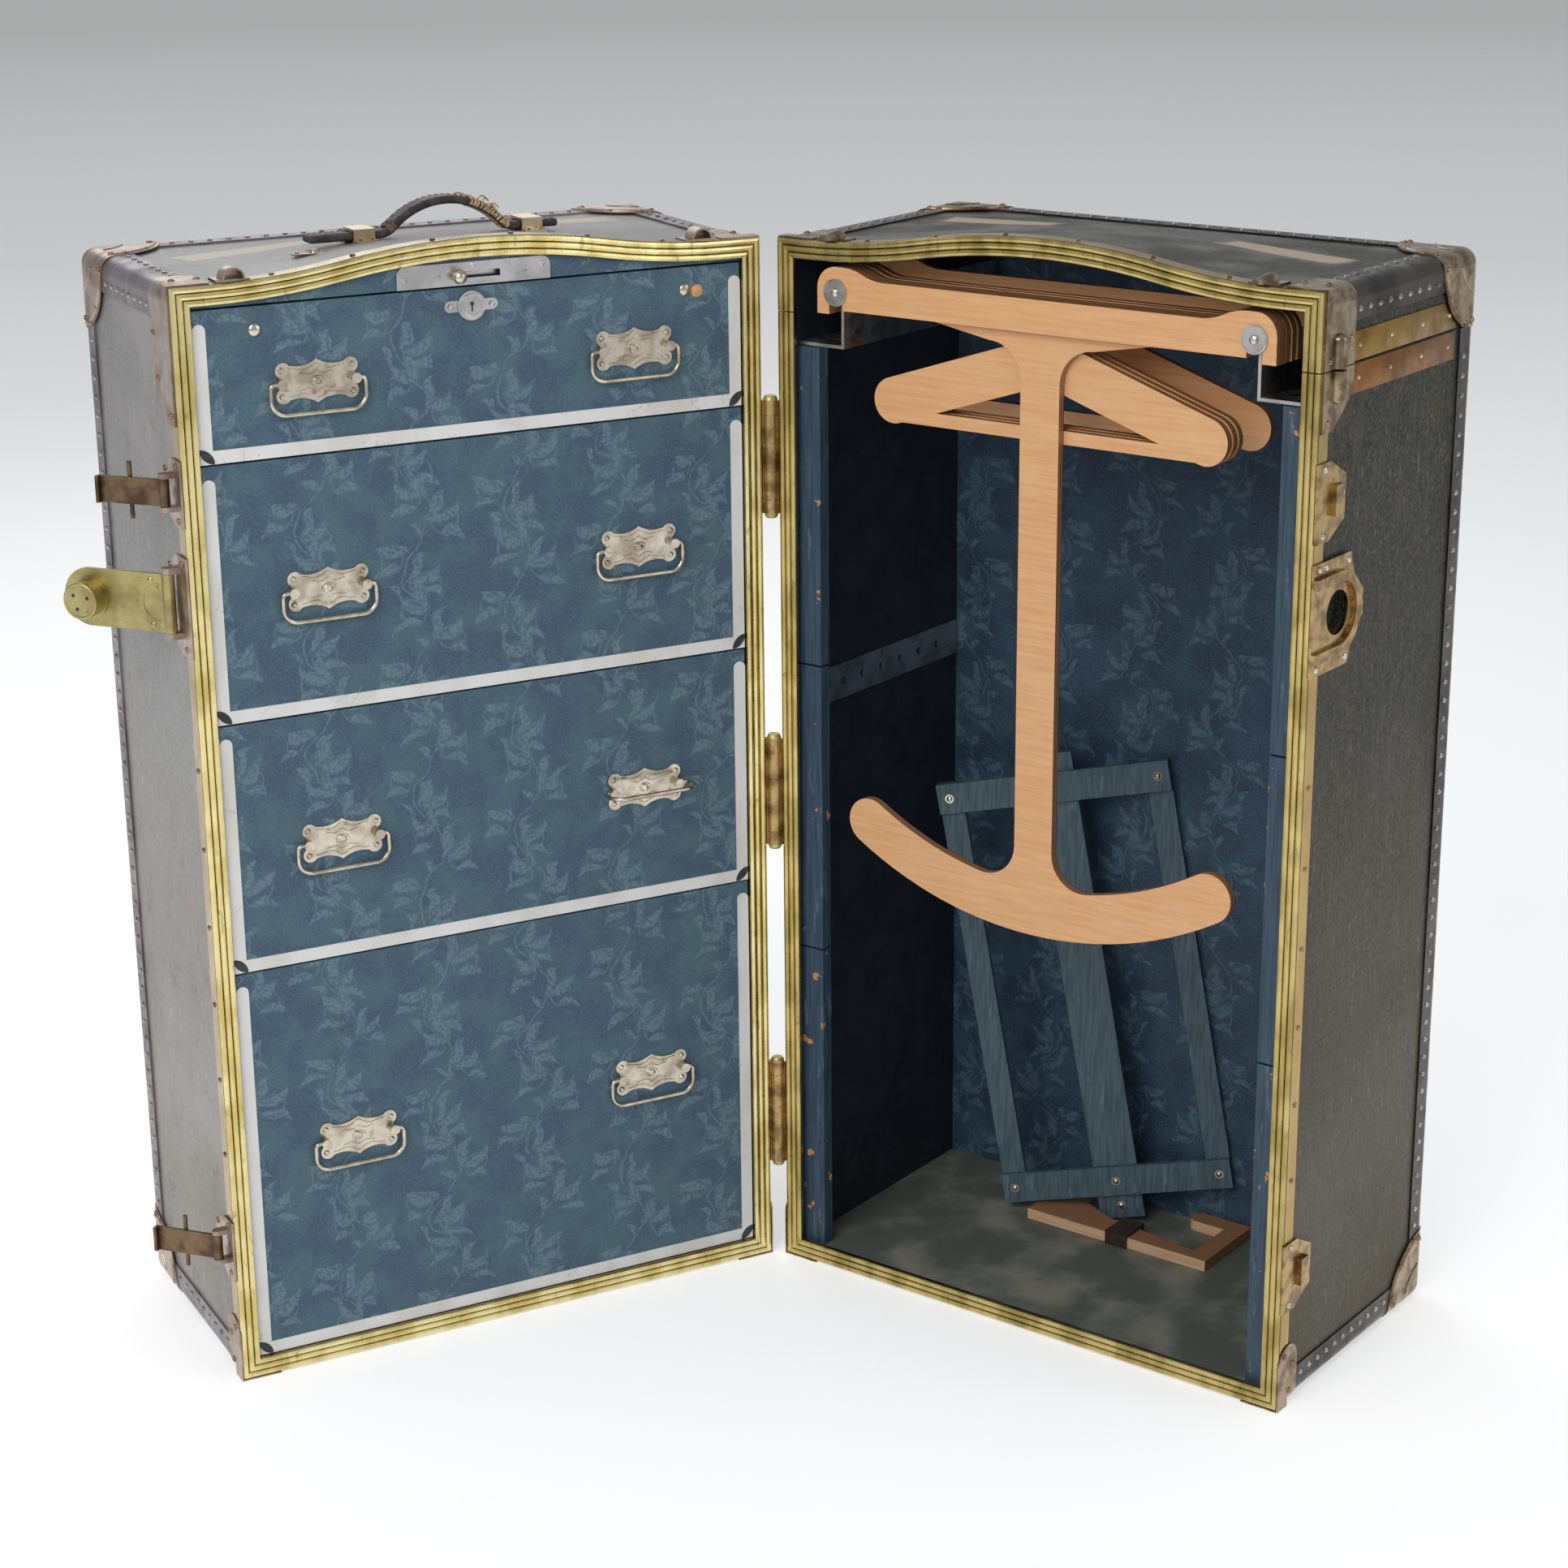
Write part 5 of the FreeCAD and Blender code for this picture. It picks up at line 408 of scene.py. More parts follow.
def vine_paper(name, swung, dark, light, figure, strength):
    """Printed paper: tonal scrolling stems with ragged curved leaves on a cloudy ground."""
    f = Finish(name, swung)
    level = f.ease(f.face_turn()[2], 0.6, 0.7)
    walls = f.node("CombineXYZ", {"X": f.math("ADD", f.across, f.deep), "Y": f.up})
    floors = f.node("CombineXYZ", {"X": f.across, "Y": f.deep})
    flat = f.node("Mix", {0: level, 4: walls.outputs[0], 5: floors.outputs[0]},
                  data_type="VECTOR")
    apart = f.node("SeparateXYZ", {"Vector": flat.outputs[1]})
    sway = f.math("MULTIPLY_ADD", f.noise(30, 1), 22.0, apart.outputs["X"])
    climb = f.math("MULTIPLY_ADD", f.noise(37, 1), 18.0, apart.outputs["Y"])
    column = f.math("FLOOR", f.math("DIVIDE", sway, PAPER_WIDTH))
    drop = f.math("MULTIPLY", f.math("PINGPONG", column, 1), PAPER_REPEAT / 2)
    x = f.math("SUBTRACT", f.math("WRAP", sway, PAPER_WIDTH, 0.0), PAPER_WIDTH / 2)
    y = f.math("WRAP", f.math("ADD", climb, drop), PAPER_REPEAT, 0.0)
    spot = f.node("CombineXYZ", {"X": x, "Y": y}).outputs[0]
    wave = f.math("SINE", f.math("MULTIPLY", y, math.tau / PAPER_REPEAT))
    stem = f.math("ABSOLUTE", f.math("SUBTRACT", x, f.math("MULTIPLY", wave, STEM_SWAY)))
    drawn = f.ease(stem, 0.5, 1.7, 0.8, 0.0)
    for number in range(JOINTS):
        side = -1 if number % 2 else 1
        up = PAPER_REPEAT * (number + 0.5) / JOINTS
        at = STEM_SWAY * math.sin(math.tau * up / PAPER_REPEAT)
        curl_spot = f.node("VectorMath", {0: spot, 1: (at + side * 17, up + 2, 0)},
                           operation="DISTANCE").outputs["Value"]
        ring = f.ease(f.math("ABSOLUTE", f.math("SUBTRACT", curl_spot, 11.0)), 0.3, 1.5, 0.7, 0.0)
        drawn = f.math("MAXIMUM", drawn, ring)
        for reach, lift, lean, length, width, curl in SPRAY:
            angle = lean if side > 0 else 180 - lean
            drawn = f.math("MAXIMUM", drawn, leaf(f, spot, (at + side * reach, up + lift),
                                                  angle, length, width, curl * side))
    drawn = f.math("MULTIPLY", drawn, f.patchy(3.4, 2, 0.34, 0.6, 0.25))
    cloud = f.noise(34, 5, 0.6)
    ground = f.blend(f.ease(cloud, 0.38, 0.64), dark, light)
    ground = f.blend(f.patchy(2.2, 2, 0.4, 0.7, 0.0, 0.25), ground, figure)
    colour = f.blend(f.math("MULTIPLY", drawn, strength), ground, figure)
    f.bump(f.math("ADD", f.noise(1.6, 2), f.math("MULTIPLY", drawn, 0.4)), 0.12, 0.5)
    return f.done(colour, f.ease(cloud, 0.3, 0.7, 0.54, 0.7))


def enamel(name):
    """White enamelled edging, a little yellowed, with hairline marks."""
    f = Finish(name, rough=0.22)
    colour = f.blend(f.patchy((40, 40, 90), 3, 0.4, 0.7), rgb(246, 246, 243),
                     rgb(232, 230, 221))
    crack = f.ease(f.math("ABSOLUTE", f.math("SUBTRACT", f.noise((22, 22, 30), 4), 0.5)),
                   0.0, 0.006, 0.5, 0.0)
    colour = f.blend(f.math("MULTIPLY", crack, f.patchy(60, 1, 0.55, 0.65)), colour,
                     rgb(96, 92, 84))
    return f.done(colour)


def plywood(name, face, deep_face):
    """Clear-varnished plywood: fine grain on its faces and plies round its edges."""
    f = Finish(name, True, rough=0.42, coat=0.3)
    grain = f.noise((70, 40, 3.2), 5, 0.6)
    colour = f.blend(f.ease(grain, 0.3, 0.72), face, deep_face)
    colour = f.blend(f.patchy((45, 45, 30), 3, 0.4, 0.75, 0.0, 0.25), colour,
                     rgb(238, 196, 150))
    ply = f.math("PINGPONG", f.math("MULTIPLY", f.deep, 0.62), 1.0)
    edge = f.blend(f.ease(ply, 0.3, 0.6), rgb(112, 72, 46), rgb(196, 142, 96))
    colour = f.blend(f.ease(f.face_turn()[1], 0.45, 0.65, 1.0, 0.0), colour, edge)
    f.bump(grain, 0.06, 0.4)
    return f.done(colour)


def chipped_paint(name, swung, paint, shade, wood, wear):
    """Painted wood with chips down to bare wood."""
    f = Finish(name, swung, rough=0.55)
    grain = f.noise((3, 3, 60), 4)
    colour = f.blend(f.ease(grain, 0.35, 0.7), paint, shade)
    chip = f.patchy((16, 16, 20), 4, wear, wear + 0.02, rough=0.55)
    colour = f.blend(f.patchy((9, 9, 60), 4, 0.6, 0.66, 0.0, 0.35, 0.7), colour,
                     rgb(128, 150, 166))
    colour = f.blend(chip, colour, wood)
    f.bump(f.math("SUBTRACT", grain, f.math("MULTIPLY", chip, 1.5)), 0.3, 0.5)
    return f.done(colour)


def old_leather(name, swung, dark, light):
    """Dry leather with a pebbled grain, rubbed lighter here and there."""
    f = Finish(name, swung, rough=0.5)
    grain = f.node("TexVoronoi", {"Vector": f.place, "Scale": 0.55}).outputs["Distance"]
    rub = f.noise(18, 4, 0.6)
    colour = f.blend(f.ease(rub, 0.42, 0.7), dark, light)
    colour = f.blend(f.ease(grain, 0.2, 0.9, 0.3, 0.0), colour, rgb(20, 15, 13))
    f.bump(f.math("ADD", grain, f.noise(5, 3)), 0.35, 0.6)
    return f.done(colour, f.ease(rub, 0.3, 0.7, 0.42, 0.62))


def weathered(name, base, mark, rough, swung=False, metal=0.0, size=9):
    """A small plain finish with its own clouds and specks."""
    f = Finish(name, swung, rough=rough, metal=metal)
    colour = f.blend(f.patchy(size, 4, 0.4, 0.7), base, mark)
    f.bump(f.noise(size / 4, 2), 0.1, 0.4)
    return f.done(colour)


# colours are screen colours; the other values are in the order that each recipe takes them
RECIPES = {
    # one fibre in two copies: the drawer half's copy is painted lighter for light and reflection on
    # the lit left side, and the hanger half's copy is painted darker for shade on the right side
    "fibre_drawer": (fibre, False, (104, 105, 106), (152, 148, 148), (186, 180, 172),
                     (136, 126, 112)),
    "fibre_hanger": (fibre, True, (20, 24, 19), (38, 40, 32), (134, 131, 116), (96, 88, 72)),
    "lining_drawer": (weathered, (140, 118, 92), (112, 92, 70), 0.7, False, 0.0, 40),
    # the hanger half's linings are the drawer-front paper painted darker as painted shade inside
    # that half, darkest in lining_shade on the hinge-side wall
    "lining_shade": (vine_paper, True, (20, 26, 38), (27, 35, 48), (40, 50, 62), 0.35),
    "lining_hanger": (vine_paper, True, (34, 54, 78), (50, 76, 96), (98, 122, 138), 0.6),
    "lining_floor": (weathered, (100, 104, 96), (150, 148, 134), 0.6, True, 0.0, 60),
    "paper": (vine_paper, False, (66, 90, 112), (80, 110, 122), (118, 146, 158), 0.74),
    # the hanger half's reeds are the same brass painted darker, as painted shade over that valance;
    # the drawer half's copy is the lit one
    "reeds_drawer": (reeded, False, (236, 222, 164), (206, 186, 118), (150, 128, 112)),
    "reeds_hanger": (reeded, True, (204, 184, 122), (160, 142, 84), (176, 140, 84)),
    "binding_drawer": (tarnished, False, (150, 144, 148), (112, 104, 108), (96, 78, 70), 0.4,
                       60, 0.85),
    "binding_hanger": (tarnished, True, (84, 80, 76), (58, 54, 52), (84, 66, 52), 0.3, 60,
                       0.85),
    "cap_drawer": (tarnished, False, (186, 170, 160), (150, 128, 112), (120, 82, 60), 0.34, 30),
    "cap_hanger": (tarnished, True, (170, 152, 126), (114, 96, 74), (88, 62, 46), 0.24, 16),
    "brass_drawer": (tarnished, False, (206, 196, 132), (178, 160, 112), (150, 112, 74), 0.36,
                     26),
    "brass_hanger": (tarnished, True, (186, 158, 108), (128, 102, 70), (96, 62, 42), 0.27, 16),
    "catch": (tarnished, False, (128, 108, 84), (90, 72, 58), (140, 92, 60), 0.42, 16),
    "nickel": (tarnished, False, (214, 205, 188), (180, 168, 150), (150, 124, 98), 0.22, 14),
    "loop_metal": (tarnished, False, (232, 216, 184), (202, 180, 140), (150, 100, 72), 0.26,
                   12),
    "hasp_brass": (tarnished, False, (188, 178, 122), (160, 146, 100), (132, 98, 66), 0.34, 30),
    "steel": (tarnished, False, (206, 204, 204), (182, 180, 180), (136, 126, 118), 0.34, 30),
    "steel_swung": (tarnished, True, (196, 194, 190), (160, 156, 150), (126, 112, 100), 0.34,
                    30),
    "lid_band": (tarnished, True, (160, 128, 66), (132, 102, 54), (104, 68, 40), 0.34, 40),
    "wall_band": (tarnished, True, (152, 106, 56), (122, 80, 46), (96, 60, 38), 0.34, 40),
    "white_enamel": (enamel,),
    "hanger_wood": (plywood, (246, 190, 134), (234, 170, 114)),
    "batten_paint": (chipped_paint, True, (62, 84, 102), (44, 62, 80), (206, 148, 100), 0.66),
    "rack_paint": (chipped_paint, True, (84, 104, 114), (60, 80, 92), (140, 122, 100), 0.8),
    "runner_wood": (chipped_paint, False, (150, 122, 90), (124, 98, 70), (176, 148, 112), 0.68),
    "board_wood": (plywood, (228, 190, 152), (212, 168, 128)),
    "handle_leather": (old_leather, False, (52, 44, 46), (92, 80, 78)),
    "strap_leather": (old_leather, True, (52, 38, 32), (84, 62, 50)),
    "nail_metal": (weathered, (176, 168, 160), (118, 108, 104), 0.22, False, 1.0),
    "copper_rivet": (weathered, (168, 134, 108), (110, 84, 66), 0.26, False, 1.0),
    "bright_rivet": (weathered, (216, 210, 200), (170, 158, 144), 0.25, False, 1.0),
    # dark insets: real dark joints at the edging mitres, and painted shade standing in for the
    # keyhole and the holes in the hasp boss
    "dark_gap": (weathered, (44, 50, 54), (60, 68, 72), 0.6),
    "bare_wood": (weathered, (226, 178, 130), (200, 148, 102), 0.6, False, 0.0, 5),
    "twine": (weathered, (214, 188, 150), (170, 134, 98), 0.85, False, 0.0, 3),
    "thread": (weathered, (120, 100, 84), (92, 74, 62), 0.8, False, 0.0, 3),
}
FINISHES = {}


def finish(name):
    """Each finish is made once, the first time it is asked for."""
    if name not in FINISHES:
        recipe, *values = RECIPES[name]
        FINISHES[name] = recipe(name, *(rgb(*value) if isinstance(value, tuple) else value
                                        for value in values))
    return FINISHES[name]


DRESSES = {
    "fibre_drawer": "drawer_half_walls drawer_half_top",
    "binding_drawer": "drawer_half_binding",
    "binding_hanger": "hanger_half_binding lid_binding",
    "reeds_drawer": "drawer_half_valance", "reeds_hanger": "hanger_half_valance lid_valance",
    "cap_drawer": "drawer_half_corner_caps dowel_cups latch_bases",
    "cap_hanger": "hanger_half_fittings lid_fittings",
    "runner_wood": "drawer_runners", "paper": "drawer_fascia",
    "steel": "bolt_plate drawer_lock lock_plug", "nickel": "drawer_bolt",
    "loop_metal": "handle_loops", "hasp_brass": "hasp", "catch": "upper_catch lower_catch",
    "brass_hanger": "drawer_half_hinge_leaves hanger_half_hinge_leaves catch_strikes"
                    " hasp_receiver",
    "brass_drawer": "hinge_pins",
    "steel_swung": "hanger_rails perforated_strip retainer_washers",
    "batten_paint": "corner_battens", "rack_paint": "slat_rack", "board_wood": "loose_board",
    "hanger_wood": "retainer_bar garment_anchor hanger_1 hanger_2 hanger_3 hanger_4",
    "handle_leather": "carry_handle", "strap_leather": "board_strap",
}
INSIDE = SIDE - 13.6             # inner face of the walls, across
SKIN = 13.0                      # outer face of a rear wall to where its inner face begins


def dress(node, *names):
    """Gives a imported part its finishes; the first is on all its faces until some are picked."""
    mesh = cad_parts[node].data
    mesh.materials.clear()
    for name in names:
        mesh.materials.append(finish(name))
    return mesh


def pick_faces(mesh, half, wanted, number):
    """Puts the faces whose middle a test picks, in across, deep and up, in another finish."""
    back = half.inverted()
    for face in mesh.polygons:
        if wanted(*(back @ face.center), (back.to_3x3() @ face.normal).normalized()):
            face.material_index = number


# ------------------------------------------------------------------- what a user may change

class TrunkSizes(bpy.types.PropertyGroup):
    """Sizes of the small metalwork."""
    nail_radius: bpy.props.FloatProperty(
        name="Nail head", description="Radius of the binding nails", default=0.0029,
        min=0.001, unit="LENGTH")
    nail_pitch: bpy.props.FloatProperty(
        name="Nail pitch", description="Spacing of the nails along the bindings",
        default=0.0175, min=0.006, unit="LENGTH")
    tack_pitch: bpy.props.FloatProperty(
        name="Tack pitch", description="Spacing of the tacks along the valances",
        default=0.076, min=0.02, unit="LENGTH")
    rivet_radius: bpy.props.FloatProperty(
        name="Rivet head", description="Radius of the rivets in plates and caps",
        default=0.0032, min=0.001, unit="LENGTH")
    band_height: bpy.props.FloatProperty(
        name="Seam band", description="Height of each band beside the lid seam",
        default=0.025, min=0.005, unit="LENGTH")


class TrunkStage(bpy.types.PropertyGroup):
    """Light and ground."""
    key_power: bpy.props.FloatProperty(
        name="Key lamp", description="Power of the large lamp at the left", default=62.0,
        min=0.0, unit="POWER")
    fill_power: bpy.props.FloatProperty(
        name="Fill lamp", description="Power of the lamp at the right", default=20.0,
        min=0.0, unit="POWER")
    sky: bpy.props.FloatProperty(
        name="Surround", description="Strength of the light from all round", default=0.45,
        min=0.0)
    ground: bpy.props.FloatVectorProperty(
        name="Ground", description="Colour of the ground near the trunk", subtype="COLOR",
        size=3, default=(0.86, 0.86, 0.86), min=0.0, max=1.0)


# --------------------------------------------------------------------------------- the case

def indoors(across, deep, depth):
    """Whether a place is inside the walls of a half."""
    return abs(across) < INSIDE + 0.5 and deep < depth - SKIN


class TRUNK_OT_dress_case(bpy.types.Operator):
    """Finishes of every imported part, with linings inside the two halves"""
    bl_idname = "trunk.dress_case"
    bl_label = "Dress the Packed Parts"

    def execute(self, context):
        for name, nodes in DRESSES.items():
            for node in nodes.split():
                dress(node, name)
        for node in ("hanger_half_walls", "lid_shell"):
            mesh = dress(node, "fibre_hanger", "lining_hanger", "lining_floor", "lining_shade")
            pick_faces(mesh, HANGER_HALF, lambda a, d, u, n: (
                indoors(a, d, HANGER_DEPTH) and u > 14 and (u < TOP - 20 or n.z < 0.3)), 1)
            pick_faces(mesh, HANGER_HALF, lambda a, d, u, n: (
                indoors(a, d, HANGER_DEPTH) and 12 < u < 16 and n.z > 0.9), 2)
            # the hinge-side inner wall takes lining_shade, the paper painted darkest as painted
            # shade
            pick_faces(mesh, HANGER_HALF, lambda a, d, u, n: (
                indoors(a, d, HANGER_DEPTH) and a > INSIDE - 0.9 and u > 14), 3)
        for node in ("drawer_half_walls", "drawer_half_top"):
            mesh = dress(node, "fibre_drawer", "lining_drawer")
            pick_faces(mesh, DRAWER_HALF, lambda a, d, u, n: (
                indoors(a, d, DRAWER_DEPTH) and u > 14 and n.z < 0.5), 1)
        for number, (low, _) in FRONTS.items():
            node = "drawer_%d" % number
            mesh = dress(node, "paper", "lining_drawer")
            pick_faces(mesh, DRAWER_HALF, lambda a, d, u, n: d > FRONT_FACE + 11.9, 1)
            mesh = dress(node + "_metalwork", "nickel", "white_enamel")
            pick_faces(mesh, DRAWER_HALF, lambda a, d, u, n, edge=low + 12: (
                d > FRONT_FACE - 1.05 and (abs(a) > 245.9 or u < edge)), 1)
            for side in ("left", "right"):
                dress("%s_bail_%s" % (node, side), "nickel")
        return {"FINISHED"}


class TRUNK_OT_nail_bindings(bpy.types.Operator):
    """Domed nails along the bindings, and wider-spaced tacks along the valances"""
    bl_idname = "trunk.nail_bindings"
    bl_label = "Nail the Bindings"

    def execute(self, context):
        sizes = context.scene.trunk_sizes
        radius = sizes.nail_radius / MM
        profile = ((0, radius * 0.62), (radius * 0.6, radius * 0.48), (radius, 0.1),
                   (radius, -0.6), (0, -0.6))
        for body, depth, upright_top, topped in (
                ("drawer_half", DRAWER_DEPTH, TOP - ROW_END, True),
                ("hanger_half", HANGER_DEPTH, SEAM - 26, False),
                ("lid", HANGER_DEPTH, None, True)):
            runs = self.lower_runs(depth, upright_top) if upright_top else []
            if topped:
                runs += self.upper_runs(depth)
            spots = [(place, out) for start, end, out in runs
                     for place in row(start, end, sizes.nail_pitch / MM)]
            heads(body + "_nails", profile, 8, spots, body, "nail_metal")
        self.tack_valances(profile, sizes.tack_pitch / MM)
        return {"FINISHED"}

    def lower_runs(self, depth, upright_top):
        """Rows up the rear edges and round the foot, each as start, end and way out."""
        low, back = FLOOR + NAIL_INSET, (0, 1, 0)
        runs = [((ROW_END - SIDE, depth, low), (SIDE - ROW_END, depth, low), back)]
        for side in (-1, 1):
            face, edge, out = side * SIDE, side * (SIDE - NAIL_INSET), (side, 0, 0)
            deep = depth - NAIL_INSET
            runs += [((face, deep, FLOOR + ROW_END), (face, deep, upright_top), out),
                     ((edge, depth, FLOOR + ROW_END), (edge, depth, upright_top), back),
                     ((face, 44, low), (face, depth - ROW_END, low), out)]
        return runs

    def upper_runs(self, depth):
        """Rows round the top, on its sides and on its level face."""
        high, deep, up = TOP - NAIL_INSET, depth - NAIL_INSET, (0, 0, 1)
        runs = [((ROW_END - SIDE, depth, high), (SIDE - ROW_END, depth, high), (0, 1, 0)),
                ((ROW_END - SIDE, deep, TOP), (SIDE - ROW_END, deep, TOP), up)]
        for side in (-1, 1):
            face, edge = side * SIDE, side * (SIDE - NAIL_INSET)
            runs += [((face, 66, high), (face, depth - ROW_END, high), (side, 0, 0)),
                     ((edge, 46, TOP), (edge, depth - ROW_END, TOP), up)]
        return runs

    def tack_valances(self, profile, pitch):
        """Tacks up both sides, where no latch or hinge is in the way, and over the top."""
        deep = 11.0
        busy = {-1: ((78, 186), (655, 890)), 1: ((95, 212), (428, 546), (755, 872))}
        for body in ("drawer_half", "hanger_half"):
            spots = [(place, (side, 0, 0)) for side in (-1, 1)
                     for place in row((side * SIDE, deep, 80), (side * SIDE, deep, 885), pitch)
                     if not any(low < place.z < high for low, high in busy[side])]
            heads(body + "_side_tacks", profile, 8, spots, body, "copper_rivet")
        for body in ("drawer_half", "lid"):
            spots = [((place.x, deep, TOP + camber(place.x)), (0, 0, 1))
                     for place in row((-183, 0, 0), (183, 0, 0), pitch)]
            heads(body + "_top_tacks", profile, 8, spots, body, "copper_rivet")


class TRUNK_OT_rivet_plates(bpy.types.Operator):
    """Rivets of the caps and corner plates, and screws of the hinges and latches"""
    bl_idname = "trunk.rivet_plates"
    bl_label = "Rivet the Plates"

    def execute(self, context):
        radius = context.scene.trunk_sizes.rivet_radius / MM
        head = ((0, radius * 0.55), (radius * 0.5, radius * 0.5), (radius * 0.88, radius * 0.26),
                (radius, 0.05), (radius, -0.5), (0, -0.5))
        for body, depth, top, foot in (("drawer_half", DRAWER_DEPTH, True, True),
                                       ("hanger_half", HANGER_DEPTH, False, True),
                                       ("lid", HANGER_DEPTH, True, False)):
            spots = []
            for side in (-1, 1):
                plates = [(44, TOP - 82), (14, TOP - 110)] if foot else [(14, SEAM + 8)]
                if foot:
                    plates += [(22, 14), (26, 40), (11, 52)]
                    spots += self.rear_cap(side, depth, FLOOR, 1)
                if top:
                    plates.append((50, TOP - 44))
                    spots += self.rear_cap(side, depth, TOP, -1)
                    spots += [((side * (SIDE - near), 31, TOP + CAP), (0, 0, 1))
                              for near in (12, 34)]
                spots += [((side * (SIDE + CAP), deep, up), (side, 0, 0))
                          for deep, up in plates]
            heads(body + "_cap_rivets", head, 10, spots, body, "copper_rivet")
        self.hinges(head)
        self.latches(head)
        return {"FINISHED"}

    def rear_cap(self, side, depth, level, way):
        """Three faces of a rear cap, with rivets near the ends of its lobes."""
        spots = []
        for near, far in ((12, 62), (24, 64), (62, 12), (48, 47)):
            across, up = side * (SIDE - near), level + way * far
            spots += [((side * (SIDE + CAP), depth - near, up), (side, 0, 0)),
                      ((across, depth + CAP, up), (0, 1, 0))]
            if way < 0:
                spots.append(((across, depth - far, level + CAP), (0, 0, 1)))
        return spots

    def hinges(self, head):
        """Four screws in each hinge leaf."""
        for body in ("drawer_half", "hanger_half"):
            spots = [((SIDE + 2, deep, middle + up), (1, 0, 0)) for middle in (154, 487, 813)
                     for up, deep in ((-44, 28), (-15, 20), (15, 20), (44, 28))]
            heads(body + "_hinge_screws", head, 10, spots, body, "copper_rivet")

    def latches(self, head):
        """Rivets of the latch bases, and of the strikes and the hasp's receiver."""
        bases = [(deep, level + up) for level in CATCH_LEVELS
                 for deep, up in ((10, 24), (10, -24), (40, 17), (40, -17))]
        bases += [(deep, HASP_LEVEL + up)
                  for deep, up in ((12, 38), (12, -38), (46, 31), (46, -31))]
        strikes = [(deep, level + up) for level in CATCH_LEVELS
                   for deep, up in ((12, 28), (12, -28), (44, 4))]
        strikes += [(deep, HASP_LEVEL + up) for deep, up in (
            (10, 43), (62, 42), (10, -43), (62, -42), (87, 0), (22, 43))]
        for name, places, body, metal in (
                ("latch_base_rivets", bases, "drawer_half", "copper_rivet"),
                ("strike_rivets", strikes, "hanger_half", "bright_rivet")):
            heads(name, head, 10, [((-SIDE - 2, deep, up), (-1, 0, 0)) for deep, up in places],
                  body, metal)


class TRUNK_OT_band_seam(bpy.types.Operator):
    """Copper-coloured bands on both sides of the lid seam, and the casing that bridges them"""
    bl_idname = "trunk.band_seam"
    bl_label = "Band the Lid Seam"

    def execute(self, context):
        height = context.scene.trunk_sizes.band_height / MM
        gap, thick, front, rear = 1.2, 1.1, 34.0, HANGER_DEPTH - 40
        back = HANGER_DEPTH - 2
        nail = ((0, 1.3), (1.2, 1.0), (2.0, 0.1), (2.0, -0.5), (0, -0.5))
        for body, low, metal in (("lid", SEAM + gap, "lid_band"),
                                 ("hanger_half", SEAM - gap - height, "wall_band")):
            high, middle = low + height, low + height / 2
            strips = [slab((40 - SIDE, back, low), (SIDE - 40, back + thick, high))]
            spots = [((across, back + thick, middle), (0, 1, 0))
                     for across in (-200, -100, 100, 200)]
            for side in (-1, 1):
                face = side * (SIDE - 2)
                skin = face + side * thick
                strips.append(slab((min(face, skin), front, low), (max(face, skin), rear, high)))
                spots += [((skin, deep, middle), (side, 0, 0)) for deep in (70, 128, 186, 238)]
            piece(body + "_seam_bands", merged(strips), body, metal)
            heads(body + "_seam_nails", nail, 8, spots, body, "bright_rivet")
        self.casings()
        return {"FINISHED"}

    def casings(self):
        """A half-round casing across the seam at the front of each side, split with the lid."""
        radius, length = 8.4, 25.0
        arc = [(0.0, length + radius * 0.55)]
        arc += [(radius * math.sin(math.radians(a)),
                 length + radius * 0.55 * math.cos(math.radians(a))) for a in (25, 50, 75)]
        arc += [(radius, length), (radius, 1.0), (radius - 1.4, 0.7), (0.0, 0.7)]
        for way, body in ((1, "lid"), (-1, "hanger_half")):
            shells = stamped(turned(arc, 16), [
                Matrix.Translation((side * (SIDE + 0.6), 29, SEAM))
                @ Matrix.Diagonal((0.95, 0.9, way, 1)) for side in (-1, 1)])
            piece(body + "_seam_casings", shells, body, "cap_hanger")


class TRUNK_OT_ridge_caps(bpy.types.Operator):
    """Pressed ridges on the round rear corner caps"""
    bl_idname = "trunk.ridge_caps"
    bl_label = "Ridge the Rear Caps"

    def execute(self, context):
        low, high = (FLOOR, 1), (TOP, -1)
        for body, depth, corners, metal in (
                ("drawer_half", DRAWER_DEPTH, (low, high), "cap_drawer"),
                ("hanger_half", HANGER_DEPTH, (low,), "cap_hanger"),
                ("lid", HANGER_DEPTH, (high,), "cap_hanger")):
            ridges = []
            for side in (-1, 1):
                for level, way in corners:
                    for reach, wide in ((69, 1.5), (40, 1.1)):
                        ridges += self.quarter_rings(side, depth, level, way, reach, wide)
            piece(body + "_cap_ridges", merged(ridges), body, metal)
        return {"FINISHED"}

    def quarter_rings(self, side, depth, level, way, reach, wide):
        """A quarter ring on each of a cap's faces, from edge round to edge round."""
        inwards, forwards, along = Vector((-side, 0, 0)), Vector((0, -1, 0)), Vector((0, 0, way))
        faces = [(forwards, along, Vector((side, 0, 0))), (inwards, along, Vector((0, 1, 0)))]
        if way < 0:
            faces.append((inwards, forwards, Vector((0, 0, 1))))
        corner = Vector((side * (SIDE + CAP), depth + CAP, level - way * CAP))
        trim, rings = math.asin(14 / reach), []
        for first, second, out in faces:
            bm = bmesh.new()
            aim = first * math.cos(trim) + second * math.sin(trim)
            bmesh.ops.create_circle(bm, segments=8, radius=wide, cap_ends=True,
                                    matrix=facing(corner + aim * reach, aim.cross(out)))
            bmesh.ops.spin(bm, geom=bm.faces[:], cent=corner, axis=first.cross(second),
                           angle=math.pi / 2 - 2 * trim, steps=12)
            rings.append(bm)
        return rings


# ------------------------------------------------------------------------------ the drawers

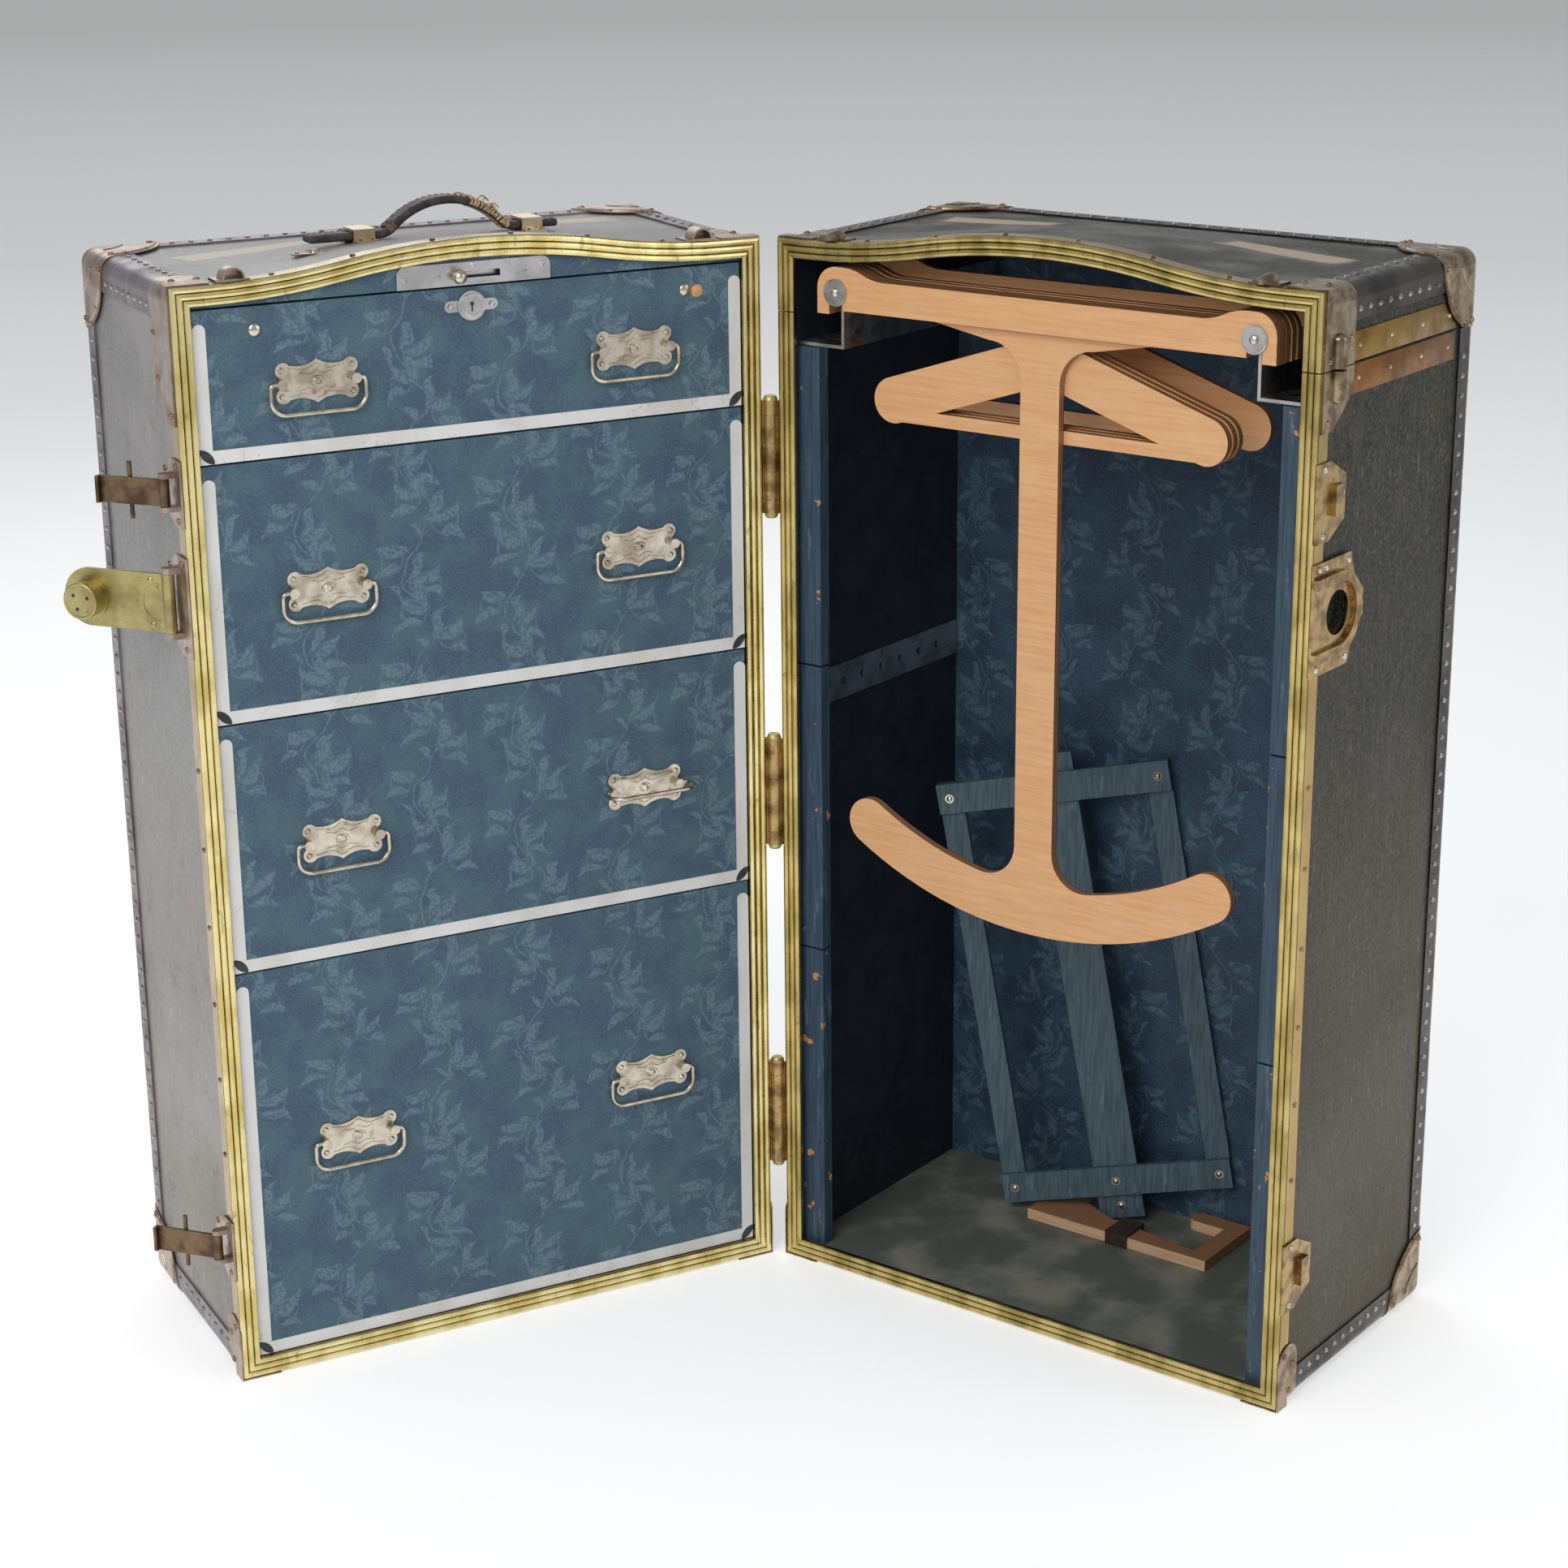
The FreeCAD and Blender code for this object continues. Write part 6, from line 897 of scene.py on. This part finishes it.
class TRUNK_OT_ornament_pulls(bpy.types.Operator):
    """Pressed beads, oval boss and rivets on the plate of each drawer pull"""
    bl_idname = "trunk.ornament_pulls"
    bl_label = "Ornament the Pulls"

    def execute(self, context):
        face, front = FRONT_FACE - 1.6, (0, -1, 0)
        oval = ((0, 1.3), (2.6, 1.25), (3.4, 0.6), (4.3, 1.0), (5.0, 0.9), (5.6, 0), (0, 0))
        rivet = ((0, 1.9), (1.7, 1.5), (2.6, 0.5), (2.8, 0), (0, -0.3))
        for number, up in PULLS.items():
            shapes = []
            for across in (-150.0, 150.0):
                middle = (across, face, up)
                shapes += [placed(self.bead(level, reach, arch), facing(middle, front, turn))
                           for level, reach, arch in ((12.2, 25, 3.0), (7.4, 15, 2.0))
                           for turn in (0.0, math.pi)]
                shapes.append(placed(turned(oval, 20), facing(middle, front)
                                     @ Matrix.Diagonal((1.15, 0.85, 1, 1))))
                shapes.append(stamped(turned(rivet, 10), [
                    facing((across + x, face, up + z), front)
                    for x in (-32, 32) for z in (-11.5, 11.5)]))
            piece("drawer_%d_pull_ornament" % number, merged(shapes), "drawer_%d" % number,
                  "nickel")
        return {"FINISHED"}

    def bead(self, level, reach, arch):
        """A narrow raised line that rises to a cusp in its middle and again at its ends."""
        def at(x):
            dip = math.exp(-((abs(x) - 0.5) / 0.24) ** 2)
            return Vector((x * reach, level + arch * (math.exp(-(x / 0.16) ** 2) - 0.7 * dip)))

        bm, rings = bmesh.new(), []
        for step in range(-12, 13):
            x = step / 12
            along = (at(x + 0.01) - at(x - 0.01)).normalized()
            aside = Vector((-along.y, along.x))
            rings.append([bm.verts.new((*(at(x) + aside * wide), high))
                          for wide, high in ((-0.75, -0.1), (-0.35, 0.75), (0.35, 0.75),
                                             (0.75, -0.1))])
        for ring, after in zip(rings, rings[1:]):
            for n in range(4):
                bm.faces.new((ring[n], ring[n - 1], after[n - 1], after[n]))
        bm.faces.new(rings[0])
        bm.faces.new(rings[-1])
        bmesh.ops.recalc_face_normals(bm, faces=bm.faces)
        return bm


class TRUNK_OT_fit_lock(bpy.types.Operator):
    """Keyhole as a dark inset of painted shade, ring and screws of the drawer lock, and the screws
    of the bolt plate
    """
    bl_idname = "trunk.fit_lock"
    bl_label = "Fit the Lock"

    def execute(self, context):
        middle, front = Vector((-5.5, FRONT_FACE - 3, 978)), (0, -1, 0)
        ring = turned(((7.9, 0), (8.2, 0.9), (9.4, 1.2), (10.6, 0.9), (10.9, 0)), 32)
        bmesh.ops.holes_fill(ring, edges=[e for e in ring.edges if e.is_boundary])
        shapes = [placed(ring, facing(middle, front))]
        shapes += [placed(self.screw(2.3), facing(middle + Vector((across, 0, 0)), front, across))
                   for across in (-19.5, 19.5)]
        piece("lock_ring", merged(shapes), "drawer_1", "steel")
        # the keyhole is a dark inset laid on the plug's face: painted shade in place of an opening
        face = middle + Vector((0, -0.62, 0))
        hole = merged([placed(turned(((0, 0.12), (1.9, 0.1), (2.0, -0.3), (0, -0.3)), 14),
                              facing(face + Vector((0, 0, 1.8)), front)),
                       slab(face + Vector((-0.8, -0.1, -5.0)), face + Vector((0.8, 0.3, 2.0)),
                            0.15)])
        piece("keyhole", hole, "lock_plug", "dark_gap")
        backing = slab((-30, FRONT_FACE + 4.8, 1002.6), (32, FRONT_FACE + 5.6, 1007.4), 0.2)
        piece("bolt_slot_backing", backing, "drawer_half", "steel")
        screws = merged(placed(self.screw(2.2),
                               facing((across, FRONT_FACE - 1.5, up), front, across))
                        for across, up in ((-66, 1004.5), (-2, 1013), (63, 1009)))
        piece("bolt_plate_screws", screws, "drawer_half", "steel")
        return {"FINISHED"}

    def screw(self, radius):
        """A countersunk head with its slot as a sunk groove."""
        head = turned(((0, 0.75), (radius * 0.7, 0.6), (radius, 0.15), (radius, -0.4),
                       (0, -0.4)), 14)
        for x in (-0.35, 0.35):
            cut_across(head, x)
        for vert in head.verts:
            if abs(vert.co.x) < 0.3 and vert.co.z > 0.5:
                vert.co.z -= 0.4
        return head


class TRUNK_OT_mark_fronts(bpy.types.Operator):
    """Stud and wood plug beside the top drawer's edges, and the joints of the edging"""
    bl_idname = "trunk.mark_fronts"
    bl_label = "Mark the Fronts"

    def execute(self, context):
        front = (0, -1, 0)
        stud = ((0, 2.8), (3.4, 2.4), (5.4, 1.4), (6.1, 0.2), (6.1, 0), (0, 0))
        heads("drawer_1_studs", stud, 16, [((across, FRONT_FACE, 974), front)
                                           for across in (-202.5, 202.5)],
              "drawer_1", "nickel")
        plug = ((0, 1.0), (5.0, 0.9), (5.7, 0.4), (5.8, 0), (0, 0))
        heads("drawer_1_plug", plug, 20, [((214.5, FRONT_FACE, 972), front)], "drawer_1",
              "bare_wood")
        lens = [(9.0 * math.cos(turn), 3.9 * math.sin(turn) * abs(math.sin(turn)) ** 0.4)
                for turn in (math.tau * step / 20 for step in range(20))]
        for number, (low, _) in FRONTS.items():
            marks = [placed(cut_plate(lens, 0.35, 0.1), facing(
                (side * 251.5, FRONT_FACE - 1, low + 6.8), front, math.radians(45 * side)))
                for side in (-1, 1)]
            piece("drawer_%d_edging_joints" % number, merged(marks), "drawer_%d" % number,
                  "dark_gap")
        return {"FINISHED"}


# ------------------------------------------------------------------------------- the handle

STRAP_DEEP, STRAP_WIDTH, STRAP_THICK = 120.0, 21.0, 7.0
STRAP_ENDS, BOW_ENDS = (-113.0, 125.5), (-46.0, 81.5)
STRAP_LOWS, BOW_RISE, BOW_CROWN = (1025.75, 1024.15), 26.0, 70.0


def strap_height(across):
    """Underside of the strap: flat tails, hollows and a crown that meet on tangents."""
    middle, foot = sum(BOW_ENDS) / 2, (BOW_ENDS[1] - BOW_ENDS[0]) / 2
    side = 0 if across < middle else 1
    low, apex = STRAP_LOWS[side], STRAP_LOWS[0] + BOW_RISE
    rise = apex - low
    both = (foot * foot + rise * rise) / (2 * rise)
    knee = BOW_CROWN * foot / both
    reach = abs(across - middle)
    if reach >= foot:
        return low
    if reach > knee:
        hollow = both - BOW_CROWN
        return low + hollow - math.sqrt(hollow ** 2 - (foot - reach) ** 2)
    return apex - BOW_CROWN + math.sqrt(BOW_CROWN ** 2 - reach ** 2)


def on_strap(across, aside, over):
    """A place on the bowed strap, over its underside along the strap's own upright."""
    slope = (strap_height(across + 0.5) - strap_height(across - 0.5))
    lean = math.atan(slope)
    return Vector((across - over * math.sin(lean), STRAP_DEEP + aside,
                   strap_height(across) + over * math.cos(lean)))


class TRUNK_OT_make_handle(bpy.types.Operator):
    """The bowed leather handle with its stitching, bared core and twine lashing"""
    bl_idname = "trunk.make_handle"
    bl_label = "Make the Handle"

    def execute(self, context):
        left, right = STRAP_ENDS
        strap = slab((left, -STRAP_WIDTH / 2, 0), (right, STRAP_WIDTH / 2, STRAP_THICK), 2.4, 3)
        leather = piece("handle_strap", self.bowed(strap, left, right, 80), "carry_handle",
                        "handle_leather", 50)
        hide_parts("carry_handle")
        stitch = turned(((0, 1.9), (0.35, 1.5), (0.45, 0), (0.35, -1.5), (0, -1.9)), 6)
        matrices = []
        for aside in (-7.4, 7.4):
            for p in row((left + 5, 0, 0), (right - 5, 0, 0), 5.6):
                here = on_strap(p.x, aside, STRAP_THICK)
                ahead = on_strap(p.x + 1, aside, STRAP_THICK)
                matrices.append(facing(here, ahead - here))
        piece("handle_stitches", stamped(stitch, matrices), "carry_handle",
              "thread")
        # the steel core that shows where the leather has split
        left, right = 46, 72
        core = slab((left, -4.0, STRAP_THICK - 0.6), (right, 4.0, STRAP_THICK + 1.1), 0.5)
        piece("handle_core", self.bowed(core, left, right, 10), "carry_handle",
              "steel")
        self.lashing()
        return {"FINISHED"}

    def bowed(self, bm, left, right, parts):
        """A straight strip, cut across at even steps and laid on the bow of the strap."""
        for step in range(1, parts):
            cut_across(bm, left + (right - left) * step / parts)
        for vert in bm.verts:
            vert.co = on_strap(*vert.co)
        return bm

    def lashing(self):
        """Hemp twine wound round the strap beside the right loop, with frayed ends."""
        draw = random.Random(7)
        for name, low, high, turns, ends, finish_name in (
                ("twine_right", 38, 76, 12, 18, "twine"),
                ("twine_left", -36, -29, 3, 3, "thread")):
            lines = []
            for strand in range(2):
                points = []
                for step in range(turns * 12 + 1):
                    turn = math.tau * step / 12 + strand * 2.1
                    across = low + (high - low) * step / (turns * 12) + draw.uniform(-0.8, 0.8)
                    wide = STRAP_WIDTH / 2 + 0.9 + draw.uniform(0, 0.9)
                    tall = STRAP_THICK / 2 + 0.9 + draw.uniform(0, 0.9)
                    if math.cos(turn) < 0:
                        tall = STRAP_THICK / 2 + 0.5
                    points.append(on_strap(across, wide * math.sin(turn) * 0.98,
                                           STRAP_THICK / 2 + tall * math.cos(turn)))
                lines.append(points)
            for _ in range(ends):
                at = draw.uniform(low, high)
                start = on_strap(at, draw.uniform(-8, 8), STRAP_THICK + 0.8)
                lean = Vector((draw.uniform(-1, 0.4) * (1 if low > 0 else -1),
                               draw.uniform(-1, 0.2), 0)).normalized()
                points = [start]
                for step in range(1, 5):
                    points.append(start + lean * step * 3.2 + Vector(
                        (0, draw.uniform(-1, 1), 3.0 * math.sin(step * 0.8))))
                lines.append(points)
            self.strands(name, lines, finish_name)

    def strands(self, name, lines, finish_name):
        """Round strands along smooth lines, as one mesh."""
        curve = bpy.data.curves.new(name, "CURVE")
        curve.dimensions = "3D"
        curve.bevel_depth, curve.bevel_resolution = 0.75 * MM, 1
        curve.use_fill_caps = True
        curve.resolution_u = 2
        for points in lines:
            spline = curve.splines.new("NURBS")
            spline.points.add(len(points) - 1)
            for knot, p in zip(spline.points, points):
                knot.co = (*(DRAWER_HALF @ p), 1)
            spline.order_u, spline.use_endpoint_u = 3, True
        line = add_object(name + "_line", curve)
        bpy.context.view_layer.update()
        mesh = bpy.data.meshes.new_from_object(line.evaluated_get(
            bpy.context.evaluated_depsgraph_get()))
        bpy.data.objects.remove(line)
        bm = bmesh.new()
        bm.from_mesh(mesh)
        piece(name, bm, "carry_handle", finish_name, 60, Matrix.Identity(4))


def top_level(across, deep):
    """Height of the top's face at a place."""
    share = min(1.0, max(0.0, (236 - deep) / 231))
    return TOP - 2 + camber(across) * share


class TRUNK_OT_fit_top(bpy.types.Operator):
    """The small plate on the top and the tacks of the handle loops"""
    bl_idname = "trunk.fit_top"
    bl_label = "Fit the Top"

    def execute(self, context):
        across, deep = -123.0, 85.0
        slope = math.atan(top_level(across, deep - 5) / 10 - top_level(across, deep + 5) / 10)
        lean = Matrix.Rotation(-slope, 4, "X")
        seat = Matrix.Translation((across, deep, top_level(across, deep) + 0.1)) @ lean
        knob = ((0, 3.6), (3.2, 3.0), (4.6, 1.2), (4.8, 0), (0, 0))
        tack = ((0, 1.6), (1.5, 1.3), (2.6, 0.2), (2.6, -0.4), (0, -0.4))
        shapes = [placed(slab((-15, -6, 0), (15, 6, 1.4), 0.5), seat),
                  placed(turned(knob, 16), seat @ Matrix.Translation((5, 0, 1.2)))]
        shapes += [placed(turned(tack, 8), seat @ Matrix.Translation((x, 0, 1.4)))
                   for x in (-11, 12)]
        piece("top_plate", merged(shapes), "drawer_half", "cap_drawer")
        loop_tack = ((0, 1.3), (1.2, 1.1), (2.0, 0.1), (2.0, -0.5), (0, -0.5))
        heads("handle_loop_tacks", loop_tack, 8, [
            ((loop + shift, STRAP_DEEP + side * 18.2, top_level(loop, STRAP_DEEP - 22) + 1.8),
             (0, 0, 1)) for loop in (-63.0, 98.5) for side in (-1, 1) for shift in (-5.5, 5.5)],
            "drawer_half", "copper_rivet")
        return {"FINISHED"}


# --------------------------------------------------------------------- inside the hanger half

RACK_FOOT = (23.0, 230.2, 20.2)
RACK_SKEW, RACK_LEAN, RACK_TURN = math.radians(20), math.radians(4), math.radians(11)
RACK_RAILS, RACK_REACH, RACK_THICK = (41.0, 451.0), 117.5, 6.0


class TRUNK_OT_screw_rack(bpy.types.Operator):
    """Screws at the crossings of the slat rack and at the ends of its middle slat"""
    bl_idname = "trunk.screw_rack"
    bl_label = "Screw the Rack"

    def execute(self, context):
        rack = (Matrix.Translation(RACK_FOOT) @ Matrix.Diagonal((1, -1, 1, 1))
                @ Matrix.Rotation(RACK_SKEW, 4, "Z") @ Matrix.Rotation(RACK_LEAN, 4, "X")
                @ Matrix.Rotation(RACK_TURN, 4, "Y"))
        low, high = RACK_RAILS
        end = RACK_REACH - 12
        places = [(x, RACK_THICK, up) for up in RACK_RAILS for x in (-end, 0, end)]
        places += [(0, 0, low - 28), (0, 0, high + 27)]
        head = ((0, 1.5), (1.6, 1.3), (2.9, 0.5), (3.0, 0.3), (4.6, 0.3), (4.6, -0.3), (0, -0.3))
        heads("rack_screws", head, 12, [(place, (0, 1, 0)) for place in places], "slat_rack",
              "bright_rivet", rack)
        disc = ((0, 0.9), (3.9, 0.9), (4.5, 0.5), (4.5, -0.5), (3.9, -0.9), (0, -0.9))
        tongue = merged([slab((-4.5, -4.2, high + 18), (4.5, -2.4, high + 49), 0.7),
                         placed(turned(disc, 20), facing((0, -3.3, high + 49), (0, 1, 0)))])
        piece("rack_tongue", placed(tongue, rack), "slat_rack", "steel_swung")
        return {"FINISHED"}


class TRUNK_OT_crown_washers(bpy.types.Operator):
    """Bright rivet heads in the middle of the retainer's washers"""
    bl_idname = "trunk.crown_washers"
    bl_label = "Crown the Washers"

    def execute(self, context):
        dome = turned(((0, 1.5), (2.2, 1.2), (3.6, 0.4), (3.8, -0.2), (0, -0.2)), 16)
        rim = turned(((10.6, -0.1), (10.9, 0.35), (11.6, 0.35), (12.0, -0.1), (10.6, -0.1)), 40)
        crowns = merged(stamped(shape, [facing((across, deep, 971.0), (0, -1, 0))
                                        for across in (-213.0, 213.0)])
                        for shape, deep in ((dome, 0.8), (rim, 2.4)))
        piece("retainer_rivet_heads", crowns, "follower", "bright_rivet")
        return {"FINISHED"}


# ---------------------------------------------------------------------------------- the hasp

HASP_PIVOT, HASP_BACK = (-285.0, 32.0, 740.0), math.radians(48.4)
HASP_FACE, BOSS_PLACE, BOSS_FACE = 1.5, 78.0, 19.0


class TRUNK_OT_detail_hasp(bpy.types.Operator):
    """Holes in the lock boss as dark discs of painted shade, and the bead and rivets beside the
    knuckle of the hasp
    """
    bl_idname = "trunk.detail_hasp"
    bl_label = "Detail the Hasp"

    def execute(self, context):
        hasp = Matrix.Translation(HASP_PIVOT) @ Matrix.Rotation(-HASP_BACK, 4, "Z")
        out = (0, -1, 0)
        # each hole is a thin dark disc on the boss face: painted shade in place of an opening
        hole = ((0, 0.12), (1.7, 0.12), (1.9, -0.4), (0, -0.4))
        spots = [((-BOSS_PLACE + 8 * math.cos(turn), -BOSS_FACE, 8 * math.sin(turn)), out)
                 for turn in (0.4, 2.5, 4.3)]
        heads("hasp_boss_holes", hole, 12, spots, "hasp", "dark_gap", hasp)
        rim = turned(((13.6, 0), (14.0, 0.5), (15.4, 0.6), (16.2, 0.1), (16.2, -0.4),
                      (13.6, -0.4), (13.6, 0)), 32)
        rivet = turned(((0, 1.5), (1.8, 1.2), (2.7, 0.4), (2.8, -0.4), (0, -0.4)), 10)
        bow = [(radius * math.cos(turn * math.pi / 20), radius * math.sin(turn * math.pi / 20))
               for radius, way in ((17.5, 1), (15.9, -1)) for turn in range(-10, 11)[::way]]
        groove = placed(cut_plate(bow, 0.7, 0.2),
                        hasp @ facing((-9, -HASP_FACE, 0), out, math.pi))
        rivets = stamped(rivet, [hasp @ facing((-17, -HASP_FACE, up), out) for up in (-20, 20)])
        rim = placed(rim, hasp @ facing((-BOSS_PLACE, -BOSS_FACE, 0), out))
        piece("hasp_beads", merged([rim, groove, rivets]), "hasp", "hasp_brass")
        return {"FINISHED"}


# -------------------------------------------------------------------------------- the stage

CAMERA_AT = Vector((-1.0538, -2.7138, 1.4425))
CAMERA_TURN = (math.radians(-27.60), math.radians(18.08), math.radians(-0.57))
CAMERA_LENS = 73.3


class TRUNK_OT_set_stage(bpy.types.Operator):
    """Pale ground, soft lamps and the camera"""
    bl_idname = "trunk.set_stage"
    bl_label = "Set the Stage"

    def execute(self, context):
        stage = context.scene.trunk_stage
        self.ground(stage)
        self.surround(stage)
        self.lamp("key", stage.key_power, (-2.6, -2.2, 2.9), 2.4)
        self.lamp("fill", stage.fill_power, (2.6, -3.0, 2.0), 2.2)
        self.lamp("rim", stage.fill_power, (0.6, 2.8, 2.6), 2.2)
        self.camera()
        context.scene.view_settings.view_transform = "Standard"
        return {"FINISHED"}

    def ground(self, stage):
        bm = bmesh.new()
        bmesh.ops.create_circle(bm, cap_ends=True, segments=96, radius=60.0)
        mesh = bpy.data.meshes.new("ground")
        bm.to_mesh(mesh)
        bm.free()
        mesh.materials.append(self.ground_finish(stage))
        add_object("ground", mesh)

    def ground_finish(self, stage):
        """Pale ground that darkens with distance and keeps the trunk's shadow."""
        g = Surface("ground", 0.9)
        g.set("Specular IOR Level", 0.1)
        spot = g.node("TexCoord").outputs["Object"]
        reach = g.node("VectorMath", {0: spot}, operation="LENGTH").outputs["Value"]
        near, far = (*stage.ground, 1), (0.22, 0.22, 0.22, 1)
        colour = g.blend(g.ease(reach, 1.2, 15.0, how="LINEAR"), near, far)
        path = g.node("LightPath").outputs
        seen = path["Is Camera Ray"]
        for other in ("Is Glossy Ray", "Is Transmission Ray"):
            seen = g.math("MAXIMUM", seen, path[other])
        glow = g.ease(reach, 1.2, 6.8, 0.46, 0.3, "LINEAR")
        g.set("Emission Strength", g.math("MULTIPLY", seen, glow))
        g.set("Emission Color", (1, 1, 1, 1))
        return g.done(colour)

    def surround(self, stage):
        world = bpy.data.worlds.new("surround")
        bpy.context.scene.world = world
        world.use_nodes = True
        back = world.node_tree.nodes["Background"]
        back.inputs["Color"].default_value = (0.94, 0.96, 1.0, 1)
        back.inputs["Strength"].default_value = stage.sky

    def lamp(self, name, power, place, size):
        light = bpy.data.lights.new(name, "AREA")
        light.energy, light.size = power, size
        lamp = add_object(name, light)
        lamp.location = place
        aim = Vector((0.1, -0.1, 0.5)) - lamp.location
        lamp.rotation_euler = aim.to_track_quat("-Z", "Y").to_euler()

    def camera(self):
        azimuth, elevation, roll = CAMERA_TURN
        back = Vector((math.sin(azimuth) * math.cos(elevation),
                       -math.cos(azimuth) * math.cos(elevation), math.sin(elevation)))
        right = Vector((math.cos(azimuth), math.sin(azimuth), 0))
        upright = back.cross(right)
        lens = bpy.data.cameras.new("camera")
        lens.lens, lens.sensor_width = CAMERA_LENS, 36.0
        camera = add_object("camera", lens)
        axes = (right * math.cos(roll) + upright * math.sin(roll),
                upright * math.cos(roll) - right * math.sin(roll), back)
        camera.matrix_world = Matrix.Translation(CAMERA_AT) @ Matrix(axes).transposed().to_4x4()
        bpy.context.scene.camera = camera


# ------------------------------------------------------------------------------- the add-on

STEPS = (TRUNK_OT_dress_case, TRUNK_OT_nail_bindings, TRUNK_OT_rivet_plates,
         TRUNK_OT_band_seam, TRUNK_OT_ridge_caps, TRUNK_OT_ornament_pulls, TRUNK_OT_fit_lock,
         TRUNK_OT_mark_fronts, TRUNK_OT_make_handle, TRUNK_OT_fit_top, TRUNK_OT_screw_rack,
         TRUNK_OT_crown_washers, TRUNK_OT_detail_hasp, TRUNK_OT_set_stage)


class TRUNK_PT_looks(bpy.types.Panel):
    """Sizes and steps of the trunk's looks"""
    bl_idname = "TRUNK_PT_looks"
    bl_label = "Trunk Looks"
    bl_space_type = "VIEW_3D"
    bl_region_type = "UI"
    bl_category = "Trunk"

    def draw(self, context):
        for group in (context.scene.trunk_sizes, context.scene.trunk_stage):
            box = self.layout.box()
            for name in group.__annotations__:
                box.prop(group, name)
        for step in STEPS:
            self.layout.operator(step.bl_idname)


CLASSES = (TrunkSizes, TrunkStage) + STEPS + (TRUNK_PT_looks,)


def register():
    for each in CLASSES:
        bpy.utils.register_class(each)
    bpy.types.Scene.trunk_sizes = bpy.props.PointerProperty(type=TrunkSizes)
    bpy.types.Scene.trunk_stage = bpy.props.PointerProperty(type=TrunkStage)


def unregister():
    del bpy.types.Scene.trunk_stage
    del bpy.types.Scene.trunk_sizes
    for each in reversed(CLASSES):
        bpy.utils.unregister_class(each)


def main():
    register()
    for step in STEPS:
        group, name = step.bl_idname.split(".")
        getattr(getattr(bpy.ops, group), name)()


if __name__ == "__main__":
    main()
